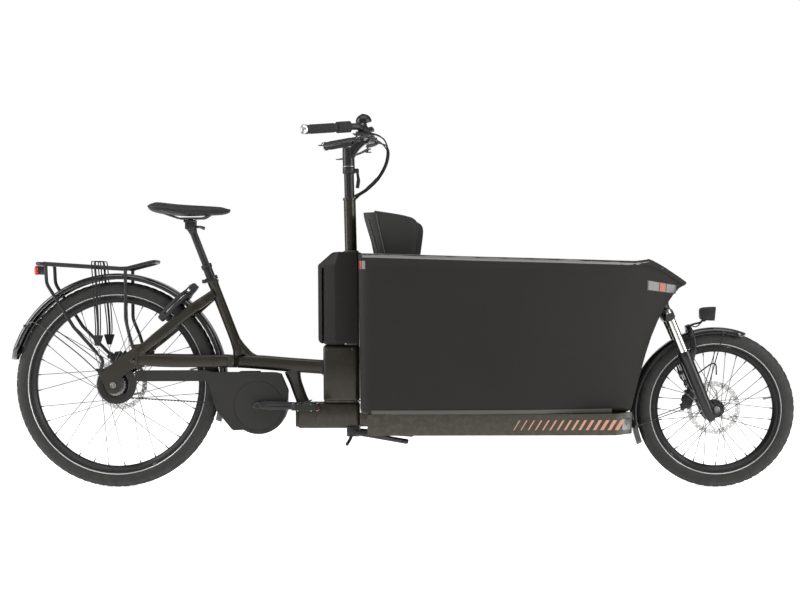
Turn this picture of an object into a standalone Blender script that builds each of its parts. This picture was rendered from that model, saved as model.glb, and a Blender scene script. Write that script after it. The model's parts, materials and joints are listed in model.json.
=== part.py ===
"""Front-loading electric cargo bicycle: tub in front, small front wheel, cable steering.

World frame, metres: +X is forward, +Y is the rider's left, +Z is up.
The ground is Z = 0 and the middle of the bicycle is X = 0.
"""

import math

import bmesh
import bpy
import numpy as np
from mathutils import Matrix, Vector

# ---------------------------------------------------------------- driving dimensions
TOUCH_GAP = 0.0003          # between faces of pieces that rest on each other
RUNNING_GAP = 0.0005        # round a piece that turns or slides in another

WHEELBASE = 2.0325
REAR_AXLE_X = -0.962
REAR_TYRE_R = 0.352
FRONT_TYRE_R = 0.263
TYRE_WIDTH = 0.060
TYRE_SIDE_WALL = 0.052      # tread to the rim's edge
RIM_DEPTH = 0.0195
RIM_WIDTH = 0.036
SPOKES = 32
SPOKE_R = 0.0013
AXLE_R = 0.006
WHEEL_SIDES = 32

FENDER_CLEARANCE = 0.008    # tyre side to fender side
FENDER_WALL = 0.002
REAR_FENDER_R = 0.381
FRONT_FENDER_R = 0.274
ROTOR_R = 0.090
ROTOR_THICKNESS = 0.002
CALIPER_EAR = 0.011         # from the disc to the outer face of the rear caliper's ears

REAR_HUB_HALF = 0.0710      # half of the spacing between the rear dropouts
FRONT_HUB_HALF = 0.0500
DROPOUT_THICKNESS = 0.006

CRANK_AXIS = Vector((-0.468, 0.0, 0.281))
CRANK_ARM = 0.170
CRANK_AXLE_R = 0.012
CRANK_ARM_Y = 0.078         # inner face of each crank arm
BELT_Y = 0.0525             # middle of the belt, on the right-hand side
BELT_WIDTH = 0.010
BELT_THICKNESS = 0.003
FRONT_PULLEY_TEETH = 50
REAR_PULLEY_TEETH = 22
BELT_PITCH = 0.011
IDLER_CENTRE = Vector((-0.590, 0.0, 0.2735))
IDLER_R = 0.013

CAM_R = 0.0055
SEAT_TUBE_R = 0.018
SEATPOST_R = 0.0158
DROPPER_R = 0.0125
COLUMN_TUBE_R = 0.0205
STEERING_POST_R = 0.0170
BAR_R = 0.0111
GRIP_R = 0.016
BAR_HALF_WIDTH = 0.325

STEERING_ANGLE = math.radians(22.0)     # the fork's lean from the vertical
FORK_OFFSET = 0.029
FENDER_TO_LEG = 0.0055
STANCHION_R = 0.016
LOWER_LEG_R = 0.0215
STEERER_R = 0.0143
HEAD_TUBE_R = 0.0225
HEAD_TUBE_LOW = 0.386       # along the steering axis, from beside the axle
HEAD_TUBE_HIGH = 0.498
CROWN_LOW = 0.325
CROWN_HIGH = 0.373
FORK_TRAVEL = 0.035
STANCHION_LEFT = 0.071      # still showing below the crown at full travel

TUB_BOTTOM = 0.2608
TUB_REAR = -0.106
TUB_HALF_WIDTH = 0.335
TUB_HALF_FLOOR = 0.255
TUB_WALL = 0.005
TUB_NOSE_BEHIND_AXLE = 0.103            # the tub's nose, behind the front axle
RIM_BAND = 0.019
RIM_BAND_PROUD = 0.004
RIM_LIP = 0.014

PLATFORM_TOP = 0.2600
PLATFORM_HEIGHT = 0.070
PLATFORM_REAR = -0.085
PLATFORM_HALF_WIDTH = 0.235
PLATFORM_RAIL = 0.024
PLATFORM_SHEET = 0.006
WHEEL_ROOM = 0.315          # kept clear round the front axle
WHEEL_ROOM_HALF = 0.120
NECK_HALF_WIDTH = 0.019
NECK_HALF_DEPTH = 0.018
NECK_FOOT_BEHIND_AXLE = 0.3555

COLUMN_REAR = -0.250
COLUMN_FRONT = -0.128
COLUMN_HALF_WIDTH = 0.045
COLUMN_BOTTOM = 0.290
BATTERY_HALF_WIDTH = 0.088
COVER_WALL = 0.003

RACK_TUBE_R = 0.0065
RACK_HALF_WIDTH = 0.060
RACK_FOOT_Y = REAR_HUB_HALF + DROPOUT_THICKNESS + 2 * TOUCH_GAP + RACK_TUBE_R

LOCK_MIDDLE = Vector((-0.762, 0.0, 0.618))      # centre of the ring, on the tyre's own section
LOCK_OUT = Vector((0.7071, 0.0, 0.7071))
LOCK_CLEARANCE = 0.029      # fender side to the middle of the shackle

STAND_PIVOT = Vector((-0.150, 0.0, 0.188))
STAND_SHAFT_R = 0.009
STAND_TOE = Vector((0.0446, 0.0, 0.1646))

FRONT_AXLE_X = REAR_AXLE_X + WHEELBASE
REAR_AXLE = Vector((REAR_AXLE_X, 0.0, REAR_TYRE_R))
FRONT_AXLE = Vector((FRONT_AXLE_X, 0.0, FRONT_TYRE_R))
FENDER_HALF = TYRE_WIDTH / 2 + FENDER_CLEARANCE
FORK_LEG_Y = FENDER_HALF + FENDER_TO_LEG + LOWER_LEG_R
LOCK_SHACKLE_R = FENDER_HALF + LOCK_CLEARANCE
FRONT_PULLEY_R = FRONT_PULLEY_TEETH * BELT_PITCH / (2 * math.pi)
REAR_PULLEY_R = REAR_PULLEY_TEETH * BELT_PITCH / (2 * math.pi)

FORK_UP = Vector((-math.sin(STEERING_ANGLE), 0.0, math.cos(STEERING_ANGLE)))
FORK_AHEAD = Vector((math.cos(STEERING_ANGLE), 0.0, math.sin(STEERING_ANGLE)))
FORK_FOOT = FRONT_AXLE - FORK_OFFSET * FORK_AHEAD

SEAT_TOP = Vector((-0.634, 0.0, 0.705))
SEAT_FOOT = Vector((-0.5385, 0.0, 0.4575))
SEAT_UP = (SEAT_TOP - SEAT_FOOT).normalized()
COLUMN_FOOT = Vector((-0.156, 0.0, 0.807))
COLUMN_HEAD = Vector((-0.163, 0.0, 1.155))
COLUMN_UP = (COLUMN_HEAD - COLUMN_FOOT).normalized()


# ---------------------------------------------------------------- frames of reference
def fork_point(ahead, y, up):
    """A point by its distance ahead of the steering axis and along it."""
    return FORK_FOOT + ahead * FORK_AHEAD + Vector((0.0, y, 0.0)) + up * FORK_UP


def seat_point(z, back=0.0):
    """A point on the seat tube's axis at a height, or behind the axis."""
    along = (z - SEAT_FOOT.z) / SEAT_UP.z
    return SEAT_FOOT + along * SEAT_UP + Vector((-SEAT_UP.z, 0.0, SEAT_UP.x)) * back


def column_point(z):
    """A point on the handlebar column's axis at a height."""
    return COLUMN_FOOT + (z - COLUMN_FOOT.z) / COLUMN_UP.z * COLUMN_UP


def side(x, z, y=0.0):
    return Vector((x, y, z))


def around(centre, radius, degrees, y=0.0):
    """A point on a circle about an axle, seen from the right-hand side."""
    angle = math.radians(degrees)
    return centre + Vector((radius * math.cos(angle), y, radius * math.sin(angle)))


# ---------------------------------------------------------------- materials
def make_material(name, colour, roughness, metallic=0.0):
    material = bpy.data.materials.new(name)
    material.use_nodes = True
    shader = material.node_tree.nodes["Principled BSDF"]
    shader.inputs["Base Color"].default_value = (*colour, 1.0)
    shader.inputs["Roughness"].default_value = roughness
    shader.inputs["Metallic"].default_value = metallic
    material.diffuse_color = (*colour, 1.0)
    return material


# ---------------------------------------------------------------- making solids
def object_from(name, mesh_data):
    """Turn a finished bmesh into an object with its faces pointing out."""
    bmesh.ops.recalc_face_normals(mesh_data, faces=mesh_data.faces)
    mesh = bpy.data.meshes.new(name)
    mesh_data.to_mesh(mesh)
    mesh_data.free()
    made = bpy.data.objects.new(name, mesh)
    bpy.context.scene.collection.objects.link(made)
    return made


def from_rings(name, rings, closed=False):
    """Skin a list of rings of points; the two ends are capped unless it closes on itself."""
    data = bmesh.new()
    rows = [[data.verts.new(point) for point in ring] for ring in rings]
    count = len(rows[0])
    pairs = list(zip(rows, rows[1:]))
    if closed:
        pairs.append((rows[-1], rows[0]))
    for low, high in pairs:
        for k in range(count):
            after = (k + 1) % count
            data.faces.new((low[k], low[after], high[after], high[k]))
    if not closed:
        data.faces.new(rows[0])
        data.faces.new(list(reversed(rows[-1])))
    return object_from(name, data)


def circle_section(radius, sides=12):
    turns = (2 * math.pi * (k + 0.5) / sides for k in range(sides))
    return [(radius * math.cos(a), radius * math.sin(a)) for a in turns]


def box_section(width, height, corner):
    """A rectangle with cut corners."""
    w, h, c = width / 2, height / 2, corner
    return [(w - c, -h), (w, -h + c), (w, h - c), (w - c, h), (-w + c, h), (-w, h - c), (-w, -h + c),
            (-w + c, -h)]


def square_section(width, height):
    w, h = width / 2, height / 2
    return [(w, -h), (w, h), (-w, h), (-w, -h)]


def sweep(name, path, section, grow=None, across=(0.0, 1.0, 0.0)):
    """Carry a section along a path. grow scales the section at each point of the path."""
    path = [Vector(point) for point in path]
    grow = grow or [(1.0, 1.0)] * len(path)
    across = Vector(across)
    rings = []
    for k, point in enumerate(path):
        before = (point - path[max(k - 1, 0)]).normalized()
        after = (path[min(k + 1, len(path) - 1)] - point).normalized()
        along = (before + after).normalized()
        square = (across - across.dot(along) * along).normalized()
        other = along.cross(square)
        wide, tall = grow[k]
        rings.append([point + square * u * wide + other * v * tall for u, v in section])
    return from_rings(name, rings)


def rod(name, start, end, radius, sides=12, end_radius=None):
    start, end = Vector(start), Vector(end)
    across = (0.0, 1.0, 0.0) if abs((end - start).normalized().y) < 0.9 else (1.0, 0.0, 0.0)
    last = (end_radius or radius) / radius
    return sweep(name, [start, end], circle_section(radius, sides), [(1.0, 1.0), (last, last)], across)


def turned(name, profile, foot, up, sides=24, closed=False):
    """Turn a profile of (radius, height) round an axis. A closed profile makes a ring."""
    up = Vector(up).normalized()
    first = up.orthogonal().normalized()
    second = up.cross(first)
    foot = Vector(foot)
    rings = []
    for k in range(sides):
        angle = 2 * math.pi * k / sides
        out = first * math.cos(angle) + second * math.sin(angle)
        rings.append([foot + out * radius + up * height for radius, height in profile])
    if closed:
        return from_rings(name, rings, closed=True)
    data = bmesh.new()
    low = data.verts.new(foot + up * profile[0][1])
    high = data.verts.new(foot + up * profile[-1][1])
    rows = [[data.verts.new(point) for point in ring[1:-1]] for ring in rings]
    for k, row in enumerate(rows):
        after = rows[(k + 1) % sides]
        data.faces.new((low, after[0], row[0]))
        data.faces.new((high, row[-1], after[-1]))
        for j in range(len(row) - 1):
            data.faces.new((row[j], after[j], after[j + 1], row[j + 1]))
    return object_from(name, data)


def ring(name, inner, outer, low, high, foot, up, sides=32):
    profile = [(inner, low), (outer, low), (outer, high), (inner, high)]
    return turned(name, profile, foot, up, sides, closed=True)


def plate_xz(name, outline, y_low, y_high):
    """An outline in the side view, given a thickness across the bicycle."""
    rings = [[Vector((x, y, z)) for x, z in outline] for y in (y_low, y_high)]
    return from_rings(name, rings)


def plate_xy(name, outline, z_low, z_high):
    rings = [[Vector((x, y, z)) for x, y in outline] for z in (z_low, z_high)]
    return from_rings(name, rings)


def block(name, low, high, bevel=0.0, segments=1):
    """A box from corner to corner, with its edges bevelled."""
    data = bmesh.new()
    middle = (Vector(low) + Vector(high)) / 2
    size = Vector(high) - Vector(low)
    matrix = Matrix.Translation(middle) @ Matrix.Diagonal((*size, 1.0))
    bmesh.ops.create_cube(data, size=1.0, matrix=matrix)
    if bevel:
        bmesh.ops.bevel(data, geom=data.edges, offset=bevel, segments=segments, affect="EDGES", profile=0.5)
    return object_from(name, data)


def arc_shell(name, centre, section, start, end, steps, radius):
    """Carry a section of (y, height above the radius) round an axle from one angle to another."""
    rings = []
    for k in range(steps + 1):
        share = k / steps
        degrees = start + (end - start) * share
        reach = radius(share) if callable(radius) else radius
        rings.append([around(centre, reach + rise, degrees, y) for y, rise in section])
    return from_rings(name, rings)


def turn(made, pivot, axis, degrees):
    """Turn a finished solid about a point."""
    pivot = Vector(pivot)
    spin = Matrix.Rotation(math.radians(degrees), 4, Vector(axis))
    made.data.transform(Matrix.Translation(pivot) @ spin @ Matrix.Translation(-pivot))
    return made


def mirrored(made, name):
    """The same piece on the other side of the bicycle."""
    twin = made.copy()
    twin.data = made.data.copy()
    twin.name = name
    twin.data.transform(Matrix.Diagonal((1.0, -1.0, 1.0, 1.0)))
    twin.data.flip_normals()
    bpy.context.scene.collection.objects.link(twin)
    return twin


def combine(target, tools, operation):
    for tool in tools:
        modifier = target.modifiers.new(operation.lower(), "BOOLEAN")
        modifier.operation = operation
        modifier.solver = "EXACT"
        modifier.object = tool
        graph = bpy.context.evaluated_depsgraph_get()
        result = bpy.data.meshes.new_from_object(target.evaluated_get(graph))
        target.modifiers.clear()
        target.data = result
        bpy.data.objects.remove(tool)
    return target


def joined(target, *tools):
    return combine(target, tools, "UNION")


def cut(target, *tools):
    return combine(target, tools, "DIFFERENCE")


def finish(made, name, material, body):
    """Name a piece, give it its material and put its origin where its body's joint is."""
    data = bmesh.new()
    data.from_mesh(made.data)
    bmesh.ops.remove_doubles(data, verts=data.verts, dist=0.00001)
    bmesh.ops.dissolve_degenerate(data, edges=data.edges, dist=0.00001)
    data.to_mesh(made.data)
    data.free()
    made.name = name
    made.data.name = name
    made.data.materials.clear()
    made.data.materials.append(material)
    made.data.transform(Matrix.Translation(-body.location))
    made.parent = body
    made.data.shade_smooth()
    made.data.set_sharp_from_angle(angle=math.radians(35.0))
    return made


def make_body(name, place=(0.0, 0.0, 0.0)):
    """An empty on a joint's axis, which carries the pieces that move together."""
    body = bpy.data.objects.new(name, None)
    body.location = place
    bpy.context.scene.collection.objects.link(body)
    return body


# ---------------------------------------------------------------- wheels
def make_tyre(centre, radius):
    """A closed tyre whose inner side stands on the rim."""
    half = TYRE_WIDTH / 2
    seat = radius - TYRE_SIDE_WALL
    lip = RIM_WIDTH / 2 - 0.002
    profile = [(seat, -lip), (radius - 0.030, -half), (radius - 0.010, -half * 0.84),
               (radius, -half * 0.36)]
    profile += [(r, -y) for r, y in reversed(profile)]
    return turned("tyre", profile, centre, (0, 1, 0), WHEEL_SIDES, closed=True)


def make_rim(centre, radius):
    """A box-section rim below the tyre's seat."""
    top = radius - TYRE_SIDE_WALL - TOUCH_GAP
    half = RIM_WIDTH / 2
    profile = [(top, -half), (top, half), (top - 0.008, half), (top - RIM_DEPTH, half * 0.4)]
    profile += [(top - RIM_DEPTH, -half * 0.4), (top - 0.008, -half)]
    return turned("rim", profile, centre, (0, 1, 0), WHEEL_SIDES, closed=True)


def make_hub(centre, rim_inner, flange_y, flange_r, shell_r, end_y, phase=0.0):
    """A hub shell with two flanges and crossed spokes that end just under the rim."""
    flange = 0.0018
    profile = [(AXLE_R + RUNNING_GAP, -end_y), (0.014, -end_y), (0.016, -flange_y - 0.010)]
    profile += [(flange_r, -flange_y - flange), (flange_r, -flange_y + flange),
                (shell_r, -flange_y + 0.007)]
    profile += [(r, -y) for r, y in reversed(profile)]
    hub = turned("hub", profile, centre, (0, 1, 0), 16, closed=True)
    spokes = []
    reach = rim_inner * math.cos(math.pi / WHEEL_SIDES) - TOUCH_GAP
    step = 360.0 / SPOKES
    lean = 62.0
    for k in range(SPOKES):
        left = 1 if k % 2 else -1
        leading = 1 if (k // 2) % 2 else -1
        place = phase + k * step
        start = around(centre, flange_r - 0.0035, place - leading * lean,
                       left * (flange_y + leading * 0.0022))
        end = around(centre, reach - 0.0008, place, left * 0.003)
        spokes.append(rod("spoke", start, end, SPOKE_R, 3))
    return joined(hub, *spokes)


def make_rotor(centre, y, hole):
    """A brake disc: a ring on arms round a carrier."""
    half = ROTOR_THICKNESS / 2
    foot = centre + Vector((0, y, 0))
    disc = ring("rotor", ROTOR_R - 0.017, ROTOR_R, -half, half, foot, (0, 1, 0), 24)
    carrier = ring("carrier", hole, 0.028, -half * 0.9, half * 0.9, foot, (0, 1, 0), 12)
    arms = []
    for k in range(4):
        start = around(centre, 0.024, k * 90.0, y)
        end = around(centre, ROTOR_R - 0.012, k * 90.0 + 30.0, y)
        arms.append(sweep("arm", [start, end], square_section(ROTOR_THICKNESS * 0.8, 0.007)))
    return joined(disc, *arms, carrier)


def make_rear_wheel(metals):
    body = make_body("rear_wheel_body", REAR_AXLE)
    top = REAR_TYRE_R - TYRE_SIDE_WALL - TOUCH_GAP
    finish(make_tyre(REAR_AXLE, REAR_TYRE_R), "rear_tyre", metals["tyre"], body)
    finish(make_rim(REAR_AXLE, REAR_TYRE_R), "rear_rim", metals["rim"], body)
    bar = LOCK_MIDDLE - LOCK_SHACKLE_R * LOCK_OUT - REAR_AXLE
    between_spokes = math.degrees(math.atan2(bar.z, bar.x)) + 180.0 / SPOKES
    hub = make_hub(REAR_AXLE, top - RIM_DEPTH, 0.030, 0.058, 0.052, BELT_Y - BELT_WIDTH / 2 - 0.0015,
                   between_spokes)
    finish(hub, "rear_hub_and_spokes", metals["hub"], body)
    rotor = make_rotor(REAR_AXLE, REAR_HUB_HALF - 0.015, 0.012)
    finish(rotor, "rear_brake_disc", metals["steel"], body)

    drive = make_body("rear_sprocket_body", REAR_AXLE)
    foot = REAR_AXLE - Vector((0, BELT_Y, 0))
    half = BELT_WIDTH / 2 + 0.0005
    profile = [(AXLE_R + RUNNING_GAP, -half), (REAR_PULLEY_R, -half), (REAR_PULLEY_R, half),
               (AXLE_R + RUNNING_GAP, half)]
    sprocket = turned("sprocket", profile, foot, (0, 1, 0), 22, closed=True)
    finish(sprocket, "rear_sprocket", metals["steel"], drive)


def make_front_wheel(metals, parent):
    body = make_body("front_wheel_body", FRONT_AXLE)
    top = FRONT_TYRE_R - TYRE_SIDE_WALL - TOUCH_GAP
    finish(make_tyre(FRONT_AXLE, FRONT_TYRE_R), "front_tyre", metals["tyre"], body)
    finish(make_rim(FRONT_AXLE, FRONT_TYRE_R), "front_rim", metals["rim"], body)
    hub = make_hub(FRONT_AXLE, top - RIM_DEPTH, 0.024, 0.030, 0.022, FRONT_HUB_HALF - 0.015)
    finish(hub, "front_hub_and_spokes", metals["hub"], body)
    rotor = make_rotor(FRONT_AXLE, FRONT_HUB_HALF - 0.0115, 0.012)
    finish(rotor, "front_brake_disc", metals["steel"], body)


def make_axle(centre, inner_face, name, material, body):
    """A through axle with its head and nut outside the dropouts."""
    face = inner_face + DROPOUT_THICKNESS + TOUCH_GAP
    head = AXLE_R + 0.0045
    profile = [(0, -face - 0.008), (head - 0.001, -face - 0.008), (head, -face), (AXLE_R, -face)]
    profile += [(AXLE_R, face), (head, face), (head - 0.001, face + 0.007), (0, face + 0.007)]
    finish(turned("axle", profile, centre, (0, 1, 0), 12), name, material, body)


# ---------------------------------------------------------------- rear frame
def dropout_outline():
    """The plate round the rear axle, measured from the axle."""
    points = [(-0.051, 0.036), (-0.060, 0.057), (-0.034, 0.055), (-0.014, 0.066), (0.029, 0.097),
              (0.064, 0.123)]
    points += [(0.057, 0.136), (0.092, 0.140), (0.112, 0.108), (0.107, 0.062), (0.075, 0.060),
               (0.040, 0.038)]
    points += [(0.029, 0.027)]
    points += [(0.030 * math.cos(a), 0.030 * math.sin(a)) for a in np.linspace(0.0, -math.pi, 7)]
    return [(REAR_AXLE.x + x, REAR_AXLE.z + z) for x, z in points]


def make_rear_triangle():
    """Dropout plates, chain stays that meet in a yoke, and seat stays that meet at the seat tube."""
    inner = REAR_HUB_HALF + TOUCH_GAP
    middle = inner + DROPOUT_THICKNESS / 2
    stay_y = FENDER_HALF + 0.018
    plate = plate_xz("dropout", dropout_outline(), -inner - DROPOUT_THICKNESS, -inner)
    plate = cut(plate, rod("hole", REAR_AXLE - Vector((0, 0.2, 0)), REAR_AXLE, AXLE_R + RUNNING_GAP, 20))
    chain_stay = sweep("chain_stay", [
        side(REAR_AXLE.x + 0.080, REAR_AXLE.z + 0.086, -middle - 0.001),
        side(-0.835, 0.435, -middle + 0.004),
        side(-0.760, 0.4315, -stay_y - 0.001), side(-0.620, 0.4315, -stay_y),
        side(-0.580, 0.430, -stay_y + 0.016),
        side(-0.5475, 0.429, -0.022)], square_section(0.020, 0.042))
    seat_stay = sweep("seat_stay", [
        side(REAR_AXLE.x + 0.098, REAR_AXLE.z + 0.1225, -middle), side(-0.830, 0.5015, -middle + 0.003),
        side(-0.760, 0.5575, -stay_y - 0.006), side(-0.690, 0.6115, -stay_y + 0.001),
        side(-0.655, 0.638, -0.034),
        side(-0.622, 0.663, -0.014)], square_section(0.018, 0.038))
    right = joined(plate, chain_stay, seat_stay)
    left = mirrored(right, "left_half")
    yoke = block("yoke", (-0.586, -stay_y + 0.004, 0.4105), (-0.5423, stay_y - 0.004, 0.4495), 0.004)
    bridge = rod("bridge", side(-0.662, 0.632, -0.040), side(-0.662, 0.632, 0.040), 0.010, 6)
    frame = joined(right, left, yoke, bridge)
    room = rod("room", seat_point(0.40), seat_point(0.80), SEAT_TUBE_R + 0.0016, 24)
    return cut(frame, room)


def make_seat_tube():
    """The seat tube, bored for the seatpost and flared where it stands on the main beam."""
    foot = seat_point(0.4518 + SEAT_TUBE_R * 0.38)
    top = (SEAT_TOP - foot).length
    bore = SEATPOST_R + RUNNING_GAP
    profile = [(bore, 0.020), (bore, top), (SEAT_TUBE_R, top), (SEAT_TUBE_R, 0.070),
               (SEAT_TUBE_R + 0.001, 0.020),
               (SEAT_TUBE_R + 0.001, 0.001), (bore * 0.9, 0.001)]
    tube = turned("seat_tube", profile, foot, SEAT_UP, 16, closed=True)
    return cut(tube, block("floor", (-0.70, -0.1, 0.40), (-0.40, 0.1, 0.4518)))


def make_seat_clamp():
    """A split collar on top of the seat tube, with the bolt that its lever turns."""
    inner = SEATPOST_R + RUNNING_GAP
    outer = SEAT_TUBE_R + 0.0045
    collar = ring("collar", inner, outer, TOUCH_GAP, 0.014, SEAT_TOP, SEAT_UP, 16)
    middle = SEAT_TOP + SEAT_UP * 0.007
    ear = middle + Vector((-SEAT_UP.z, 0.0, SEAT_UP.x)) * (outer + 0.003)
    lug = block("lug", ear - Vector((0.006, 0.010, 0.006)), ear + Vector((0.006, 0.010, 0.006)), 0.0015)
    lug = joined(lug, rod("bolt", ear - Vector((0, 0.016, 0)), ear + Vector((0, 0.014, 0)), 0.003, 6))
    collar = joined(collar, lug)
    below = seat_point(SEAT_TOP.z - 0.02)
    bore = rod("bore", below, below + SEAT_UP * 0.06, inner + 0.0002, 16)
    return cut(collar, bore), ear


def make_seat_parts(metals, root):
    finish(make_seat_tube(), "seat_tube", metals["frame"], root)
    clamp, ear = make_seat_clamp()
    finish(clamp, "seat_clamp", metals["black_metal"], root)

    start = ear - Vector((0, 0.016 + TOUCH_GAP + CAM_R, 0))
    lever_body = make_body("seat_clamp_lever_body", start)
    cam = rod("cam", start - Vector((0, 0, 0.0065)), start + Vector((0, 0, 0.0065)), CAM_R, 12)
    path = [start, start + Vector((0.020, -0.005, 0.001)), start + Vector((0.052, -0.007, 0.002))]
    handle = sweep("handle", path, square_section(0.006, 0.011), [(1, 0.8), (1, 1), (0.8, 1.1)])
    finish(joined(cam, handle), "seat_clamp_lever", metals["black_metal"], lever_body)

    post_body = make_body("seatpost_body", SEAT_TOP)
    low = seat_point(0.530)
    high = seat_point(0.761)
    length = (high - low).length
    bore = DROPPER_R + RUNNING_GAP
    profile = [(bore, 0.010), (bore, length), (SEATPOST_R + 0.003, length),
               (SEATPOST_R + 0.003, length - 0.012),
               (SEATPOST_R, length - 0.015), (SEATPOST_R, 0.0), (bore * 0.8, 0.0)]
    post = turned("seatpost", profile, low, SEAT_UP, 20, closed=True)
    finish(post, "seatpost", metals["black_metal"], post_body)

    saddle_body = make_body("saddle_body", seat_point(0.761))
    clamp = seat_point(0.893)
    inner_post = rod("stanchion", seat_point(0.640), clamp, DROPPER_R, 20)
    head = block("head", clamp - Vector((0.020, 0.016, 0.012)), clamp + Vector((0.020, 0.016, 0.018)),
                 0.004)
    tilt = block("cradle", clamp + Vector((-0.022, -0.025, 0.010)), clamp + Vector((0.018, 0.025, 0.022)),
                 0.004)
    lever = sweep("dropper_lever", [clamp + Vector((0.010, -0.006, -0.004)), clamp + Vector((0.034,
        -0.016, -0.004)),
                  clamp + Vector((0.052, -0.030, -0.010))], box_section(0.005, 0.010, 0.001))
    finish(joined(inner_post, head, tilt, lever), "dropper_stanchion", metals["black_metal"], saddle_body)
    finish(joined(make_saddle(), *make_saddle_rails(clamp)), "saddle", metals["saddle"], saddle_body)


def make_saddle_rails(clamp):
    """Two rails that run from the saddle's nose to its back, over the post's cradle."""
    z = clamp.z + 0.022 + TOUCH_GAP + 0.0035
    rails = []
    for y in (-0.022, 0.022):
        path = [(-0.628, y * 0.4, z + 0.018), (-0.660, y, z), (-0.745, y, z), (-0.802, y * 1.6, z + 0.020)]
        rails.append(sweep("rail", path, circle_section(0.0035, 6)))
    return rails


def make_saddle():
    """A closed cushion that narrows to its nose."""
    stations = [(-0.848, 0.045, 0.957, 0.970), (-0.836, 0.078, 0.944, 0.9765),
                (-0.800, 0.096, 0.936, 0.9745),
                (-0.750, 0.094, 0.929, 0.968), (-0.700, 0.066, 0.927, 0.9645),
                (-0.650, 0.040, 0.9275, 0.962),
                (-0.600, 0.024, 0.929, 0.959), (-0.576, 0.018, 0.935, 0.955), (-0.568, 0.009, 0.942, 0.952)]
    rings = []
    for x, half, low, high in stations:
        middle = (low + high) / 2
        rise = (high - low) / 2
        section = []
        for k in range(12):
            angle = 2 * math.pi * k / 12
            y = half * math.cos(angle)
            lift = rise * math.sin(angle) * (1.0 if math.sin(angle) > 0 else 0.9)
            section.append(Vector((x, y, middle + lift)))
        rings.append(section)
    return from_rings("saddle", rings)


# ---------------------------------------------------------------- rear fender, rack and lock
def fender_section(half, drop):
    """A curved sheet over the tyre: its outer side, then back along its inner side."""
    shape = [(-1.0, -drop), (-0.90, -drop * 0.36), (-0.45, -drop * 0.04), (0.45, -drop * 0.04),
             (0.90, -drop * 0.36), (1.0, -drop)]
    outer = [(share * half, rise) for share, rise in shape]
    inner = [(share * (half - FENDER_WALL), rise - FENDER_WALL) for share, rise in shape]
    inner[0] = (-(half - FENDER_WALL), -drop)
    inner[-1] = (half - FENDER_WALL, -drop)
    return outer + list(reversed(inner))


def make_rear_fender():
    section = fender_section(FENDER_HALF, 0.020)
    sheet = arc_shell("fender", REAR_AXLE, section, 166.4, -20.0, 18, REAR_FENDER_R)
    return sheet


def make_rack():
    """A tube rack over the fender: two side hoops, cross bars and a small deck plate."""
    half = RACK_HALF_WIDTH
    deck_rear, deck_front = side(-1.231, 0.768), side(-0.948, 0.748)
    sides = []
    for y in (-half, half):
        path = [side(-1.2310, 0.7675, y), side(-0.948, 0.748, y), side(-0.915, 0.749, y),
                side(-0.826, 0.771, y)]
        sides.append(sweep("rail", path, circle_section(RACK_TUBE_R, 6)))
        foot_y = math.copysign(RACK_FOOT_Y, y)
        front = [side(-0.922, 0.749, y), side(-0.922, 0.570, y), side(-0.904, 0.520, foot_y),
                 side(-0.893, 0.483, foot_y)]
        sides.append(sweep("front_leg", front, circle_section(RACK_TUBE_R, 6)))
        rear = [side(-1.197, 0.765, y), side(-1.194, 0.698, y), side(-1.100, 0.550, y * 1.10),
                side(REAR_AXLE.x - 0.030, REAR_AXLE.z + 0.083, foot_y),
                side(REAR_AXLE.x - 0.044, REAR_AXLE.z + 0.048, foot_y)]
        sides.append(sweep("rear_leg", rear, circle_section(RACK_TUBE_R, 6)))
    bars = []
    for x, z in ((-1.2310, 0.7675), (-1.100, 0.7585), (-0.935, 0.7475), (-0.826, 0.771)):
        bars.append(rod("bar", side(x, z, -half - 0.0045), side(x, z, half + 0.0045), RACK_TUBE_R, 6))
    slope = math.degrees(math.atan2(deck_rear.z - deck_front.z, deck_front.x - deck_rear.x))
    deck = block("deck", (-1.215, -0.030, 0.7600), (-0.955, 0.030, 0.7680), 0.0015)
    turn(deck, (-1.085, 0.0, 0.764), (0, 1, 0), slope)
    deck.data.transform(Matrix.Translation((0.0, 0.0, -0.0020)))
    return joined(sides[0], *sides[1:3], *bars, *sides[3:], deck)


def lock_arc(radius, start, end, steps):
    """Points round the lock's ring: 0 degrees is the right-hand side, 90 is away from the axle."""
    points = []
    for k in range(steps + 1):
        angle = math.radians(start + (end - start) * k / steps)
        points.append(LOCK_MIDDLE + radius * (math.sin(angle) * LOCK_OUT - math.cos(angle) * Vector((0, 1,
            0))))
    return points


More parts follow.
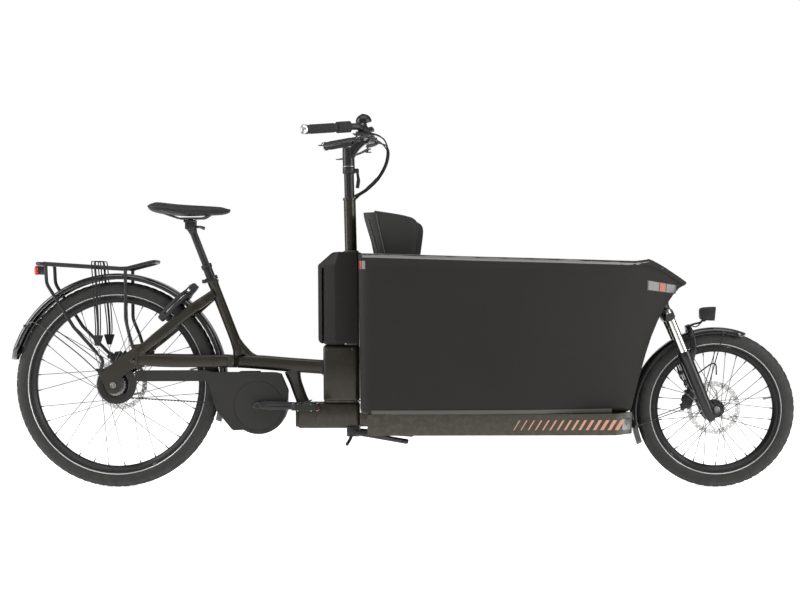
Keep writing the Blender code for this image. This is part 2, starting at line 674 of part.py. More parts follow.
def make_frame_lock(metals, root):
    """A ring lock round the rear tyre: a horseshoe case with a channel, and the shackle in it."""
    normal = LOCK_OUT.cross(Vector((0, 1, 0))).normalized()
    case = sweep("case", lock_arc(LOCK_SHACKLE_R, -55.0, 235.0, 16), box_section(0.026, 0.022, 0.004),
                 across=normal)
    crest = sweep("crest", [LOCK_MIDDLE + LOCK_OUT * (LOCK_SHACKLE_R + 0.001),
                          LOCK_MIDDLE + LOCK_OUT * (LOCK_SHACKLE_R + 0.035)],
                  box_section(0.060, 0.026, 0.005))
    case = joined(case, crest)
    channel = sweep("channel", lock_arc(LOCK_SHACKLE_R, -62.0, 74.0, 10), circle_section(0.0056, 6),
                    across=normal)
    pocket = sweep("pocket", lock_arc(LOCK_SHACKLE_R, 203.0, 242.0, 3), circle_section(0.0056, 6),
                   across=normal)
    slot = sweep("slot", lock_arc(LOCK_SHACKLE_R + 0.008, -26.0, 68.0, 7), square_section(0.0066, 0.014),
                 across=normal)
    finish(cut(case, channel, pocket, slot), "frame_lock", metals["black_plastic"], root)

    body = make_body("lock_shackle_body", LOCK_MIDDLE)
    bar = sweep("bar", lock_arc(LOCK_SHACKLE_R, -54.0, 62.0, 10), circle_section(0.0040, 6), across=normal)
    angle = math.radians(60.0)
    out = math.sin(angle) * LOCK_OUT - math.cos(angle) * Vector((0, 1, 0))
    knob = rod("knob", LOCK_MIDDLE + out * LOCK_SHACKLE_R, LOCK_MIDDLE + out * (LOCK_SHACKLE_R + 0.026),
               0.0026, 8)
    finish(joined(bar, knob), "lock_shackle", metals["steel"], body)


def make_caliper(name, centre, y, turn_degrees, ear_reach, material, body):
    """A brake caliper: a block with a slot for the disc, and ears that reach out to its mount."""
    middle = centre + Vector((0, y, 0))
    caliper = block("caliper", middle + Vector((-0.030, -0.0125, 0.073)),
                    middle + Vector((0.030, 0.0113, 0.112)),
                    0.005)
    outer = block("bolt_ears", middle + Vector((-0.042, 0.003, 0.090)),
                  middle + Vector((0.042, ear_reach, 0.104)), 0.002)
    caliper = joined(caliper, outer)
    slot = block("slot", middle + Vector((-0.05, -0.0022, 0.05)), middle + Vector((0.05, 0.0022, 0.0955)))
    cut(caliper, slot)
    turn(caliper, centre, (0, 1, 0), -turn_degrees)
    finish(caliper, name, material, body)


def make_tail_light(metals, root):
    lamp = block("tail_light", (-1.2425, -0.040, 0.7280), (-1.2205, 0.040, 0.7605), 0.005, 2)
    finish(cut(lamp, rod("room", (-1.2310, -0.1, 0.7675), (-1.2310, 0.1, 0.7675), RACK_TUBE_R + TOUCH_GAP,
                         12)),
           "tail_light", metals["red_lens"], root)


def make_luggage_strap(metals, root):
    """An elastic strap over the rack, from a hook on one side to a hook on the other."""
    top = 0.7735
    out = RACK_HALF_WIDTH + RACK_TUBE_R + 0.0045
    right = [(-1.012, -RACK_FOOT_Y - 0.004, 0.470), (-1.010, -RACK_FOOT_Y - 0.003, 0.545),
             (-1.020, -out - 0.001, 0.700), (-1.024, -out + 0.001, 0.762), (-1.025, -out + 0.012, top)]
    left = [(x, -y, z) for x, y, z in reversed(right)]
    strap = sweep("strap", right + left, box_section(0.034, 0.003, 0.0006), across=(1.0, 0.0, 0.0))
    finish(strap, "luggage_strap", metals["rubber"], root)


# ---------------------------------------------------------------- main frame
def make_main_beam():
    """The beam from yoke to column, the strut below it and the lower tube with its bracket."""
    beam = sweep("beam", [(-0.5500, 0.0, 0.4296), (-0.240, 0.0, 0.4067)], box_section(0.044, 0.048, 0.007))
    strut = sweep("strut", [(-0.356, 0.0, 0.410), (-0.312, 0.0, 0.262)], box_section(0.040, 0.042, 0.006))
    lower = block("lower", (-0.342, -0.026, 0.200),
                  (COLUMN_FRONT - 0.0005, 0.026, COLUMN_BOTTOM - TOUCH_GAP), 0.007)
    bracket = block("bracket", (STAND_PIVOT.x - 0.022, -0.030, STAND_PIVOT.z - 0.016),
                    (COLUMN_FRONT - 0.0005, 0.030, 0.206), 0.002)
    rear_end = block("rear_end", (-0.600, -0.1, 0.35), (-0.5420, 0.1, 0.50))
    front_end = block("front_end", (COLUMN_REAR - TOUCH_GAP, -0.1, 0.34), (-0.200, 0.1, 0.50))
    beam = cut(beam, rear_end, front_end)
    beam = joined(beam, strut, lower, bracket)
    shaft = rod("shaft", STAND_PIVOT - Vector((0, 0.1, 0)), STAND_PIVOT + Vector((0, 0.1, 0)),
                STAND_SHAFT_R + RUNNING_GAP, 16)
    return cut(beam, shaft)


def make_column():
    """The upright box behind the tub, the post in the battery cover and the handlebar's tube."""
    box = block("box", (COLUMN_REAR, -COLUMN_HALF_WIDTH, COLUMN_BOTTOM),
                (COLUMN_FRONT, COLUMN_HALF_WIDTH, 0.485),
                0.008)
    post = block("post", (-0.171, -0.038, 0.470), (COLUMN_FRONT - 0.001, 0.038, 0.793), 0.004)
    tube = rod("tube", column_point(0.780), column_point(0.978), COLUMN_TUBE_R, 20)
    collar = rod("collar", column_point(0.9755), column_point(0.985), COLUMN_TUBE_R + 0.0025, 20)
    column = joined(box, post, tube, collar)
    return cut(column, rod("bore", column_point(0.815), column_point(1.05), STEERING_POST_R + RUNNING_GAP,
                           24))


def make_battery(metals, root):
    pack = block("pack", (-0.246, -0.079, 0.4853), (-0.1725, 0.079, 0.745), 0.006)
    finish(pack, "battery_pack", metals["black_plastic"], root)
    outline = [(-0.126, 0.489), (-0.252, 0.489), (-0.264, 0.501), (-0.264, 0.754), (-0.2175, 0.796),
               (-0.126, 0.7995)]
    cover = plate_xz("cover", outline, -BATTERY_HALF_WIDTH, BATTERY_HALF_WIDTH)
    inside = [(-0.100, 0.470), (-0.261, 0.470), (-0.261, 0.7527), (-0.2162, 0.7930), (-0.100, 0.7968)]
    hollow = plate_xz("hollow", inside, -BATTERY_HALF_WIDTH + COVER_WALL, BATTERY_HALF_WIDTH - COVER_WALL)
    hole = rod("hole", column_point(0.770), column_point(0.850), COLUMN_TUBE_R + TOUCH_GAP, 20)
    finish(cut(cover, hollow, hole), "battery_cover", metals["tub_plastic"], root)


def make_drive_unit():
    """The motor housing that hangs under the beam, bored for the crank axle."""
    back = REAR_AXLE.x + REAR_FENDER_R + 0.006
    outline = [(back, 0.300), (back + 0.014, 0.250), (-0.530, 0.205), (-0.500, 0.190)]
    outline += [(CRANK_AXIS.x + 0.092 * math.cos(a), CRANK_AXIS.z + 0.092 * math.sin(a))
                for a in np.radians([-90.0, -65.0, -40.0, -15.0])]
    outline += [(-0.378, 0.330), (-0.402, 0.3865), (back, 0.3865)]
    housing = plate_xz("housing", outline, -BELT_Y + BELT_WIDTH / 2 + 0.0035, 0.050)
    swell = turned("swell", [(0, 0.046), (0.070, 0.046), (0.066, 0.060), (0, 0.062)], CRANK_AXIS,
                   (0, 1, 0), 24)
    lug = block("lug", (-0.540, -0.020, 0.380), (-0.470, 0.020, 0.3955), 0.002)
    housing = joined(housing, swell, lug)
    hole = rod("hole", CRANK_AXIS - Vector((0, 0.2, 0)), CRANK_AXIS + Vector((0, 0.2, 0)),
               CRANK_AXLE_R + RUNNING_GAP, 24)
    return cut(housing, hole)


def make_motor_cover():
    """The belt drive's cover: a case round the chainring, an arm over the belt and a ring."""
    outer_face = -BELT_Y - 0.0130
    inner_face = -BELT_Y + BELT_WIDTH / 2 + 0.0032
    wall = 0.0025
    reach = FRONT_PULLEY_R + BELT_THICKNESS + 0.003
    bottom = [(CRANK_AXIS.x + (reach + 0.004) * math.cos(a), CRANK_AXIS.z + (reach + 0.004) * math.sin(a))
              for a in np.radians([-120.0, -100.0, -80.0, -60.0, -40.0, -20.0])]
    outline = [(-0.640, 0.3640), (-0.637, 0.3500), (-0.612, 0.2640), (-0.556, 0.1975)]
    outline += bottom
    outline += [(-0.368, 0.3300), (-0.398, 0.3935), (-0.636, 0.3935), (-0.644, 0.4010), (-0.880, 0.4010),
                (-0.880, 0.3640)]
    cover = plate_xz("cover", outline, outer_face, inner_face)
    pocket = [(CRANK_AXIS.x + reach * math.cos(a), CRANK_AXIS.z + reach * math.sin(a))
              for a in np.radians([-120.0, -100.0, -80.0, -60.0, -40.0, -20.0])]
    inside = [(-0.637, 0.3670), (-0.634, 0.3500), (-0.609, 0.2655), (-0.553, 0.2010)]
    inside += pocket
    inside += [(-0.372, 0.3290), (-0.401, 0.3905), (-0.640, 0.3905), (-0.647, 0.3980), (-0.900, 0.3980),
               (-0.900, 0.3670)]
    hollow = plate_xz("hollow", inside, outer_face + wall, inner_face + 0.01)
    mouth = block("mouth", (-0.660, outer_face + wall + 0.0001, 0.284), (-0.590, inner_face + 0.02, 0.312))
    hole = rod("hole", CRANK_AXIS - Vector((0, 0.2, 0)), CRANK_AXIS, CRANK_AXLE_R + 0.0015, 20)
    cut(cover, hollow, mouth, hole)
    centre = REAR_AXLE + Vector((0.009, 0.0, 0.003))
    guard = ring("guard", 0.044, 0.068, outer_face - 0.0015, outer_face + 0.002, centre, (0, 1, 0), 32)
    tab = block("tab", (-0.8895, outer_face - 0.0010, 0.3650), (-0.866, outer_face + 0.0015, 0.4000))
    return joined(cover, guard, tab)


def belt_line(extra):
    """The belt's loop round the sprocket, the idler's back and the chainring, at a distance from them."""
    wheels = [(REAR_AXLE, REAR_PULLEY_R + extra),
              (IDLER_CENTRE, -(IDLER_R + TOUCH_GAP * 2 + BELT_THICKNESS) + extra),
              (CRANK_AXIS, FRONT_PULLEY_R + extra)]
    headings = []
    for (start, first), (end, second) in zip(wheels, wheels[1:] + wheels[:1]):
        gap = end - start
        length = math.hypot(gap.x, gap.z)
        headings.append(math.atan2(gap.z, gap.x) + math.asin((first - second) / length))
    points = []
    for k, (centre, radius) in enumerate(wheels):
        entry, leave = headings[k - 1], headings[k]
        if radius > 0:
            while leave < entry:
                leave += 2 * math.pi
        steps = (12, 5, 18)[k]
        for j in range(steps + 1):
            heading = entry + (leave - entry) * j / steps
            points.append((centre.x + radius * math.sin(heading), centre.z - radius * math.cos(heading)))
    return points


def make_belt():
    inner = belt_line(TOUCH_GAP * 2)
    outer = belt_line(TOUCH_GAP * 2 + BELT_THICKNESS - 0.0004)
    low, high = -BELT_Y - BELT_WIDTH / 2, -BELT_Y + BELT_WIDTH / 2
    rings = []
    for (ix, iz), (ox, oz) in zip(inner, outer):
        rings.append([Vector((ix, low, iz)), Vector((ix, high, iz)), Vector((ox, high, oz)),
                      Vector((ox, low, oz))])
    return from_rings("belt", rings, closed=True)


def make_idler():
    foot = IDLER_CENTRE - Vector((0, BELT_Y, 0))
    half = BELT_WIDTH / 2 + 0.002
    return turned("idler", [(0, -half), (0.004, -half), (IDLER_R, -half + 0.001), (IDLER_R, half - 0.001),
                  (0.004, half), (0, half)], foot, (0, 1, 0), 20)


def make_crankset(metals):
    """Axle, both arms, the chainring for the belt and the two pedal spindles."""
    body = make_body("crank_body", CRANK_AXIS)
    outer = CRANK_ARM_Y + 0.012
    axle = rod("axle", CRANK_AXIS - Vector((0, outer - 0.002, 0)),
               CRANK_AXIS + Vector((0, outer - 0.002, 0)),
               CRANK_AXLE_R, 16)
    half = BELT_WIDTH / 2 + 0.0005
    foot = CRANK_AXIS - Vector((0, BELT_Y, 0))
    chainring = ring("chainring", FRONT_PULLEY_R - 0.016, FRONT_PULLEY_R, -half, half, foot, (0, 1, 0), 28)
    spider = [chainring]
    for k in range(4):
        start = around(CRANK_AXIS, 0.004, 45.0 + k * 90.0, -BELT_Y)
        end = around(CRANK_AXIS, FRONT_PULLEY_R - 0.008, 45.0 + k * 90.0, -BELT_Y)
        spider.append(sweep("spider", [start, end], square_section(0.005, 0.016)))
    parts = []
    pedals = []
    for sign in (-1, 1):
        eye = CRANK_AXIS + Vector((-sign * CRANK_ARM, sign * (CRANK_ARM_Y + 0.006), 0))
        boss = CRANK_AXIS + Vector((0, sign * (CRANK_ARM_Y + 0.006), 0))
        back = (boss - eye).normalized() * 0.016
        path = [boss + back, boss, boss * 0.5 + eye * 0.5, eye, eye - back * 0.8]
        parts.append(sweep("arm", path, box_section(0.012, 0.030, 0.003),
                     [(1, 0.6), (1, 1.05), (0.98, 0.86), (1, 0.8), (1, 0.45)]))
        spindle_end = eye + Vector((0, sign * 0.078, 0))
        parts.append(rod("spindle", eye, spindle_end, 0.0045, 8))
        pedals.append((sign, eye))
    crank = joined(axle, *spider, *parts)
    finish(crank, "crankset", metals["black_metal"], body)
    for sign, eye in pedals:
        make_pedal(sign, eye, metals)


def make_pedal(sign, eye, metals):
    """A platform pedal that turns on its spindle."""
    name = "left" if sign > 0 else "right"
    body = make_body(name + "_pedal_body", eye)
    near = eye + Vector((0, sign * 0.0105, 0))
    far = eye + Vector((0, sign * 0.104, 0))
    low = Vector((eye.x - 0.045, min(near.y, far.y), eye.z - 0.013))
    high = Vector((eye.x + 0.045, max(near.y, far.y), eye.z + 0.013))
    pedal = block("pedal", low, high, 0.005)
    windows = []
    middle = (low.y + high.y) / 2
    for x in (-0.0225, 0.0225):
        windows.append(block("window", (eye.x + x - 0.013, middle - 0.034, eye.z - 0.1),
                             (eye.x + x + 0.013, middle + 0.034, eye.z + 0.1)))
    bore = rod("bore", near - Vector((0, sign * 0.01, 0)), eye + Vector((0, sign * 0.080, 0)),
               0.0045 + RUNNING_GAP, 16)
    finish(cut(pedal, *windows, bore), name + "_pedal", metals["black_plastic"], body)


def make_kickstand(metals):
    """A two-legged stand, folded forward under the platform."""
    body = make_body("kickstand_body", STAND_PIVOT)
    shaft = rod("shaft", STAND_PIVOT - Vector((0, 0.058, 0)), STAND_PIVOT + Vector((0, 0.058, 0)),
                STAND_SHAFT_R, 16)
    toe = STAND_TOE - STAND_PIVOT
    legs = []
    for sign in (-1, 1):
        root = STAND_PIVOT + Vector((0, sign * 0.050, 0))
        knee = STAND_PIVOT + toe * 0.30 + Vector((0, sign * 0.075, 0))
        foot = STAND_PIVOT + toe * 0.93 + Vector((0, sign * 0.150, 0))
        legs.append(sweep("leg", [root, knee, foot], circle_section(0.0085, 10)))
        legs.append(sweep("foot", [foot - toe * 0.03, foot + toe * 0.07], box_section(0.030, 0.016, 0.003)))
    lever = sweep("foot_lever", [STAND_PIVOT + Vector((0, -0.050, 0)), STAND_PIVOT + Vector((-0.008,
        -0.054, -0.022)),
                  STAND_PIVOT + Vector((-0.018, -0.072, -0.040))], circle_section(0.0055, 8))
    finish(joined(shaft, *legs, lever), "kickstand", metals["black_metal"], body)


# ---------------------------------------------------------------- platform and tub
def wheel_room(half, radius):
    return rod("wheel_room", FRONT_AXLE - Vector((0, half, 0)), FRONT_AXLE + Vector((0, half, 0)), radius,
               32)


def make_platform():
    """A tray frame: rails, a deck sheet, cross walls and a spine, cut back for the wheel."""
    front = FRONT_AXLE.x - 0.288
    low = PLATFORM_TOP - PLATFORM_HEIGHT
    w = PLATFORM_HALF_WIDTH
    outline = [(PLATFORM_REAR, -w), (front - 0.058, -w), (front, -w + 0.085), (front, w - 0.085),
               (front - 0.058, w),
               (PLATFORM_REAR, w)]
    tray = plate_xy("tray", outline, low, PLATFORM_TOP)
    r = PLATFORM_RAIL
    inside = [(PLATFORM_REAR + r, -w + r), (front - 0.058 - r * 0.4, -w + r),
              (front - r, -w + 0.085 + r * 0.4),
              (front - r, w - 0.085 - r * 0.4), (front - 0.058 - r * 0.4, w - r),
              (PLATFORM_REAR + r, w - r)]
    pocket = plate_xy("pocket", inside, low - 0.01, PLATFORM_TOP - PLATFORM_SHEET)
    passage = block("passage", (PLATFORM_REAR - 0.01, -0.190, low - 0.01),
                    (PLATFORM_REAR + r + 0.01, 0.190, 0.222))
    cut(tray, pocket, passage)
    spine = block("spine", (COLUMN_FRONT - 0.0002, -0.034, 0.206),
                  (FRONT_AXLE.x - WHEEL_ROOM - 0.004, 0.034, 0.2555), 0.003)
    ribs = [block("rib", (x - 0.008, -w + r * 0.5, 0.222),
                  (x + 0.008, w - r * 0.5, 0.2556)) for x in (0.16, 0.42)]
    joined(tray, spine, *ribs)
    return cut(tray, wheel_room(WHEEL_ROOM_HALF, WHEEL_ROOM))


def neck_line(z):
    """X of the neck tube's middle at a height."""
    foot = FRONT_AXLE.x - NECK_FOOT_BEHIND_AXLE
    head = fork_point(0.0, 0.0, HEAD_TUBE_LOW + 0.052)
    return foot + (head.x - foot) * (z - 0.255) / (head.z - 0.255)


def make_neck():
    """The neck from the platform to the head tube, bored for the fork's steerer."""
    start = Vector((neck_line(PLATFORM_TOP), 0.0, PLATFORM_TOP))
    end = fork_point(0.0, 0.0, HEAD_TUBE_LOW + 0.052)
    tube = sweep("tube", [start - (end - start) * 0.05, end],
                 box_section(NECK_HALF_WIDTH * 2, NECK_HALF_DEPTH * 2, 0.006))
    foot = block("foot", (-5, -1, -1), (5, 1, PLATFORM_TOP + TOUCH_GAP))
    cut(tube, foot)
    head = rod("head", fork_point(0, 0, HEAD_TUBE_LOW), fork_point(0, 0, HEAD_TUBE_HIGH), HEAD_TUBE_R, 20)
    bore = rod("bore", fork_point(0, 0, HEAD_TUBE_LOW - 0.05), fork_point(0, 0, HEAD_TUBE_HIGH + 0.05),
               STEERER_R + RUNNING_GAP, 20)
    return cut(joined(tube, head), bore)


def tub_nose():
    return FRONT_AXLE.x - TUB_NOSE_BEHIND_AXLE


def tub_front(level):
    """X of the tub's front at a level from 0 at the floor to 1 at the rim."""
    return tub_nose() - 0.1885 + 0.1275 * level + 0.061 * level ** 3


def rim_height(x):
    """Height of the tub's rim: nearly level, then down over the nose."""
    nose = tub_nose()
    table_x = [TUB_REAR, TUB_REAR + 0.394, nose - 0.1765, nose - 0.1315, nose]
    return float(np.interp(x, table_x, [0.787, 0.772, 0.756, 0.764, 0.690]))


TUB_STATIONS = [0.0, 0.012, 0.040, 0.14, 0.36, 0.60, 0.75, 0.8355, 0.878, 0.940, 0.985, 1.0]
TUB_WIDTH_TOP = [0.86, 0.905, 0.940, 0.970, 1.0, 0.93, 0.82, 0.725, 0.660, 0.540, 0.395, 0.315]
TUB_WIDTH_FLOOR = [0.88, 0.935, 0.975, 1.0, 1.0, 0.95, 0.87, 0.80, 0.755, 0.68, 0.61, 0.57]


def tub_ring(level, inset, height=None, proud=0.0):
    """One loop round the tub: right-hand side from back to front, then the left-hand side back again."""
    rear = TUB_REAR - 0.002 * (1 - level) + inset
    front = tub_front(level) - inset * 1.2 + proud * 0.5
    loop = []
    for share, top, floor in zip(TUB_STATIONS, TUB_WIDTH_TOP, TUB_WIDTH_FLOOR):
        x = rear + (front - rear) * share
        half = top * TUB_HALF_WIDTH * level + floor * TUB_HALF_FLOOR * (1 - level)
        half += proud - inset
        z = height(x) if height else TUB_BOTTOM + (rim_height(x) - TUB_BOTTOM) * level
        loop.append(Vector((x, -half, z)))
    return loop + [Vector((p.x, -p.y, p.z)) for p in reversed(loop)]


def tub_solid(name, rings):
    """Skin the loops; floor and top are closed with strips from side to side."""
    data = bmesh.new()
    rows = [[data.verts.new(point) for point in loop] for loop in rings]
    count = len(rows[0])
    for low, high in zip(rows, rows[1:]):
        for k in range(count):
            after = (k + 1) % count
            data.faces.new((low[k], low[after], high[after], high[k]))
    for row in (rows[0], rows[-1]):
        for k in range(count // 2 - 1):
            data.faces.new((row[k], row[k + 1], row[count - 2 - k], row[count - 1 - k]))
    return object_from(name, data)


def groove_solid(name, grow):
    """The room for the neck, the head tube and the fork crown in the tub's nose."""
    half = NECK_HALF_WIDTH + 0.024 + grow
    back = NECK_HALF_DEPTH / math.cos(0.33) + 0.006 + grow
    roof = -0.0065 - grow
    head = fork_point(-HEAD_TUBE_R - 0.006 - grow, 0.0, HEAD_TUBE_HIGH + 0.020)
    outline = [(neck_line(0.20) - back, 0.20), (neck_line(0.64) - back, 0.64), (head.x, head.z),
               (head.x, rim_height(head.x) + roof)]
    nose = tub_nose()
    for x in (nose - 0.1315, nose - 0.06, nose + 0.05):
        outline.append((x, 0.764 - 0.565 * (x - nose + 0.1315) + roof))
    outline += [(nose + 0.05, 0.20)]
    groove = plate_xz(name, outline, -half, half)
    crown = rod("crown_room", fork_point(0, 0, 0.15), fork_point(0, 0, CROWN_HIGH + 0.012 + grow),
                0.103 + grow, 20)
    wheel = wheel_room(WHEEL_ROOM_HALF + grow, WHEEL_ROOM + grow)
    return joined(groove, crown, wheel)


def make_tub():
    """The cargo tub: a thin shell with a rim band, a hooded nose and a groove for the steering head."""
    def below_rim(drop):
        return lambda x: rim_height(x) - drop

    outer = tub_solid("outer", [
        tub_ring(0.0, 0.012), tub_ring(0.022, 0.0), tub_ring(0.33, 0.0), tub_ring(0.62, 0.0),
        tub_ring(0.85, 0.0),
        tub_ring(0.965, 0.0, below_rim(RIM_BAND)), tub_ring(0.967, 0.0, below_rim(RIM_BAND - 0.001),
                                                            RIM_BAND_PROUD),
        tub_ring(0.998, 0.0, below_rim(0.002), RIM_BAND_PROUD),
        tub_ring(1.0, 0.0, None, RIM_BAND_PROUD - 0.002)])
    wall = TUB_WALL
    inner = tub_solid("inner", [
        tub_ring(0.016, wall + 0.010, lambda x: TUB_BOTTOM + wall + 0.001), tub_ring(0.040, wall),
        tub_ring(0.33, wall), tub_ring(0.62, wall), tub_ring(0.85, wall),
        tub_ring(0.985, wall + 0.001, below_rim(wall + 0.003))])
    inner = cut(inner, groove_solid("groove_walls", TUB_WALL))
    mouth_end = tub_nose() - 0.176
    rim = [p for p in tub_ring(1.0, RIM_LIP) if p.x < mouth_end - 0.01]
    half = len(rim) // 2
    rim[half:half] = [Vector((mouth_end, rim[half - 1].y * 0.95, 0.0)),
                      Vector((mouth_end, -rim[half - 1].y * 0.95, 0.0))]
    mouth = plate_xy("mouth", [(p.x, p.y) for p in rim], 0.715, 0.830)
    tub = cut(outer, inner, mouth, groove_solid("groove", 0.0))
    return tub


def make_child_seat(metals, root):
    """A seat shell in the back of the tub, with side wings, and its pad."""
    rear_low, rear_high = -0.090, -0.103
    outline = [(rear_low, 0.420), (rear_low, 0.798), (rear_high, 0.835), (rear_high, 0.905),
               (rear_high + 0.010, 0.925),
               (-0.060, 0.927), (0.040, 0.905), (0.061, 0.893), (0.082, 0.850), (0.078, 0.770),
               (0.160, 0.520),
               (0.160, 0.420)]
    shell = plate_xz("shell", outline, -0.186, 0.186)
    room = [(rear_low + 0.022, 0.447), (rear_high + 0.030, 0.800), (rear_high + 0.028, 1.0), (0.30, 1.0),
            (0.30, 0.447)]
    hollow = plate_xz("hollow", room, -0.164, 0.164)
    underneath = plate_xz("underneath", [(rear_low + 0.03, 0.30), (rear_low + 0.03, 0.425),
                                         (0.150, 0.425), (0.150, 0.30)],
                          -0.17, 0.17)
    finish(cut(shell, hollow, underneath), "child_seat", metals["seat_fabric"], root)
    pad = block("pad", (-0.064, -0.160, 0.4475), (0.155, 0.160, 0.505), 0.014, 2)
    finish(pad, "seat_pad", metals["seat_fabric"], root)


# ---------------------------------------------------------------- fork
def make_fork_crown():
    """Steerer, crown and the two stanchions."""
    steerer = rod("steerer", fork_point(0, 0, CROWN_LOW + 0.01), fork_point(0, 0, HEAD_TUBE_HIGH + 0.006),
                  STEERER_R, 16)
    cap = rod("cap", fork_point(0, 0, HEAD_TUBE_HIGH + TOUCH_GAP), fork_point(0, 0, HEAD_TUBE_HIGH + 0.007),
              HEAD_TUBE_R - 0.002, 16)
    reach = FORK_LEG_Y + STANCHION_R + 0.004
    middle = (CROWN_LOW + CROWN_HIGH) / 2
    crown = sweep("crown", [fork_point(0, -reach, middle - 0.004), fork_point(0, -0.030, middle + 0.004),
                  fork_point(0, 0.030, middle + 0.004), fork_point(0, reach, middle - 0.004)],
                  box_section(0.044, 0.040, 0.009), [(0.85, 0.9), (1, 1), (1, 1), (0.85, 0.9)],
                  across=FORK_AHEAD)
    race = rod("race", fork_point(0, 0, CROWN_HIGH - 0.010), fork_point(0, 0, HEAD_TUBE_LOW - TOUCH_GAP),
               0.020, 20)
    legs = [rod("stanchion", fork_point(0, y, 0.100), fork_point(0, y, CROWN_LOW + 0.02), STANCHION_R, 12)
            for y in (-FORK_LEG_Y, FORK_LEG_Y)]
    return joined(crown, steerer, cap, race, *legs)


def make_fork_lowers():
    """Two sliding legs, the arch that joins them and the dropouts for the axle."""
    top = CROWN_LOW - FORK_TRAVEL - STANCHION_LEFT
    legs = []
    tools = []
    for y in (-FORK_LEG_Y, FORK_LEG_Y):
        profile = [(0, -0.030), (0.012, -0.028), (LOWER_LEG_R - 0.004, 0.000), (LOWER_LEG_R, 0.090),
                   (LOWER_LEG_R, top), (0, top)]
        legs.append(turned("leg", profile, fork_point(0, y, 0), FORK_UP, 12))
        sign = math.copysign(1.0, y)
        inner = FRONT_HUB_HALF + TOUCH_GAP
        low = min(sign * inner, sign * (inner + DROPOUT_THICKNESS))
        lug = sweep("lug", [fork_point(-0.006, low + DROPOUT_THICKNESS / 2, 0.010),
                    fork_point(FORK_OFFSET + 0.014, low + DROPOUT_THICKNESS / 2, -0.002)],
                    box_section(DROPOUT_THICKNESS, 0.040, 0.002), [(1, 1.2), (1, 0.8)])
        legs.append(lug)
        tools.append(rod("bore", fork_point(0, y, 0.050), fork_point(0, y, 0.30), STANCHION_R + 0.0012, 12))
    arch_y = FORK_LEG_Y
    arch = sweep("arch", [fork_point(0.014, -arch_y, top - 0.030), fork_point(0.040, -arch_y - 0.001,
        top + 0.008),
                 fork_point(0.050, -0.048, top + 0.058), fork_point(0.050, 0, top + 0.070),
                 fork_point(0.050, 0.048, top + 0.058), fork_point(0.040, arch_y + 0.001, top + 0.008),
                 fork_point(0.014, arch_y, top - 0.030)], square_section(0.018, 0.014), across=FORK_AHEAD)
    lowers = joined(legs[0], *legs[1:], arch)
    hole = rod("hole", FRONT_AXLE - Vector((0, 0.2, 0)), FRONT_AXLE + Vector((0, 0.2, 0)),
               AXLE_R + TOUCH_GAP, 20)
    return cut(lowers, *tools, hole)


def make_headlight(metals, body):
    """A lamp ahead of the fork's arch, on a wire bracket."""
    lamp = block("lamp", FRONT_AXLE + Vector((-0.0490, -0.036, 0.2960)),
                 FRONT_AXLE + Vector((0.0025, 0.036, 0.3425)), 0.009, 2)
    stem = sweep("bracket", [fork_point(0.0605, 0.0, 0.2895), fork_point(0.085, 0.0, 0.290),
                             FRONT_AXLE + Vector((-0.0385, 0.0, 0.3120))],
                 circle_section(0.0040, 8))
    finish(joined(lamp, stem), "headlight", metals["black_plastic"], body)


def make_front_fender():
    section = fender_section(FENDER_HALF - 0.001, 0.020)
    return arc_shell("fender", FRONT_AXLE, section, 67.6, 204.8, 14,
                     lambda share: FRONT_FENDER_R + 0.0150 * max(0.0, share - 0.45) / 0.55)


def make_front_end(metals):
    steer = make_body("fork_body", fork_point(0, 0, HEAD_TUBE_LOW))
    finish(make_fork_crown(), "fork_crown", metals["black_metal"], steer)
    slide = make_body("fork_lowers_body", FORK_FOOT)
    finish(make_fork_lowers(), "fork_lowers", metals["black_metal"], slide)
    finish(make_front_fender(), "front_fender", metals["gloss_black"], slide)
    make_headlight(metals, slide)
    make_caliper("front_caliper", FRONT_AXLE, FRONT_HUB_HALF - 0.0115, 72.0,
                 FORK_LEG_Y - FRONT_HUB_HALF - 0.004, metals["black_metal"], slide)
    make_axle(FRONT_AXLE, FRONT_HUB_HALF, "front_axle", metals["black_metal"], slide)
    make_front_wheel(metals, slide)


# ---------------------------------------------------------------- handlebar
STEM_SEAT = 1.0863          # height at which the stem rests on the post's clamp
BAR_CENTRE = Vector((-0.105, 0.0, 1.185))
GRIP_INNER = Vector((-0.170, 0.262, 1.200))
GRIP_OUTER = Vector((-0.281, BAR_HALF_WIDTH, 1.188))


def grip_point(distance, sign):
    """A point along the straight end of the bar, counted from the grip's inner end."""
    along = (GRIP_OUTER - GRIP_INNER).normalized()
    point = GRIP_INNER + along * distance
    return Vector((point.x, sign * point.y, point.z))


def make_handlebar():
    """A swept-back bar with the two brake brackets clamped on it."""
    half = [Vector((-0.105, 0.0, 1.185)), Vector((-0.104, 0.040, 1.185)), Vector((-0.098, 0.085, 1.187)),
            Vector((-0.091, 0.130, 1.191)), Vector((-0.091, 0.175, 1.197)), Vector((-0.103, 0.209, 1.202)),
            grip_point(-0.046, 1), grip_point(0.124, 1)]
    path = [Vector((p.x, -p.y, p.z)) for p in reversed(half[1:])] + half
    bar = sweep("bar", path, circle_section(BAR_R, 10), across=(0.0, 0.0, 1.0))
    brackets = []
    for sign in (-1, 1):
        place = Vector((-0.099, sign * 0.199, 1.2005))
        brackets.append(sweep("clamp", [place + Vector((0.004, -sign * 0.006, 0)), place + Vector((-0.004,
            sign * 0.006, 0))],
                              circle_section(0.0165, 8), across=(0.0, 0.0, 1.0)))
        brackets.append(sweep("cylinder", [place + Vector((0.022, -sign * 0.026, -0.015)),
                              place + Vector((-0.014, sign * 0.030, -0.0185))], circle_section(0.0085, 6),
                              across=(0.0, 0.0, 1.0)))
    return joined(bar, *brackets)


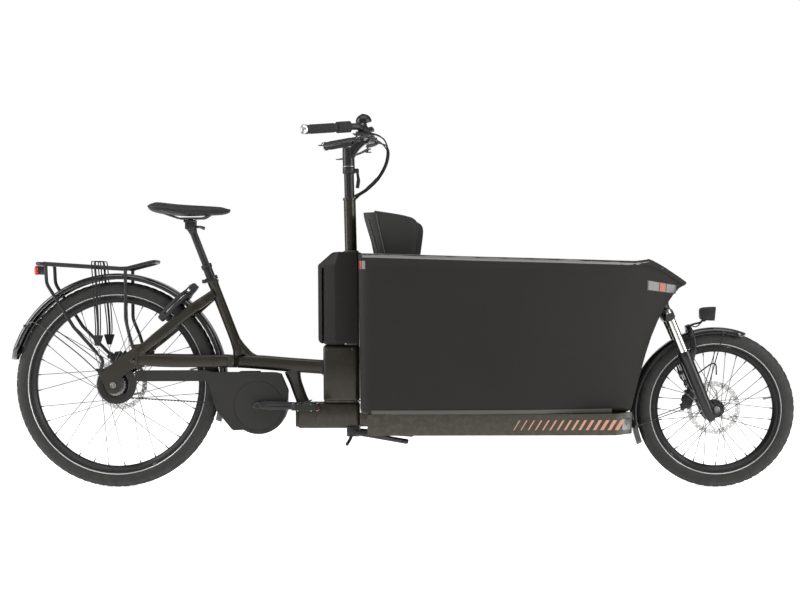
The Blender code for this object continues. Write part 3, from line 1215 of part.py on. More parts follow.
def make_brake_lever(sign, metals):
    name = "left" if sign > 0 else "right"
    pivot = Vector((-0.099 - 0.016, sign * (0.199 + 0.034), 1.2005 - 0.0325))
    body = make_body(name + "_brake_lever_body", pivot)
    path = [pivot + Vector((0.010, -sign * 0.010, 0.001)), pivot,
            pivot + Vector((-0.036, sign * 0.016, -0.014)),
            pivot + Vector((-0.082, sign * 0.040, -0.026)), pivot + Vector((-0.118, sign * 0.062, -0.029))]
    lever = sweep("lever", path, box_section(0.012, 0.0075, 0.002),
                  [(0.8, 0.9), (1, 1.2), (1, 1), (1, 0.9), (0.8, 0.8)])
    finish(lever, name + "_brake_lever", metals["black_metal"], body)


def make_grip(name, start, end, radius, sign, material, body, close):
    """A sleeve on the bar's end, closed at its outer end."""
    foot = grip_point(start, sign)
    along = grip_point(end, sign) - foot
    length = along.length
    bore = BAR_R + TOUCH_GAP
    if close:
        profile = [(bore, 0.0), (radius, 0.0), (radius, length), (radius - 0.004, length + 0.005),
                   (0.0, length + 0.005)]
        grip = turned("grip", [(0.0, 0.0)] + profile[1:], foot, along, 16)
        grip = cut(grip, rod("bore", foot - along * 0.1, grip_point(0.1245, sign), bore, 16))
    else:
        grip = ring("grip", bore, radius, 0.0, length, foot, along, 20)
    finish(grip, name, material, body)


def make_cables():
    """Hoses from both levers that meet in front of the stem and run down to the column."""
    trunk = sweep("trunk", [(-0.062, 0.0, 1.166), (-0.036, 0.0, 1.160), (-0.0275, 0.0, 1.135),
                            (-0.036, 0.0, 1.095),
                  (-0.062, 0.0, 1.050), (-0.098, 0.0, 1.015), (-0.126, 0.0, 0.9965), (-0.137, 0.0, 0.9885)],
                  circle_section(0.0062, 6))
    hoses = []
    for sign in (-1, 1):
        path = [Vector((-0.0745, sign * 0.1705, 1.1850)), Vector((-0.058, sign * 0.148, 1.180)),
                Vector((-0.044, sign * 0.100, 1.172)), Vector((-0.036, sign * 0.050, 1.164)),
                Vector((-0.030, sign * 0.016, 1.150)), Vector((-0.0285, sign * 0.002, 1.125))]
        hoses.append(sweep("hose", path, circle_section(0.0026, 5), across=(0.0, 0.0, 1.0)))
    return joined(trunk, *hoses)


def make_handlebar_parts(metals):
    column = make_body("steering_post_body", COLUMN_FOOT)
    bore = 0.0148
    low, high = column_point(0.822), column_point(STEM_SEAT - TOUCH_GAP)
    length = (high - low).length
    profile = [(bore, 0.0), (STEERING_POST_R, 0.0), (STEERING_POST_R, length - 0.019),
               (0.0215, length - 0.018),
               (0.0215, length), (bore, length)]
    post = turned("post", profile, low, COLUMN_UP, 20, closed=True)
    lug_at = column_point(STEM_SEAT - 0.010)
    lug = block("lug", lug_at + Vector((0.016, -0.011, -0.0075)), lug_at + Vector((0.034, 0.011, 0.0075)),
                0.002)
    post = joined(post, lug)
    post = cut(post, rod("bore", low - COLUMN_UP * 0.01, high + COLUMN_UP * 0.01, bore, 20))
    finish(post, "steering_post", metals["black_metal"], column)

    pin = lug_at + Vector((0.027, 0.011 + TOUCH_GAP + CAM_R, 0))
    lever_body = make_body("stem_lever_body", pin)
    cam = rod("cam", pin - Vector((0.006, 0, 0)), pin + Vector((0.006, 0, 0)), CAM_R, 12)
    handle = sweep("handle", [pin, pin + Vector((0.004, 0.001, -0.030)), pin + Vector((0.000, 0.0015,
        -0.058))],
                   square_section(0.0060, 0.012), [(1, 0.8), (1, 1), (0.8, 1.2)])
    finish(joined(cam, handle), "stem_lever", metals["black_metal"], lever_body)

    stem_body = make_body("stem_body", column_point(STEM_SEAT))
    sleeve = rod("sleeve", column_point(STEM_SEAT), column_point(1.157), 0.0205, 20)
    quill = rod("quill", column_point(0.900), column_point(STEM_SEAT + 0.005), bore - RUNNING_GAP, 16)
    arm = sweep("arm", [column_point(1.132) + Vector((0.006, 0, 0)), BAR_CENTRE + Vector((-0.002, 0, 0))],
                box_section(0.034, 0.030, 0.007))
    barrel = rod("barrel", BAR_CENTRE - Vector((0, 0.024, 0)), BAR_CENTRE + Vector((0, 0.024, 0)), 0.0185,
                 20)
    stem = joined(sleeve, quill, arm, barrel)
    bore_tool = rod("bore", BAR_CENTRE - Vector((0, 0.040, 0)), BAR_CENTRE + Vector((0, 0.040, 0)),
                    BAR_R + 0.0008, 20)
    finish(cut(stem, bore_tool), "stem", metals["black_metal"], stem_body)
    finish(make_handlebar(), "handlebar", metals["black_metal"], stem_body)
    make_grip("left_grip", -0.004, 0.126, GRIP_R, 1, metals["rubber"], stem_body, True)
    make_grip("right_grip", 0.0065, 0.126, GRIP_R, -1, metals["rubber"], stem_body, True)
    shifter_body = make_body("twist_shifter_body", grip_point(0.0, -1))
    make_grip("twist_shifter", -0.040, 0.006, 0.0198, -1, metals["rubber"], shifter_body, False)
    for sign in (-1, 1):
        make_brake_lever(sign, metals)
    make_bell_and_display(metals, stem_body)
    finish(make_cables(), "cable_bundle", metals["rubber"], stem_body)


def make_bell_and_display(metals, body):
    """The bell stands on the bar right of the stem; the display sits over the stem's clamp."""
    place = Vector((-0.091, -0.150, 1.1937))
    outer = BAR_R + 0.0045
    band = ring("band", BAR_R + 0.0018, outer, -0.006, 0.006, place, (0.0, 1.0, -0.12), 12)
    pillar = rod("pillar", place + Vector((0, 0, outer - 0.001)), place + Vector((-0.004, 0, 0.034)),
                 0.006, 10)
    top = place + Vector((-0.006, 0, 0.032))
    dome = turned("dome", [(0, 0), (0.026, 0.0), (0.0265, 0.006), (0.021, 0.019), (0.011, 0.0268),
                           (0, 0.029)], top,
                  (-0.15, 0, 1), 12)
    finish(joined(band, pillar, dome), "bell", metals["steel"], body)
    pivot = place + Vector((-0.0155, 0, 0.0240))
    lever_body = make_body("bell_lever_body", pivot)
    thumb = sweep("thumb", [pivot, pivot + Vector((-0.018, -0.005, -0.001)),
                            pivot + Vector((-0.034, -0.007, -0.005))],
                  square_section(0.009, 0.004))
    finish(thumb, "bell_lever", metals["black_plastic"], lever_body)

    centre = BAR_CENTRE + Vector((0.004, 0, 0.0285))
    screen = block("display", centre - Vector((0.026, 0.034, 0.0068)),
                   centre + Vector((0.026, 0.034, 0.007)), 0.003)
    turn(screen, centre, (0, 1, 0), -12.0)
    finish(screen, "display", metals["black_plastic"], body)


# ---------------------------------------------------------------- the whole bicycle
def clear_scene():
    for old in list(bpy.data.objects):
        bpy.data.objects.remove(old, do_unlink=True)


def make_materials():
    return {
        "frame": make_material("frame_paint", (0.045, 0.042, 0.036), 0.38, 0.35),
        "platform": make_material("platform_paint", (0.075, 0.072, 0.062), 0.42, 0.35),
        "tub_plastic": make_material("tub_plastic", (0.030, 0.029, 0.027), 0.62),
        "black_plastic": make_material("black_plastic", (0.020, 0.020, 0.021), 0.50),
        "gloss_black": make_material("gloss_black", (0.012, 0.012, 0.013), 0.22),
        "black_metal": make_material("black_metal", (0.022, 0.022, 0.023), 0.36, 0.6),
        "steel": make_material("steel", (0.62, 0.62, 0.60), 0.30, 1.0),
        "rim": make_material("rim_alloy", (0.030, 0.030, 0.031), 0.34, 0.7),
        "hub": make_material("hub_alloy", (0.060, 0.060, 0.062), 0.34, 0.8),
        "tyre": make_material("tyre", (0.045, 0.045, 0.046), 0.82),
        "rubber": make_material("rubber", (0.025, 0.025, 0.026), 0.75),
        "saddle": make_material("saddle_cover", (0.022, 0.022, 0.023), 0.55),
        "seat_fabric": make_material("seat_fabric", (0.050, 0.050, 0.052), 0.85),
        "red_lens": make_material("red_lens", (0.45, 0.02, 0.02), 0.20),
    }


def main():
    clear_scene()
    metals = make_materials()
    root = make_body("frame_body")
    finish(make_rear_triangle(), "rear_triangle", metals["frame"], root)
    finish(make_main_beam(), "main_beam", metals["frame"], root)
    finish(make_column(), "column_frame", metals["frame"], root)
    finish(make_platform(), "cargo_platform", metals["platform"], root)
    finish(make_neck(), "front_neck", metals["frame"], root)
    make_seat_parts(metals, root)
    make_battery(metals, root)
    finish(make_drive_unit(), "drive_unit", metals["black_metal"], root)
    finish(make_motor_cover(), "motor_cover", metals["black_plastic"], root)
    finish(make_belt(), "drive_belt", metals["rubber"], root)
    idler = make_body("belt_idler_body", IDLER_CENTRE)
    finish(make_idler(), "belt_idler", metals["black_plastic"], idler)
    make_crankset(metals)
    make_kickstand(metals)
    finish(make_rear_fender(), "rear_fender", metals["gloss_black"], root)
    finish(make_rack(), "luggage_rack", metals["black_metal"], root)
    make_tail_light(metals, root)
    make_luggage_strap(metals, root)
    make_frame_lock(metals, root)
    make_caliper("rear_caliper", REAR_AXLE, REAR_HUB_HALF - 0.015, 6.0, CALIPER_EAR,
                 metals["black_metal"], root)
    make_axle(REAR_AXLE, REAR_HUB_HALF, "rear_axle", metals["black_metal"], root)
    make_rear_wheel(metals)
    finish(make_tub(), "cargo_tub", metals["tub_plastic"], root)
    make_child_seat(metals, root)
    make_front_end(metals)
    make_handlebar_parts(metals)


main()
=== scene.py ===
import json
import math

import bmesh
import bpy
from mathutils import Matrix, Vector


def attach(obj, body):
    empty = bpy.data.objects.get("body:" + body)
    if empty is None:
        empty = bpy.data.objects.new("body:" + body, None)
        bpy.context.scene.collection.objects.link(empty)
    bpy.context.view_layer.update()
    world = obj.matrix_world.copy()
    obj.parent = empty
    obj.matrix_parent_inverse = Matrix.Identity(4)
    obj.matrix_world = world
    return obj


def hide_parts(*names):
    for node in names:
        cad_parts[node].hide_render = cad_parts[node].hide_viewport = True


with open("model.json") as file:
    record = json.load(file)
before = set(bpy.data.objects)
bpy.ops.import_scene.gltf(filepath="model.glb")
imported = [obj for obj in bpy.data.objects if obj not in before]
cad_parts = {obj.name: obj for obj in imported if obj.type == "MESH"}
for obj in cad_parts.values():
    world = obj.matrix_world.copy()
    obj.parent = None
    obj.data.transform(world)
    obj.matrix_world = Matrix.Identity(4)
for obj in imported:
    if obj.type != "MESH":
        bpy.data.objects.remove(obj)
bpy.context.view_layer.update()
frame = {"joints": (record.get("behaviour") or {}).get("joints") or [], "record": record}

# places that the frame gives: each joint's point, and the ends of a few nodes
jointAt = {j["name"]: Vector(j["pos_m"]) for j in frame["joints"] if "pos_m" in j}
jointAxis = {j["name"]: Vector(j["axis"]).normalized() for j in frame["joints"]}
rearAxle = jointAt["rear_wheel_spin"]
frontAxle = jointAt["front_wheel_spin"]
crankAxis = jointAt["crank_spin"]
forkUp = jointAxis["fork_steer"]
forkAhead = Vector((forkUp.z, 0, -forkUp.x))
forkFoot = jointAt["fork_steer"] - forkUp * 0.386
seatUp = jointAxis["seatpost_height"]
seatTop = Vector((-0.634, 0, 0.705))
columnUp = jointAxis["handlebar_steer"]
columnFoot = jointAt["handlebar_steer"]
left = Vector((0, 1, 0))
up = Vector((0, 0, 1))


def forkPoint(ahead, y, along):
    return forkFoot + forkAhead * ahead + left * y + forkUp * along


def seatPoint(z, back=0.0):
    return seatTop + seatUp * ((z - seatTop.z) / seatUp.z) + Vector((-seatUp.z, 0, seatUp.x)) * back


def columnPoint(z):
    return columnFoot + columnUp * ((z - columnFoot.z) / columnUp.z)


def aroundAxle(centre, radius, degrees, y=0.0):
    angle = math.radians(degrees)
    return centre + Vector((radius * math.cos(angle), y, radius * math.sin(angle)))


def alone():
    bpy.ops.object.select_all(action="DESELECT")


def pick(piece):
    alone()
    piece.select_set(True)
    bpy.context.view_layer.objects.active = piece
    return piece


def edit(piece):
    pick(piece)
    bpy.ops.object.mode_set(mode="EDIT")
    return bmesh.from_edit_mesh(piece.data)


def done():
    bpy.ops.object.mode_set(mode="OBJECT")


def named(piece, name):
    piece.name = name
    piece.data.name = name
    return piece


def settle():
    # the place goes into the mesh, so the object ends at the origin, unturned
    bpy.ops.object.transform_apply(location=True, rotation=True, scale=True)


def tidyMesh(piece, near=1e-5):
    edit(piece)
    bpy.ops.mesh.select_all(action="SELECT")
    bpy.ops.mesh.remove_doubles(threshold=near)
    bpy.ops.mesh.normals_make_consistent(inside=False)
    done()
    return piece


def smooth(piece, degrees=38):
    pick(piece)
    bpy.ops.object.shade_smooth_by_angle(angle=math.radians(degrees))
    return piece


def modify(piece, kind, **settings):
    pick(piece)
    bpy.ops.object.modifier_add(type=kind)
    modifier = piece.modifiers[-1]
    for name, value in settings.items():
        setattr(modifier, name, value)
    bpy.ops.object.modifier_apply(modifier=modifier.name)
    return piece


def softEdges(piece, width, segments=2, degrees=32):
    modify(piece, "BEVEL", width=width, segments=segments, limit_method="ANGLE",
        angle_limit=math.radians(degrees), use_clamp_overlap=True)
    return smooth(piece)


def placed(piece, points):
    for vertex, point in zip(piece.data.vertices, points):
        vertex.co = point


def box(name, low, high, bevel=0.0, segments=2):
    # a cube at its size and place, with its edges rounded
    alone()
    low, high = Vector(low), Vector(high)
    bpy.ops.mesh.primitive_cube_add(size=1, location=(low + high) / 2)
    piece = named(bpy.context.object, name)
    piece.scale = high - low
    settle()
    if bevel:
        edit(piece)
        bpy.ops.mesh.select_all(action="SELECT")
        bpy.ops.mesh.bevel(offset=bevel, segments=segments, affect="EDGES")
        done()
    return smooth(piece)


def outlineRing(points):
    # a circle whose vertices are then put at the outline's points
    alone()
    bpy.ops.mesh.primitive_circle_add(vertices=len(points), radius=1)
    piece = bpy.context.object
    placed(piece, points)
    return piece


def plate(name, points, depth, bevel=0.0, segments=2):
    # an outline filled and extruded by a vector
    piece = named(outlineRing([Vector(p) for p in points]), name)
    edit(piece)
    bpy.ops.mesh.select_all(action="SELECT")
    bpy.ops.mesh.edge_face_add()
    bpy.ops.mesh.extrude_region_move(TRANSFORM_OT_translate={"value": tuple(depth)})
    bpy.ops.mesh.select_all(action="SELECT")
    bpy.ops.mesh.normals_make_consistent(inside=False)
    done()
    if bevel:
        softEdges(piece, bevel, segments)
    return smooth(piece)


def sidePlate(name, outline, yLow, yHigh, bevel=0.0, segments=2):
    return plate(name, [(x, yLow, z) for x, z in outline], (0, yHigh - yLow, 0), bevel, segments)


def turned(name, profile, foot, axis, steps=48, closed=False, angle=360.0):
    # a profile of (radius, height), drawn beside the axis and spun round it
    axis = Vector(axis).normalized()
    out = axis.orthogonal().normalized() if abs(axis.y) < 0.99 else Vector((0, 0, 1))
    foot = Vector(foot)
    piece = named(outlineRing([foot + out * radius + axis * height for radius, height in profile]), name)
    mesh = edit(piece)
    bpy.ops.mesh.select_all(action="DESELECT")
    if not closed:
        mesh.edges.ensure_lookup_table()
        ends = {0, len(profile) - 1}
        for edge in mesh.edges:
            if {v.index for v in edge.verts} == ends:
                edge.select_set(True)
        bpy.ops.mesh.delete(type="EDGE")
    bpy.ops.mesh.select_all(action="SELECT")
    bpy.ops.mesh.spin(steps=steps, angle=math.radians(angle), center=foot, axis=axis)
    done()
    tidyMesh(piece, 2e-6)
    return smooth(piece)


def ringOf(name, inner, outer, low, high, foot, axis, steps=48, bevel=0.0):
    b = min(bevel, (outer - inner) * 0.45, (high - low) * 0.45)
    if b <= 0:
        profile = [(inner, low), (outer, low), (outer, high), (inner, high)]
    else:
        profile = [(inner, low + b), (inner + b, low), (outer - b, low), (outer, low + b),
            (outer, high - b), (outer - b, high), (inner + b, high), (inner, high - b)]
    return turned(name, profile, foot, axis, steps, closed=True)


def disc(name, radius, low, high, foot, axis, steps=32, bevel=0.0005, endRadius=None):
    top = radius if endRadius is None else endRadius
    profile = [(0, low), (radius - bevel, low), (radius, low + bevel), (top, high - bevel),
        (top - bevel, high), (0, high)]
    return turned(name, profile, foot, axis, steps)


def sheetOf(name, rings, round=True, closed=False, caps=True):
    # a grid primitive wrapped into a skin: one row of the grid for each ring
    rows, columns = len(rings), len(rings[0])
    alone()
    bpy.ops.mesh.primitive_grid_add(x_subdivisions=columns - 1 + (1 if round else 0),
        y_subdivisions=rows - 1 + (1 if closed else 0))
    piece = named(bpy.context.object, name)
    points = []
    for ring in list(rings) + ([rings[0]] if closed else []):
        points += list(ring) + ([ring[0]] if round else [])
    placed(piece, points)
    tidyMesh(piece, 2e-6)
    if caps and not closed:
        edit(piece)
        bpy.ops.mesh.select_all(action="DESELECT")
        bpy.ops.mesh.select_mode(type="EDGE")
        bpy.ops.mesh.select_non_manifold()
        bpy.ops.mesh.edge_face_add()
        bpy.ops.mesh.select_mode(type="VERT")
        bpy.ops.mesh.select_all(action="SELECT")
        bpy.ops.mesh.normals_make_consistent(inside=False)
        done()
    return piece


def rounded(points, radius, steps=6):
    # the corners of a route of straight runs, made arcs
    points = [Vector(p) for p in points]
    route = [points[0]]
    for before, corner, after in zip(points, points[1:], points[2:]):
        a, b = (before - corner), (after - corner)
        angle = a.angle(b)
        if math.pi - angle < 0.02:
            route.append(corner)
            continue
        reach = min(radius / math.tan(angle / 2), a.length * 0.48, b.length * 0.48)
        start, end = corner + a.normalized() * reach, corner + b.normalized() * reach
        for k in range(steps + 1):
            t = k / steps
            route.append(start * (1 - t) ** 2 + corner * 2 * t * (1 - t) + end * t * t)
    return route + [points[-1]]


def smoothRoute(points, steps=8):
    # a smooth curve through the points
    points = [Vector(p) for p in points]
    route = []
    for k in range(len(points) - 1):
        a, b = points[k], points[k + 1]
        before = points[k - 1] if k else a * 2 - b
        after = points[k + 2] if k + 2 < len(points) else b * 2 - a
        for j in range(steps):
            t = j / steps
            route.append(0.5 * ((2 * a) + (b - before) * t + (2 * before - 5 * a + 4 * b - after) * t * t
                + (3 * a - before - 3 * b + after) * t ** 3))
    return route + [points[-1]]


def tube(name, route, radius, sides=12, radii=None):
    # a curve with a round bevel, made a mesh, its open ends filled
    alone()
    bpy.ops.curve.primitive_nurbs_path_add()
    curve = named(bpy.context.object, name)
    curve.location = (0, 0, 0)
    curve.data.splines.clear()
    line = curve.data.splines.new("POLY")
    line.points.add(len(route) - 1)
    for k, (place, point) in enumerate(zip(line.points, route)):
        place.co = (*point, 1)
        place.radius = radii[k] if radii else 1.0
    curve.data.dimensions = "3D"
    curve.data.bevel_depth = radius
    curve.data.bevel_resolution = max(sides // 4 - 1, 0)
    curve.data.use_fill_caps = True
    bpy.ops.object.convert(target="MESH")
    return smooth(tidyMesh(bpy.context.object, 1e-6), 50)


def roundSection(width, height, corner, steps=3):
    # a rectangle with round corners, as (across, out) pairs
    w, h = width / 2, height / 2
    corner = min(corner, w * 0.98, h * 0.98)
    section = []
    for cx, cy, start in ((w - corner, h - corner, 0), (-w + corner, h - corner, 90),
            (-w + corner, -h + corner, 180), (w - corner, -h + corner, 270)):
        for k in range(steps + 1):
            a = math.radians(start + 90 * k / steps)
            section.append((cx + corner * math.cos(a), cy + corner * math.sin(a)))
    return section


def swept(name, route, section, grow=None, across=(0, 1, 0), degrees=40):
    # a section carried along a route; grow gives its (width, height) share at each point
    route = [Vector(p) for p in route]
    across = Vector(across)
    rings = []
    last = len(route) - 1
    lengths = [0.0]
    for a, b in zip(route, route[1:]):
        lengths.append(lengths[-1] + (b - a).length)
    for k, point in enumerate(route):
        along = (route[min(k + 1, last)] - route[max(k - 1, 0)]).normalized()
        wide = (across - along * across.dot(along)).normalized()
        out = along.cross(wide)
        share = lengths[k] / lengths[-1]
        w, h = spread(grow, share) if grow else (1, 1)
        rings.append([point + wide * (u * w) + out * (v * h) for u, v in section])
    return smooth(sheetOf(name, rings), degrees)


def spread(stops, share):
    # values at evenly spaced stops, eased between them
    place = share * (len(stops) - 1)
    k = min(int(place), len(stops) - 2)
    t = place - k
    t = t * t * (3 - 2 * t)
    return tuple(a + (b - a) * t for a, b in zip(stops[k], stops[k + 1]))


def interpolate(x, table):
    for (xa, ya), (xb, yb) in zip(table, table[1:]):
        if x <= xb:
            return ya + (yb - ya) * max(0.0, min(1.0, (x - xa) / (xb - xa)))
    return table[-1][1]


def joined(name, *pieces):
    alone()
    for piece in pieces:
        piece.select_set(True)
    bpy.context.view_layer.objects.active = pieces[0]
    bpy.ops.object.join()
    return named(bpy.context.object, name)


def copied(piece, name, matrix=None):
    pick(piece)
    bpy.ops.object.duplicate(linked=False)
    twin = named(bpy.context.object, name)
    if matrix is not None:
        twin.data.transform(matrix)
    return twin


def mirrored(piece, name):
    twin = copied(piece, name, Matrix.Diagonal((1, -1, 1, 1)))
    edit(twin)
    bpy.ops.mesh.select_all(action="SELECT")
    bpy.ops.mesh.flip_normals()
    done()
    return twin


def around(piece, count, centre, axis, angle=360.0):
    # the same shape repeated round an axis, in one piece
    edit(piece)
    bpy.ops.mesh.select_all(action="SELECT")
    share = (count - 1) / count if angle == 360.0 else 1.0
    bpy.ops.mesh.spin(steps=count - 1, dupli=True, angle=math.radians(angle * share), center=centre,
        axis=axis)
    done()
    return piece


def turnedBy(piece, pivot, axis, degrees):
    pivot = Vector(pivot)
    piece.data.transform(Matrix.Translation(pivot) @ Matrix.Rotation(math.radians(degrees), 4,
        Vector(axis)) @ Matrix.Translation(-pivot))
    return piece


def cutBy(piece, *tools):
    for tool in tools:
        modify(piece, "BOOLEAN", operation="DIFFERENCE", solver="EXACT", object=tool)
        bpy.data.objects.remove(tool)
    return smooth(piece)


def show(piece, look, body, nodeNames=(), slot=None):
    # its finish, the body that it rides on and the CAD nodes that it stands for
    if isinstance(look, str):
        look = looks[look]
    if look is not None:
        piece.data.materials.clear()
        piece.data.materials.append(look)
    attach(piece, body)
    nodeNames = [nodeNames] if isinstance(nodeNames, str) else list(nodeNames)
    if nodeNames:
        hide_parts(*nodeNames)
    for node in nodeNames:
        slot = slot or slotOf[node]
    return piece


slotOf = {part["node"]: part["material_slot"] for part in frame["record"]["subparts"]}

class Field:
    # a socket that Python's own maths adds nodes to
    def __init__(self, look, socket):
        self.look = look
        self.socket = socket

    def __add__(self, other):
        return self.look.maths("ADD", self, other)

    def __sub__(self, other):
        return self.look.maths("SUBTRACT", self, other)

    def __rsub__(self, other):
        return self.look.maths("SUBTRACT", other, self)

    def __mul__(self, other):
        return self.look.maths("MULTIPLY", self, other)

    def __truediv__(self, other):
        return self.look.maths("DIVIDE", self, other)

    def __pow__(self, other):
        return self.look.maths("POWER", self, other)

    def __gt__(self, other):
        return self.look.maths("GREATER_THAN", self, other)

    def __lt__(self, other):
        return self.look.maths("LESS_THAN", self, other)

    __radd__ = __add__
    __rmul__ = __mul__


class Look:
    def __init__(self, name, **shader):
        self.material = bpy.data.materials.new(name)
        self.material.use_nodes = True
        self.tree = self.material.node_tree
        self.shader = self.tree.nodes["Principled BSDF"]
        for key, value in shader.items():
            self.shader.inputs[socketNames[key]].default_value = (*value, 1) if key in ("colour",
                "glow") else value
        self.shader.inputs["Coat IOR"].default_value = 1.32
        self.place = self.add("ShaderNodeTexCoord").outputs["Object"]

    def add(self, kind, settings=None, inputs=None):
        made = self.tree.nodes.new(kind)
        for key, value in (settings or {}).items():
            if key == "stops":
                ramp = made.color_ramp.elements
                while len(ramp) < len(value):
                    ramp.new(1.0)
                for stop, (position, colour) in zip(ramp, value):
                    stop.position = position
                    stop.color = (*colour, 1) if isinstance(colour, tuple) else (colour, colour, colour,
                        1)
            else:
                setattr(made, key, value)
        for key, value in (inputs or {}).items():
            self.feed(made.inputs[key], value)
        return made

    def feed(self, socket, value):
        if isinstance(value, Field):
            value = value.socket
        if isinstance(value, bpy.types.NodeSocket):
            self.tree.links.new(value, socket)
        elif isinstance(value, tuple) and len(value) == 3 and socket.type == "RGBA":
            socket.default_value = (*value, 1)
        else:
            socket.default_value = value

    def maths(self, operation, first, second=0.0):
        return Field(self, self.add("ShaderNodeMath", {"operation": operation},
            {0: first, 1: second}).outputs[0])

    def clamp(self, value):
        node = self.add("ShaderNodeMath", {"operation": "ADD", "use_clamp": True}, {0: value, 1: 0.0})
        return Field(self, node.outputs[0])

    def stretched(self, scale=(1, 1, 1), turn=(0, 0, 0), move=(0, 0, 0), source=None):
        node = self.add("ShaderNodeMapping", None, {"Vector": source or self.place, "Scale": scale,
            "Rotation": turn, "Location": move})
        return node.outputs[0]

    def axis(self, letter, source=None):
        node = self.add("ShaderNodeSeparateXYZ", None, {0: source or self.place})
        return Field(self, node.outputs["XYZ".index(letter)])

    def noise(self, scale, detail=2.0, rough=0.5, source=None, distortion=0.0):
        node = self.add("ShaderNodeTexNoise", None, {"Vector": source or self.place, "Scale": scale,
            "Detail": detail, "Roughness": rough, "Distortion": distortion})
        return Field(self, node.outputs[0])

    def cells(self, scale, source=None, feature="F1", output="Distance"):
        node = self.add("ShaderNodeTexVoronoi", {"feature": feature}, {"Vector": source or self.place,
            "Scale": scale})
        return Field(self, node.outputs[output])

    def ramp(self, value, *stops):
        node = self.add("ShaderNodeValToRGB", {"stops": stops}, {0: value})
        return Field(self, node.outputs[0])

    def blend(self, factor, first, second):
        node = self.add("ShaderNodeMix", {"data_type": "RGBA"}, {0: factor, 6: first, 7: second})
        return Field(self, node.outputs[2])

    def bump(self, height, strength=0.3, distance=0.001, under=None):
        inputs = {"Height": height, "Strength": strength, "Distance": distance}
        if under is not None:
            inputs["Normal"] = under
        return Field(self, self.add("ShaderNodeBump", None, inputs).outputs[0])

    def edges(self):
        # 1 along worn convex edges
        node = self.add("ShaderNodeNewGeometry")
        return self.ramp(Field(self, node.outputs["Pointiness"]), (0.52, 0.0), (0.6, 1.0))

    def finish(self, **fields):
        for key, value in fields.items():
            self.feed(self.shader.inputs[socketNames[key]], value)
        return self.material


socketNames = {"colour": "Base Color", "metal": "Metallic", "rough": "Roughness", "normal": "Normal",
    "coat": "Coat Weight", "coatRough": "Coat Roughness", "sheen": "Sheen Weight",
    "sheenRough": "Sheen Roughness", "glow": "Emission Color", "glowStrength": "Emission Strength",
    "alpha": "Alpha", "specular": "Specular IOR Level", "ior": "IOR", "through": "Transmission Weight",
    "aniso": "Anisotropic", "coatIor": "Coat IOR"}

paintColours = {"frame": (0.022, 0.02, 0.0155), "frameWarm": (0.034, 0.029, 0.02),
    "rail": (0.032, 0.029, 0.023), "railWarm": (0.046, 0.041, 0.03), "dust": (0.16, 0.14, 0.11)}


def paintLook(name, deep, warm, flake=0.55):
    # metallic paint under a clear coat: fine flakes, slow drift, orange peel and a little dust low down
    look = Look(name, coatRough=0.12, specular=0.25)
    flakes = look.cells(2600, output="Color")
    drift = look.noise(5.0, 3)
    glint = look.ramp(flakes, (0.35, 0.0), (0.95, 1.0))
    colour = look.blend(drift * 0.6 + glint * 0.35, deep, warm)
    low = look.clamp((0.3 - look.axis("Z")) * 4.0) * look.noise(38, 4) * 0.32
    rubbed = look.edges() * look.ramp(look.noise(60, 4), (0.45, 0.0), (0.72, 1.0)) * 0.35
    colour = look.blend(low + rubbed, colour, paintColours["dust"])
    peel = look.bump(look.noise(420, 2) + look.noise(90, 2) * 0.6, 0.1, 0.0006)
    rough = look.noise(14, 3) * 0.1 + glint * -0.05 + low * 0.5 + 0.34
    return look.finish(colour=colour, metal=flake - low, rough=rough, coat=0.55 - low, normal=peel)


def plasticLook(name, colour, rough=0.5, grain=1200.0, depth=0.25, scuff=0.5, coat=0.0, specular=0.2):
    # moulded plastic: a leather-like grain, faint flow clouds and rubbed scuffs
    look = Look(name, specular=specular, coatRough=0.25)
    pale = tuple(min(1, c * 1.55 + 0.012) for c in colour)
    clouds = look.noise(3.2, 4, 0.55)
    fine = look.noise(grain * 0.35, 3)
    grainField = look.cells(grain, feature="SMOOTH_F1") * 0.7 + fine * 0.5
    streaks = look.noise(18, 6, 0.62, look.stretched((1, 1, 6), (0, 0.5, 0)))
    scuffed = look.ramp(streaks, (0.6, 0.0), (0.76, 1.0)) * scuff * 0.5 + look.edges() * 0.25 * scuff
    shade = look.blend(clouds * 0.35 + fine * 0.25 + scuffed * 0.6, colour, pale)
    return look.finish(colour=shade, rough=clouds * 0.1 + fine * 0.06 - scuffed * 0.1 + (rough - 0.08),
        normal=look.bump(grainField, depth, 0.0005), coat=coat)


def metalLook(name, colour, rough=0.32, metal=0.9, brushed=(1, 1, 1), fineness=160.0, depth=0.08,
        wear=0.5, bright=None):
    # anodised or bare metal: brushing along one way, blotches and bright rubbed edges
    look = Look(name, specular=0.5, coatRough=0.2)
    bright = bright or tuple(min(1, c * 2.2 + 0.05) for c in colour)
    lines = look.noise(fineness, 4, 0.6, look.stretched(brushed))
    blotch = look.noise(9, 3)
    worn = look.edges() * look.ramp(look.noise(120, 3), (0.38, 0.0), (0.66, 1.0)) * wear
    shade = look.blend(lines * 0.25 + blotch * 0.15, colour,
        tuple(min(1, c * 1.35 + 0.006) for c in colour))
    shade = look.blend(worn, shade, bright)
    return look.finish(colour=shade, metal=metal,
        rough=lines * 0.12 + blotch * 0.1 - worn * 0.1 + (rough - 0.08),
        normal=look.bump(lines + look.noise(900, 2) * 0.5, depth, 0.0004))


def glossLook(name, colour, dusty=0.15):
    # polished plastic: clear top, hairline swirls and a film of dust
    look = Look(name, coatRough=0.06, specular=0.5)
    swirls = look.noise(55, 5, 0.7, None, 1.5)
    film = look.ramp(look.noise(7, 5, 0.6), (0.4, 0.0), (0.75, 1.0)) * dusty
    shade = look.blend(film * 0.35, colour, (0.11, 0.105, 0.1))
    return look.finish(colour=shade, rough=swirls * 0.08 + film * 0.3 + 0.12, coat=0.8 - film,
        normal=look.bump(look.noise(30, 2) + swirls * 0.08, 0.05, 0.0005))


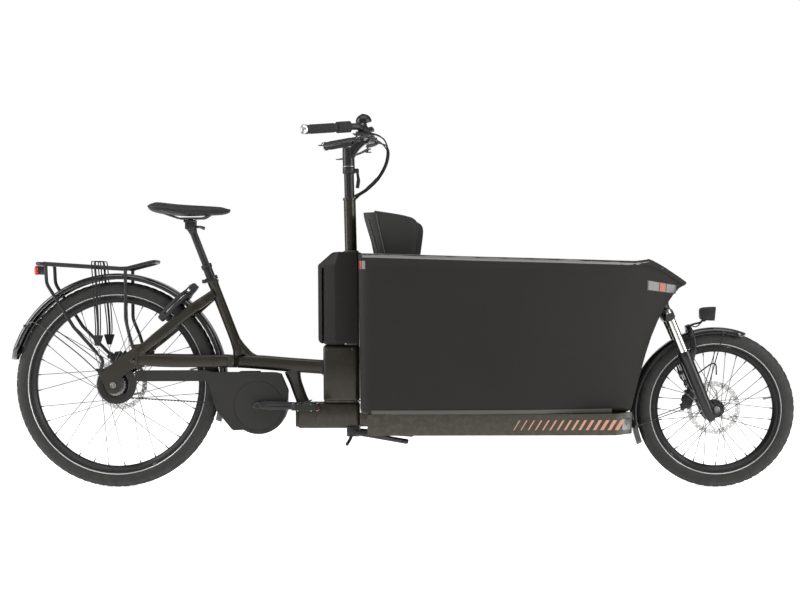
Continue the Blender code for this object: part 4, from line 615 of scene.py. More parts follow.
def rubberLook(name, colour, rough=0.72, scale=700.0, depth=0.22, dust=0.3):
    look = Look(name, specular=0.18)
    fine = look.noise(scale, 4, 0.6)
    patches = look.ramp(look.noise(26, 5, 0.6), (0.42, 0.0), (0.78, 1.0))
    shade = look.blend(fine * 0.35, colour, tuple(c * 1.7 + 0.006 for c in colour))
    shade = look.blend(patches * dust * 0.4, shade, (0.12, 0.112, 0.1))
    return look.finish(colour=shade, rough=fine * 0.12 + patches * 0.08 + (rough - 0.06),
        normal=look.bump(fine + patches * 0.3, depth, 0.0005))


def tyreLook(name, centre, radius):
    # cross-hatched side walls, darker tread and dust in the valleys, by distance from the wheel's axle
    look = Look(name, specular=0.18)
    x, z = look.axis("X") - centre.x, look.axis("Z") - centre.z
    distance = look.maths("SQRT", x * x + z * z)
    turn = look.maths("ARCTAN2", z, x)
    side = look.clamp((radius - 0.014 - distance) * 220)
    threads = look.maths("SINE", turn * 560 + distance * 2600) * 0.5 + 0.5
    ribs = look.maths("SINE", distance * 2400) * 0.5 + 0.5
    fine = look.noise(520, 4, 0.6)
    dirt = look.ramp(look.noise(45, 5, 0.62), (0.42, 0.0), (0.74, 1.0))
    shade = look.blend(fine * 0.4, (0.022, 0.022, 0.022), (0.05, 0.049, 0.047))
    shade = look.blend(dirt * (1.0 - side * 0.6) * 0.3, shade, (0.115, 0.108, 0.095))
    height = threads * side * 0.35 + ribs * side * 0.25 + fine * 0.8 + dirt * 0.2
    return look.finish(colour=shade, rough=fine * 0.12 + dirt * 0.1 + 0.62, normal=look.bump(height, 0.3,
        0.0006))


def fabricLook(name, colour, pale, scale=900.0):
    # a plain weave from two crossed wave bands, with slubs and a soft sheen
    look = Look(name, specular=0.25, sheen=0.25, sheenRough=0.5)
    warp = look.maths("SINE", look.axis("X") * scale + look.axis("Z") * scale) * 0.5 + 0.5
    weft = look.maths("SINE", look.axis("Y") * scale * 1.35) * 0.5 + 0.5
    slub = look.noise(70, 4, 0.6)
    over = look.maths("MAXIMUM", warp * weft, (1.0 - warp) * (1.0 - weft))
    shade = look.blend(over * 0.45 + slub * 0.35, colour, pale)
    return look.finish(colour=shade, rough=slub * 0.12 + 0.78,
        normal=look.bump(over * 0.8 + slub * 0.5 + look.noise(1500, 2) * 0.3, 0.35, 0.0007))


def leatherLook(name, colour, rough=0.52):
    look = Look(name, specular=0.25, coatRough=0.4)
    pores = look.cells(1100, feature="DISTANCE_TO_EDGE")
    fold = look.noise(30, 5, 0.6)
    shine = look.ramp(look.noise(9, 3), (0.4, 0.0), (0.75, 1.0))
    shade = look.blend(fold * 0.4 + shine * 0.2, colour, tuple(c * 1.9 + 0.01 for c in colour))
    return look.finish(colour=shade, rough=fold * 0.1 - shine * 0.1 + rough,
        normal=look.bump(look.clamp(pores * 9) * 0.7 + fold * 0.6, 0.28, 0.0005))


def lensLook(name, colour, glow=(0, 0, 0), strength=0.0, ridge=900.0):
    # a moulded lens: prisms under a clear skin
    look = Look(name, specular=0.6, coatRough=0.04, glow=glow, glowStrength=strength, through=0.0)
    prisms = look.maths("SINE", look.axis("X") * ridge + look.axis("Y") * ridge * 0.6) * 0.5 + 0.5
    rows = look.maths("SINE", look.axis("Z") * ridge * 1.1) * 0.5 + 0.5
    shade = look.blend(prisms * rows, colour, tuple(min(1, c * 1.6 + 0.03) for c in colour))
    return look.finish(colour=shade, rough=look.noise(60, 3) * 0.1 + 0.1, coat=0.85 - look.noise(11,
        2) * 0.1, normal=look.bump(prisms * rows, 0.3, 0.0006))


def tapeLook(name, colour, pale):
    # retro-reflective tape: a honeycomb of bright cells
    look = Look(name, specular=0.7, coatRough=0.08)
    cellEdge = look.clamp(look.cells(420, feature="DISTANCE_TO_EDGE") * 14)
    shade = look.blend(cellEdge, tuple(c * 0.6 for c in colour), pale)
    return look.finish(colour=shade, metal=0.25, rough=look.noise(40, 3) * 0.15 + 0.22,
        coat=0.6 - look.noise(8, 2) * 0.1, normal=look.bump(cellEdge, 0.18, 0.0003))


def glassLook(name, colour):
    look = Look(name, specular=0.7, coatRough=0.03)
    smear = look.noise(22, 4, 0.6, None, 0.8)
    return look.finish(colour=look.blend(smear * 0.3, colour, tuple(c + 0.02 for c in colour)),
        rough=smear * 0.1 + 0.04, coat=0.95 - smear * 0.2, normal=look.bump(smear, 0.02, 0.0003))


looks = {
    "framePaint": paintLook("frame_paint", paintColours["frame"], paintColours["frameWarm"]),
    "railPaint": paintLook("platform_paint", paintColours["rail"], paintColours["railWarm"], 0.45),
    "tubPlastic": plasticLook("tub_plastic", (0.008, 0.0074, 0.006), 0.52, 1500, 0.2, 0.35, 0.0, 0.15),
    # the tub plastic again, pale grey: a painted highlight for the rounded rim edge
    "rimEdgePaintedHighlight": plasticLook("tub_plastic_painted_highlight", (0.11, 0.108, 0.104), 0.3, 1200, 0.1, 0.3, 0.4, 0.6),
    "blackPlastic": plasticLook("black_plastic", (0.012, 0.012, 0.0125), 0.48, 1400, 0.2, 0.5),
    "coverPlastic": plasticLook("cover_plastic", (0.015, 0.0145, 0.0135), 0.52, 1500, 0.18, 0.4),
    "softPlastic": plasticLook("soft_plastic", (0.018, 0.018, 0.0185), 0.66, 900, 0.3, 0.3),
    # pale trim plastic; on the child seat's rear corners this pale colour is a painted highlight
    "paleTrimAndPaintedHighlight": plasticLook("trim_plastic_and_painted_highlight", (0.055, 0.054, 0.05), 0.45, 1200, 0.15, 0.4),
    "glossBlack": glossLook("gloss_black", (0.008, 0.008, 0.0085)),
    "blackMetal": metalLook("black_metal", (0.014, 0.014, 0.0145), 0.36, 0.55, (1, 1, 1), 260, 0.1, 0.35),
    "satinMetal": metalLook("satin_metal", (0.03, 0.03, 0.031), 0.3, 0.8, (1, 1, 4), 180, 0.08, 0.5),
    "armMetal": metalLook("crank_arm_metal", (0.016, 0.016, 0.0165), 0.3, 0.5, (6, 1, 1), 200, 0.08, 0.6),
    "forkMetal": metalLook("fork_metal", (0.012, 0.012, 0.0122), 0.26, 0.4, (1, 1, 1), 240, 0.08, 0.4),
    "leverMetal": metalLook("lever_metal", (0.045, 0.045, 0.046), 0.26, 0.8, (1, 4, 1), 180, 0.06, 0.5),
    "bellMetal": metalLook("bell_metal", (0.02, 0.02, 0.021), 0.24, 0.7, (1, 1, 1), 200, 0.06, 0.4),
    "chrome": metalLook("chrome", (0.6, 0.59, 0.57), 0.16, 1.0, (1, 1, 1), 120, 0.03, 0.2,
                        (0.8, 0.8, 0.78)),
    "greyMetal": metalLook("grey_metal", (0.2, 0.2, 0.205), 0.34, 0.9, (1, 6, 1), 160, 0.08, 0.5),
    "steel": metalLook("steel", (0.52, 0.52, 0.505), 0.28, 1.0, (1, 8, 1), 150, 0.08, 0.3,
                       (0.8, 0.8, 0.78)),
    "spokeSteel": metalLook("spoke_steel", (0.06, 0.06, 0.062), 0.3, 0.9, (1, 1, 1), 300, 0.05, 0.2),
    "rimAlloy": metalLook("rim_alloy", (0.014, 0.014, 0.0145), 0.3, 0.6, (1, 8, 1), 220, 0.07, 0.5),
    "hubAlloy": metalLook("hub_alloy", (0.022, 0.022, 0.023), 0.3, 0.75, (1, 8, 1), 200, 0.07, 0.5),
    "rubber": rubberLook("rubber", (0.014, 0.014, 0.0145)),
    "gripRubber": rubberLook("grip_rubber", (0.02, 0.02, 0.0205), 0.78, 1100, 0.35, 0.15),
    "strapRubber": rubberLook("strap_rubber", (0.012, 0.012, 0.0122), 0.6, 500, 0.15, 0.1),
    "hose": rubberLook("hose_sheath", (0.011, 0.011, 0.0115), 0.48, 300, 0.08, 0.1),
    "beltRubber": rubberLook("belt_rubber", (0.013, 0.013, 0.0135), 0.6, 900, 0.2, 0.4),
    "rearTyre": tyreLook("tyre_rear", rearAxle, 0.352),
    "frontTyre": tyreLook("tyre_front", frontAxle, 0.263),
    "padding": fabricLook("pad_fabric", (0.045, 0.045, 0.046), (0.105, 0.105, 0.104), 700),
    "webbing": fabricLook("strap_webbing", (0.014, 0.014, 0.0145), (0.04, 0.04, 0.041), 1900),
    "shellPlastic": plasticLook("seat_shell_plastic", (0.02, 0.0195, 0.0185), 0.58, 1500, 0.2, 0.3),
    "saddleCover": leatherLook("saddle_cover", (0.013, 0.013, 0.0135)),
    "redLens": lensLook("red_lens", (0.36, 0.01, 0.008), (0.6, 0.02, 0.01), 0.15),
    "clearLens": lensLook("clear_lens", (0.6, 0.61, 0.62), (1, 1, 1), 0.1, 1400),
    # reflectors are no lamps: the amber lens's faint glow is painted light
    "amberLensPaintedGlow": lensLook("amber_lens_painted_glow", (0.22, 0.05, 0.022), (1, 0.3, 0.05), 0.02),
    "silverTape": tapeLook("silver_tape", (0.085, 0.083, 0.08), (0.16, 0.157, 0.153)),
    "stripeTape": tapeLook("tyre_stripe", (0.3, 0.3, 0.29), (0.46, 0.46, 0.45)),
    "redTape": tapeLook("red_tape", (0.2, 0.012, 0.012), (0.34, 0.03, 0.028)),
    "copper": metalLook("copper_decal", (0.46, 0.235, 0.15), 0.34, 0.45, (1, 1, 1), 300, 0.04, 0.1,
                        (0.6, 0.36, 0.26)),
    "glass": glassLook("screen_glass", (0.01, 0.011, 0.013)),
}
print("tub")
tub = {
    "bottom": 0.2608, "rear": -0.106, "nose": frontAxle.x - 0.103, "halfTop": 0.335,
    "halfFloor": 0.255, "wall": 0.005,
    "stations": [0.0, 0.012, 0.04, 0.14, 0.36, 0.6, 0.75, 0.8355, 0.878, 0.94, 0.985, 1.0],
    "topWidths": [0.86, 0.905, 0.94, 0.97, 1.0, 0.93, 0.82, 0.725, 0.66, 0.54, 0.395, 0.315],
    "floorWidths": [0.88, 0.935, 0.975, 1.0, 1.0, 0.95, 0.87, 0.8, 0.755, 0.68, 0.61, 0.57],
    "band": 0.019, "proud": 0.004, "lip": 0.014, "mouthBehindNose": 0.176,
    "frontWallFoot": 0.668, "frontWallLean": 0.245,
}


def rimHeight(x):
    nose = tub["nose"]
    t = max(0.0, (x - nose + 0.1315) / 0.1315)
    level = interpolate(x, [(tub["rear"], 0.787), (tub["rear"] + 0.394, 0.772), (nose - 0.1765, 0.756),
        (nose - 0.125, 0.7625)])
    return level if t <= 0 else 0.7625 - 0.074 * t ** 1.12 + 0.0015 * (1 - t)


def tubFront(level):
    return tub["nose"] - 0.1885 + 0.1275 * level + 0.061 * level ** 3


def tubHalf(level, share):
    # half width at a share of the length, on a smooth curve through the stations
    stations = tub["stations"]
    k = max(i for i in range(len(stations) - 1) if stations[i] <= share)
    t = (share - stations[k]) / (stations[k + 1] - stations[k])

    def along(widths):
        a, b = widths[k], widths[k + 1]
        run = stations[k + 1] - stations[k]
        slopes = []
        for i in (k, k + 1):
            low, high = max(i - 1, 0), min(i + 1, len(stations) - 1)
            slopes.append((widths[high] - widths[low]) / (stations[high] - stations[low]) * run)
        return ((2 * t ** 3 - 3 * t ** 2 + 1) * a + (t ** 3 - 2 * t ** 2 + t) * slopes[0]
            + (3 * t ** 2 - 2 * t ** 3) * b + (t ** 3 - t ** 2) * slopes[1])
    return (along(tub["topWidths"]) * tub["halfTop"] * level
            + along(tub["floorWidths"]) * tub["halfFloor"] * (1 - level))


def tubRear(level):
    return tub["rear"] - 0.002 * (1 - level)


def tubSide(x, z, proud=0.0, sign=-1):
    # the point on the tub's side wall at a place in the side view
    level = (z - tub["bottom"]) / (rimHeight(x) - tub["bottom"])
    share = (x - tubRear(level)) / (tubFront(level) - tubRear(level))
    return Vector((x, sign * (tubHalf(level, min(max(share, 0.0), 1.0)) + proud), z))


def makeTub():
    shares = [0.0, 0.003, 0.006, 0.01, 0.015, 0.022, 0.031, 0.042, 0.06, 0.09, 0.14, 0.2, 0.28, 0.36,
        0.44, 0.52, 0.6, 0.68, 0.75, 0.795, 0.8355, 0.858, 0.878, 0.91, 0.94, 0.963, 0.98, 0.991, 1.0]
    middle = [0.85, 0.6, 0.3]

    def loop(level, inset, drop=None, proud=0.0, front=None, height=None):
        rear = tubRear(level) + inset
        nose = tubFront(level) - inset * 1.2 + proud * 0.5
        points = []
        for share in shares:
            x = rear + (nose - rear) * share
            half = tubHalf(level, share) + proud - inset
            if front is not None and x > front:
                x = front
            base = rimHeight(x)
            z = base - drop if drop is not None else tub["bottom"] + (base - tub["bottom"]) * level
            points.append(Vector((x, -half, height if height is not None else z)))
        if front is not None:
            # the inner wall's front runs straight across, so its points are spread over the width
            at = [k for k, p in enumerate(points) if p.x >= front - 1e-6]
            if at:
                first = points[at[0]]
                for n, k in enumerate(at):
                    t = n / max(len(at) - 1, 1)
                    points[k] = Vector((front + 0.01 * math.sin(t * math.pi / 2),
                        first.y * (1 - 0.55 * t), first.z))
        low, high = points[0], points[-1]
        closing = [Vector((high.x, high.y * m, high.z)) for m in middle]
        opening = [Vector((low.x, low.y * m, low.z)) for m in reversed(middle)]
        right = opening + points + closing
        return right + [Vector((p.x, -p.y, p.z)) for p in reversed(right)]

    band = tub["band"]
    out = tub["proud"]
    wall = tub["wall"]
    bottom = tub["bottom"]
    mouth = tub["nose"] - tub["mouthBehindNose"]
    rings = [loop(0.0, 0.014), loop(0.003, 0.0085), loop(0.009, 0.0035), loop(0.02, 0.0008),
        loop(0.034, 0.0)]
    rings += [loop(level, 0.0) for level in (0.12, 0.25, 0.38, 0.5, 0.62, 0.74, 0.85, 0.92)]
    rings += [loop(0.962, 0.0, band + 0.0015), loop(0.965, -0.0008, band), loop(0.966, 0.0, band - 0.0006,
        out - 0.0008), loop(0.968, 0.0, band - 0.0018, out), loop(0.985, 0.0, band * 0.5, out),
        loop(0.997, 0.0, 0.003, out), loop(0.999, 0.0, 0.001, out - 0.001),
        loop(1.0, 0.0, 0.0, out - 0.0032)]
    # over the top and in to the mouth; ahead of the mouth the loops span the hood
    rings += [loop(1.0, tub["lip"] * 0.55, -0.0006, 0, mouth + 0.1), loop(1.0, tub["lip"] * 0.88, -0.0004,
        0, mouth + 0.004), loop(1.0, tub["lip"], 0.0012, 0, mouth), loop(1.0, tub["lip"] + 0.0004, 0.0035,
        0, mouth - 0.0004), loop(0.97, tub["lip"] + 0.0004, band - 0.002, 0, mouth - 0.0006),
        loop(0.965, tub["lip"] - 0.0015, band, 0, mouth + 0.001), loop(0.962, wall + 0.0015, band + 0.001,
        0, mouth + 0.004)]
    for level in (0.9, 0.78, 0.64, 0.5, 0.36, 0.22, 0.1, 0.045):
        z = bottom + 0.5 * level
        rings.append(loop(level, wall, None, 0,
            tub["frontWallFoot"] + tub["frontWallLean"] * (z - bottom)))
    foot = tub["frontWallFoot"]
    rings += [loop(0.03, wall + 0.003, None, 0, foot, bottom + 0.0115), loop(0.02, wall + 0.01, None, 0,
        foot - 0.004, bottom + 0.0072), loop(0.015, wall + 0.02, None, 0, foot - 0.012, bottom + 0.006)]
    made = sheetOf("tub", rings)

    # room for the neck, the steering head, the fork and the wheel, cut out of the nose from below
    half = 0.043
    head = forkPoint(-0.0285, 0, 0.518)
    neckFoot = frontAxle.x - 0.3555
    lean = (forkPoint(0, 0, 0.438).x - neckFoot) / (forkPoint(0, 0, 0.438).z - 0.255)
    back = 0.025
    roof = -0.0065
    outline = [(neckFoot - back + lean * (0.2 - 0.255), 0.2), (neckFoot - back + lean * (0.64 - 0.255),
        0.64), (head.x, head.z), (head.x, rimHeight(head.x) + roof)]
    outline += [(tub["nose"] + dx, rimHeight(tub["nose"] + min(dx, 0)) + roof) for dx in (-0.1315, -0.1,
        -0.06, -0.02, 0.0)]
    outline += [(tub["nose"] + 0.06, rimHeight(tub["nose"]) + roof - 0.02), (tub["nose"] + 0.06, 0.2)]
    slot = sidePlate("slot", outline, -half, half)
    crown = disc("crown_room", 0.103, 0, 0.235, forkPoint(0, 0, 0.15), forkUp, 48)
    wheel = disc("wheel_room", 0.315, -0.12, 0.12, frontAxle, left, 64)
    cutBy(made, slot, crown, wheel)
    return smooth(made, 30)


show(makeTub(), "tubPlastic", "frame", "cargo_tub")


def tubStrip(name, look, xs, zs, proud, sign, thick=0.0012):
    # a thin strip that follows the wall between two lists of places
    rows = []
    for z0, z1 in [zs]:
        for k in range(len(xs)):
            x = xs[k]
            rows.append([tubSide(x, z0 if not callable(z0) else z0(x), proud, sign),
                tubSide(x, (z0(x) + z1(x)) / 2 if callable(z0) else (z0 + z1) / 2, proud + 0.0004, sign),
                tubSide(x, z1 if not callable(z1) else z1(x), proud, sign)])
    piece = sheetOf(name, rows, round=False, caps=False)
    modify(piece, "SOLIDIFY", thickness=thick, offset=0.0)
    tidyMesh(piece, 1e-6)
    return show(smooth(piece), look, "frame",
        slot="red_lens" if "Tape" in look or "Lens" in look else "tub_plastic")


def steps(low, high, count):
    return [low + (high - low) * k / (count - 1) for k in range(count)]


for sign, sideName in ((-1, "right"), (1, "left")):
    nose = tub["nose"]

    # front corner reflectors: a dark carrier, then white, amber and dark cells that follow the wall
    def low(x):
        return 0.6635 - 0.012 * (x - 0.834) / 0.1

    def high(x):
        return 0.693 - 0.016 * (x - 0.834) / 0.1
    tubStrip(f"front_reflector_base_{sideName}", "glossBlack", steps(0.832, 0.932, 9),
        (lambda x: low(x) - 0.0015, lambda x: high(x) + 0.0015), 0.0008, sign)
    # the amber cell glows faintly: painted light
    for n, (look, x0, x1) in enumerate((("silverTape", 0.836, 0.872), ("amberLensPaintedGlow", 0.875, 0.895),
            ("silverTape", 0.898, 0.928))):
        tubStrip(f"front_reflector_{sideName}_{n}", look, steps(x0, x1, 4), (low, high), 0.0022, sign)
    # rear corner reflectors
    for n, (look, x0, x1) in enumerate((("redTape", -0.104, -0.095), ("silverTape", -0.0935, -0.083))):
        tubStrip(f"rear_reflector_{sideName}_{n}", look, steps(x0, x1, 4), (0.736, 0.763), 0.0014, sign)
    # the rounded outer edge of the rim, coloured pale grey as a painted highlight where the top light
    # catches the bead
    rows = []
    for x in steps(tub["rear"] + 0.014, 0.9, 60):
        rim = rimHeight(x)
        rows.append([tubSide(x, rim - 0.0125, 0.0044, sign), tubSide(x, rim - 0.0075, 0.005, sign),
            tubSide(x, rim - 0.003, 0.0036, sign), tubSide(x, rim - 0.0002, 0.0006, sign),
            tubSide(x, rim + 0.0006, -0.0036, sign)])
    edge = sheetOf(f"tub_rim_edge_{sideName}", rows, round=False, caps=False)
    modify(edge, "SOLIDIFY", thickness=0.001, offset=0.0)
    tidyMesh(edge, 1e-6)
    show(smooth(edge, 60), "rimEdgePaintedHighlight", "frame", slot="tub_plastic")
    # the sill that the tub stands on
    tubStrip(f"tub_sill_{sideName}", "paleTrimAndPaintedHighlight", steps(-0.07, 0.715, 24), (0.2618, 0.2745), 0.0006, sign,
        0.0016)


print("wheels")
tyre = {"side": [(-0.052, 0.016), (-0.049, 0.02), (-0.044, 0.0248), (-0.037, 0.0286), (-0.03, 0.0299),
    (-0.022, 0.0292), (-0.014, 0.0264), (-0.008, 0.0222), (-0.0045, 0.0165), (-0.003, 0.008)],
    "blockLength": 0.02, "blockRows": [(0.0052, 0.008, 0.0), (0.0168, 0.0085, 26.0)],
    "stripe": (-0.0462, -0.0436), "stripeProud": 0.0005, "steps": 96}
rim = {"depth": 0.0195, "half": 0.018, "belowTread": 0.0523}
spokes = {"count": 32, "lean": 62.0, "radius": 0.0011, "nipple": 0.0022, "nippleLength": 0.012}
rotor = {"outer": 0.09, "inner": 0.073, "half": 0.001, "holes": 30, "holeRadius": 0.0021, "arms": 6}


def makeTyre(name, centre, radius, blocks, look, body):
    half = [(radius + drop, width) for drop, width in tyre["side"]]
    carcass = turned(name, half + [(r, -y) for r, y in reversed(half)], centre, left, tyre["steps"],
        closed=True)
    parts = [carcass]
    pitch = 360 / blocks
    for row, (y, width, lean) in enumerate(tyre["blockRows"]):
        for sign in (-1, 1):
            middle = centre + Vector((0, sign * y, 0))
            drop = 0.0 if row == 0 else 0.0032
            block = box("block", middle + Vector((-tyre["blockLength"] / 2, -width / 2,
                radius - 0.008 - drop)), middle + Vector((tyre["blockLength"] / 2, width / 2,
                radius - 0.0002 - drop)), 0.0012, 1)
            turnedBy(block, middle + Vector((0, 0, radius - drop)), (1, 0, 0), -sign * lean)
            turnedBy(block, centre, (0, 1, 0), pitch * (0.5 if sign > 0 else 0.0) + pitch * 0.25 * row)
            parts.append(around(block, blocks, centre, (0, 1, 0)))
    show(smooth(joined(name, *parts)), look, body, name)
    inner, outer = tyre["stripe"]
    a, b = interpolate(inner, tyre["side"]), interpolate(outer, tyre["side"])
    rise = tyre["stripeProud"]
    stripes = []
    for sign in (-1, 1):
        profile = [(radius + inner, sign * (a - rise)), (radius + inner, sign * (a + rise)),
            (radius + outer, sign * (b + rise)), (radius + outer, sign * (b - rise))]
        stripes.append(turned("stripe", profile, centre, left, tyre["steps"], closed=True))
    show(joined(name + "_stripes", *stripes), "stripeTape", body, (), "tyre")


def makeRim(name, centre, radius, body):
    top, w = radius - rim["belowTread"], rim["half"]
    half = [(top, w - 0.001), (top - 0.001, w), (top - 0.003, w), (top - 0.0034, w - 0.0004),
        (top - 0.008, w - 0.0004), (top - 0.0095, w - 0.0016), (top - 0.0165, w * 0.58),
        (top - 0.019, w * 0.42), (top - 0.0195, w * 0.25)]
    ring = turned(name, half + [(r, -y) for r, y in reversed(half)], centre, left, tyre["steps"],
        closed=True)
    show(ring, "rimAlloy", body, name)
    foot = aroundAxle(centre, top - 0.019, 11.0)
    inwards = (centre - foot).normalized()
    stem = turned(name + "_valve", [(0, -0.002), (0.0052, -0.002), (0.0052, 0.0), (0.0032, 0.0005),
        (0.003, 0.02), (0.0036, 0.0205), (0.0036, 0.026), (0.0026, 0.0275), (0, 0.0275)], foot, inwards,
        12)
    show(stem, "greyMetal", body, (), "hub_alloy")


def makeSpokes(name, centre, reach, flangeY, flangeR, phase, body):
    # four crossed spokes with their heads and nipples, repeated round the hub
    group = []
    for k in range(4):
        sideOf = 1 if k % 2 else -1
        leading = 1 if k // 2 else -1
        place = phase + k * 360 / spokes["count"]
        head = aroundAxle(centre, flangeR - 0.0045, place - leading * spokes["lean"],
            sideOf * (flangeY + leading * 0.003))
        end = aroundAxle(centre, reach, place, sideOf * 0.003)
        bend = head + (end - head).normalized() * 0.004
        group.append(tube("spoke", [head - left * (sideOf * leading * 0.004), head, bend, end],
            spokes["radius"], 8))
        group.append(disc("head", 0.0021, -0.0006, 0.001, head, left * (sideOf * leading), 8, 0.0003))
        way = (head - end).normalized()
        group.append(turned("nipple", [(0, -0.001), (0.0026, -0.001), (0.0026, 0.0012),
            (spokes["nipple"], 0.0016), (spokes["nipple"] * 0.86, spokes["nippleLength"]),
            (0, spokes["nippleLength"])], end, way, 8))
    bundle = around(joined(name, *group), spokes["count"] // 4, centre, (0, 1, 0))
    show(bundle, "spokeSteel", body, (), "hub_alloy")


def makeHub(name, centre, flangeY, flangeR, shellR, endY, body):
    f = 0.0022
    half = [(0.0068, endY), (0.0125, endY), (0.0135, endY - 0.0015), (0.015, flangeY + 0.012),
        (0.0185, flangeY + 0.0085), (flangeR - 0.013, flangeY + 0.005), (flangeR - 0.0095, flangeY + f),
        (flangeR - 0.0008, flangeY + f), (flangeR, flangeY + f * 0.5), (flangeR, flangeY - f * 0.5),
        (flangeR - 0.0008, flangeY - f), (shellR + 0.0008, flangeY - 0.0055), (shellR, flangeY - 0.008),
        (shellR - 0.001, flangeY * 0.35)]
    hub = turned(name, [(r, -y) for r, y in half] + list(reversed(half)), centre, left, 48, closed=True)
    show(hub, "hubAlloy", body, name)
    trim = [ringOf("trim", shellR - 0.0075, shellR - 0.006, sign * (flangeY + 0.0042) - 0.0012,
        sign * (flangeY + 0.0042) + 0.0012, centre, left, 48, 0.0003) for sign in (-1, 1)]
    show(joined(name + "_trim_rings", *trim), "greyMetal", body, (), "hub_alloy")


def makeRotor(name, centre, y, hubHole, body):
    foot = centre + left * y
    half = rotor["half"]
    steps = 120
    wave = [aroundAxle(foot, rotor["outer"] - 0.0012 * (1 + math.cos(math.radians(k * 3 * 15))) / 2,
        k * 3) for k in range(steps)]
    plateDisc = plate(name, [p - left * half for p in wave], (0, 2 * half, 0))
    inside = disc("inside", rotor["inner"], -0.01, 0.01, foot, left, 90)
    hole = disc("hole", rotor["holeRadius"], -0.01, 0.01, aroundAxle(foot, 0.0775, 0), left, 8, 0.0001)
    second = disc("hole", rotor["holeRadius"], -0.01, 0.01, aroundAxle(foot, 0.085, 6), left, 8, 0.0001)
    holes = [around(hole, rotor["holes"], foot, (0, 1, 0)), around(second, rotor["holes"], foot,
        (0, 1, 0))]
    cutBy(plateDisc, inside, joined("holes", *holes))
    arm = swept("arm", [aroundAxle(foot, 0.022, 0), aroundAxle(foot, 0.04, 12),
        aroundAxle(foot, 0.058, 20), aroundAxle(foot, 0.0745, 34)], roundSection(2 * half * 0.9, 0.0062,
        0.0006, 1))
    arms = around(arm, rotor["arms"], foot, (0, 1, 0))
    carrier = ringOf("carrier", hubHole, 0.027, -half * 1.6, half * 1.6, foot, left, 36, 0.0004)
    bolt = around(disc("bolt", 0.0032, half, half + 0.0022, aroundAxle(foot, 0.022, 30),
        left * (1 if y > 0 else -1), 8, 0.0004), 6, foot, (0, 1, 0))
    show(joined(name, plateDisc, arms, carrier, bolt), "steel", body, name)


def toothedOutline(radius, count, depth, tip=0.25, root=0.6):
    outline = []
    for k in range(count):
        for share, reach in ((0.0, radius), (tip, radius), (root * 0.75, radius - depth),
                (1 - root * 0.35, radius - depth)):
            outline.append((reach, 360 * (k + share) / count))
    return outline


def makeSprocket(name, centre, radius, count, half, hole, look, body):
    points = [aroundAxle(centre, r, degrees, -half) for r, degrees in toothedOutline(radius, count,
        0.0022)]
    sprocket = plate(name, points, (0, 2 * half, 0))
    cutBy(sprocket, disc("bore", hole, -0.03, 0.03, centre, left, 32))
    return show(sprocket, look, body, name)


tread = {"rear": rearAxle.z, "front": frontAxle.z}
lockMiddle = jointAt["lock_shackle_turn"]
lockOut = Vector((0.7071, 0, 0.7071))
lockRadius = 0.067
barPlace = lockMiddle - lockOut * lockRadius - rearAxle
spokePhase = math.degrees(math.atan2(barPlace.z, barPlace.x)) + 180 / spokes["count"]
rimFoot = rim["belowTread"] + rim["depth"]
makeTyre("rear_tyre", rearAxle, tread["rear"], 76, "rearTyre", "rear_wheel")
makeRim("rear_rim", rearAxle, tread["rear"], "rear_wheel")
makeHub("rear_hub_and_spokes", rearAxle, 0.03, 0.058, 0.052, 0.046, "rear_wheel")
makeSpokes("rear_spokes", rearAxle, tread["rear"] - rimFoot + 0.001, 0.03, 0.058, spokePhase,
    "rear_wheel")
makeRotor("rear_brake_disc", rearAxle, 0.056, 0.0125, "rear_wheel")
makeSprocket("rear_sprocket", rearAxle - left * 0.0525, 0.0385, 22, 0.0055, 0.013, "greyMetal",
    "rear_sprocket")
lockRing = ringOf("rear_sprocket_lock_ring", 0.0068, 0.0165, -0.0065, 0.006, rearAxle - left * 0.0525,
    left, 32, 0.0008)
show(lockRing, "blackMetal", "rear_sprocket", (), "steel")
makeTyre("front_tyre", frontAxle, tread["front"], 56, "frontTyre", "front_wheel")
makeRim("front_rim", frontAxle, tread["front"], "front_wheel")
makeHub("front_hub_and_spokes", frontAxle, 0.024, 0.03, 0.022, 0.035, "front_wheel")
makeSpokes("front_spokes", frontAxle, tread["front"] - rimFoot + 0.001, 0.024, 0.03, 0.0, "front_wheel")
makeRotor("front_brake_disc", frontAxle, 0.0385, 0.0125, "front_wheel")


print("frame")
stay = {"dropoutY": 0.0743, "stayY": 0.056, "thick": 0.006, "chain": (0.02, 0.042),
    "seat": (0.0175, 0.036)}
beam = {"width": 0.044, "height": 0.048, "rear": -0.55, "front": -0.2503, "lowerHalf": 0.026,
    "weld": 0.0022}
column = {"rear": -0.25, "front": -0.1283, "half": 0.045, "bottom": 0.29, "top": 0.485, "tubeR": 0.0205}
platform = {"top": 0.26, "height": 0.07, "rear": -0.085, "half": 0.235, "rail": 0.024, "sheet": 0.006}


def weld(name, points, radius):
    # a bead of weld: a closed rope of small overlapping drops
    route = smoothRoute(list(points) + [points[0]], 6)
    radii = [1.0 + 0.22 * math.sin(k * 2.1) for k in range(len(route))]
    return tube(name, route, radius, 8, radii)


def ringPoints(centre, along, width, height, count=16, power=0.42, across=(0, 1, 0)):
    # a rounded-square loop square to a direction
    along = Vector(along).normalized()
    wide = (Vector(across) - along * Vector(across).dot(along)).normalized()
    out = along.cross(wide)
    points = []
    for k in range(count):
        a = 2 * math.pi * k / count
        c, s = math.cos(a), math.sin(a)
        points.append(Vector(centre) + wide * (math.copysign(abs(c) ** power,
            c) * width / 2) + out * (math.copysign(abs(s) ** power, s) * height / 2))
    return points


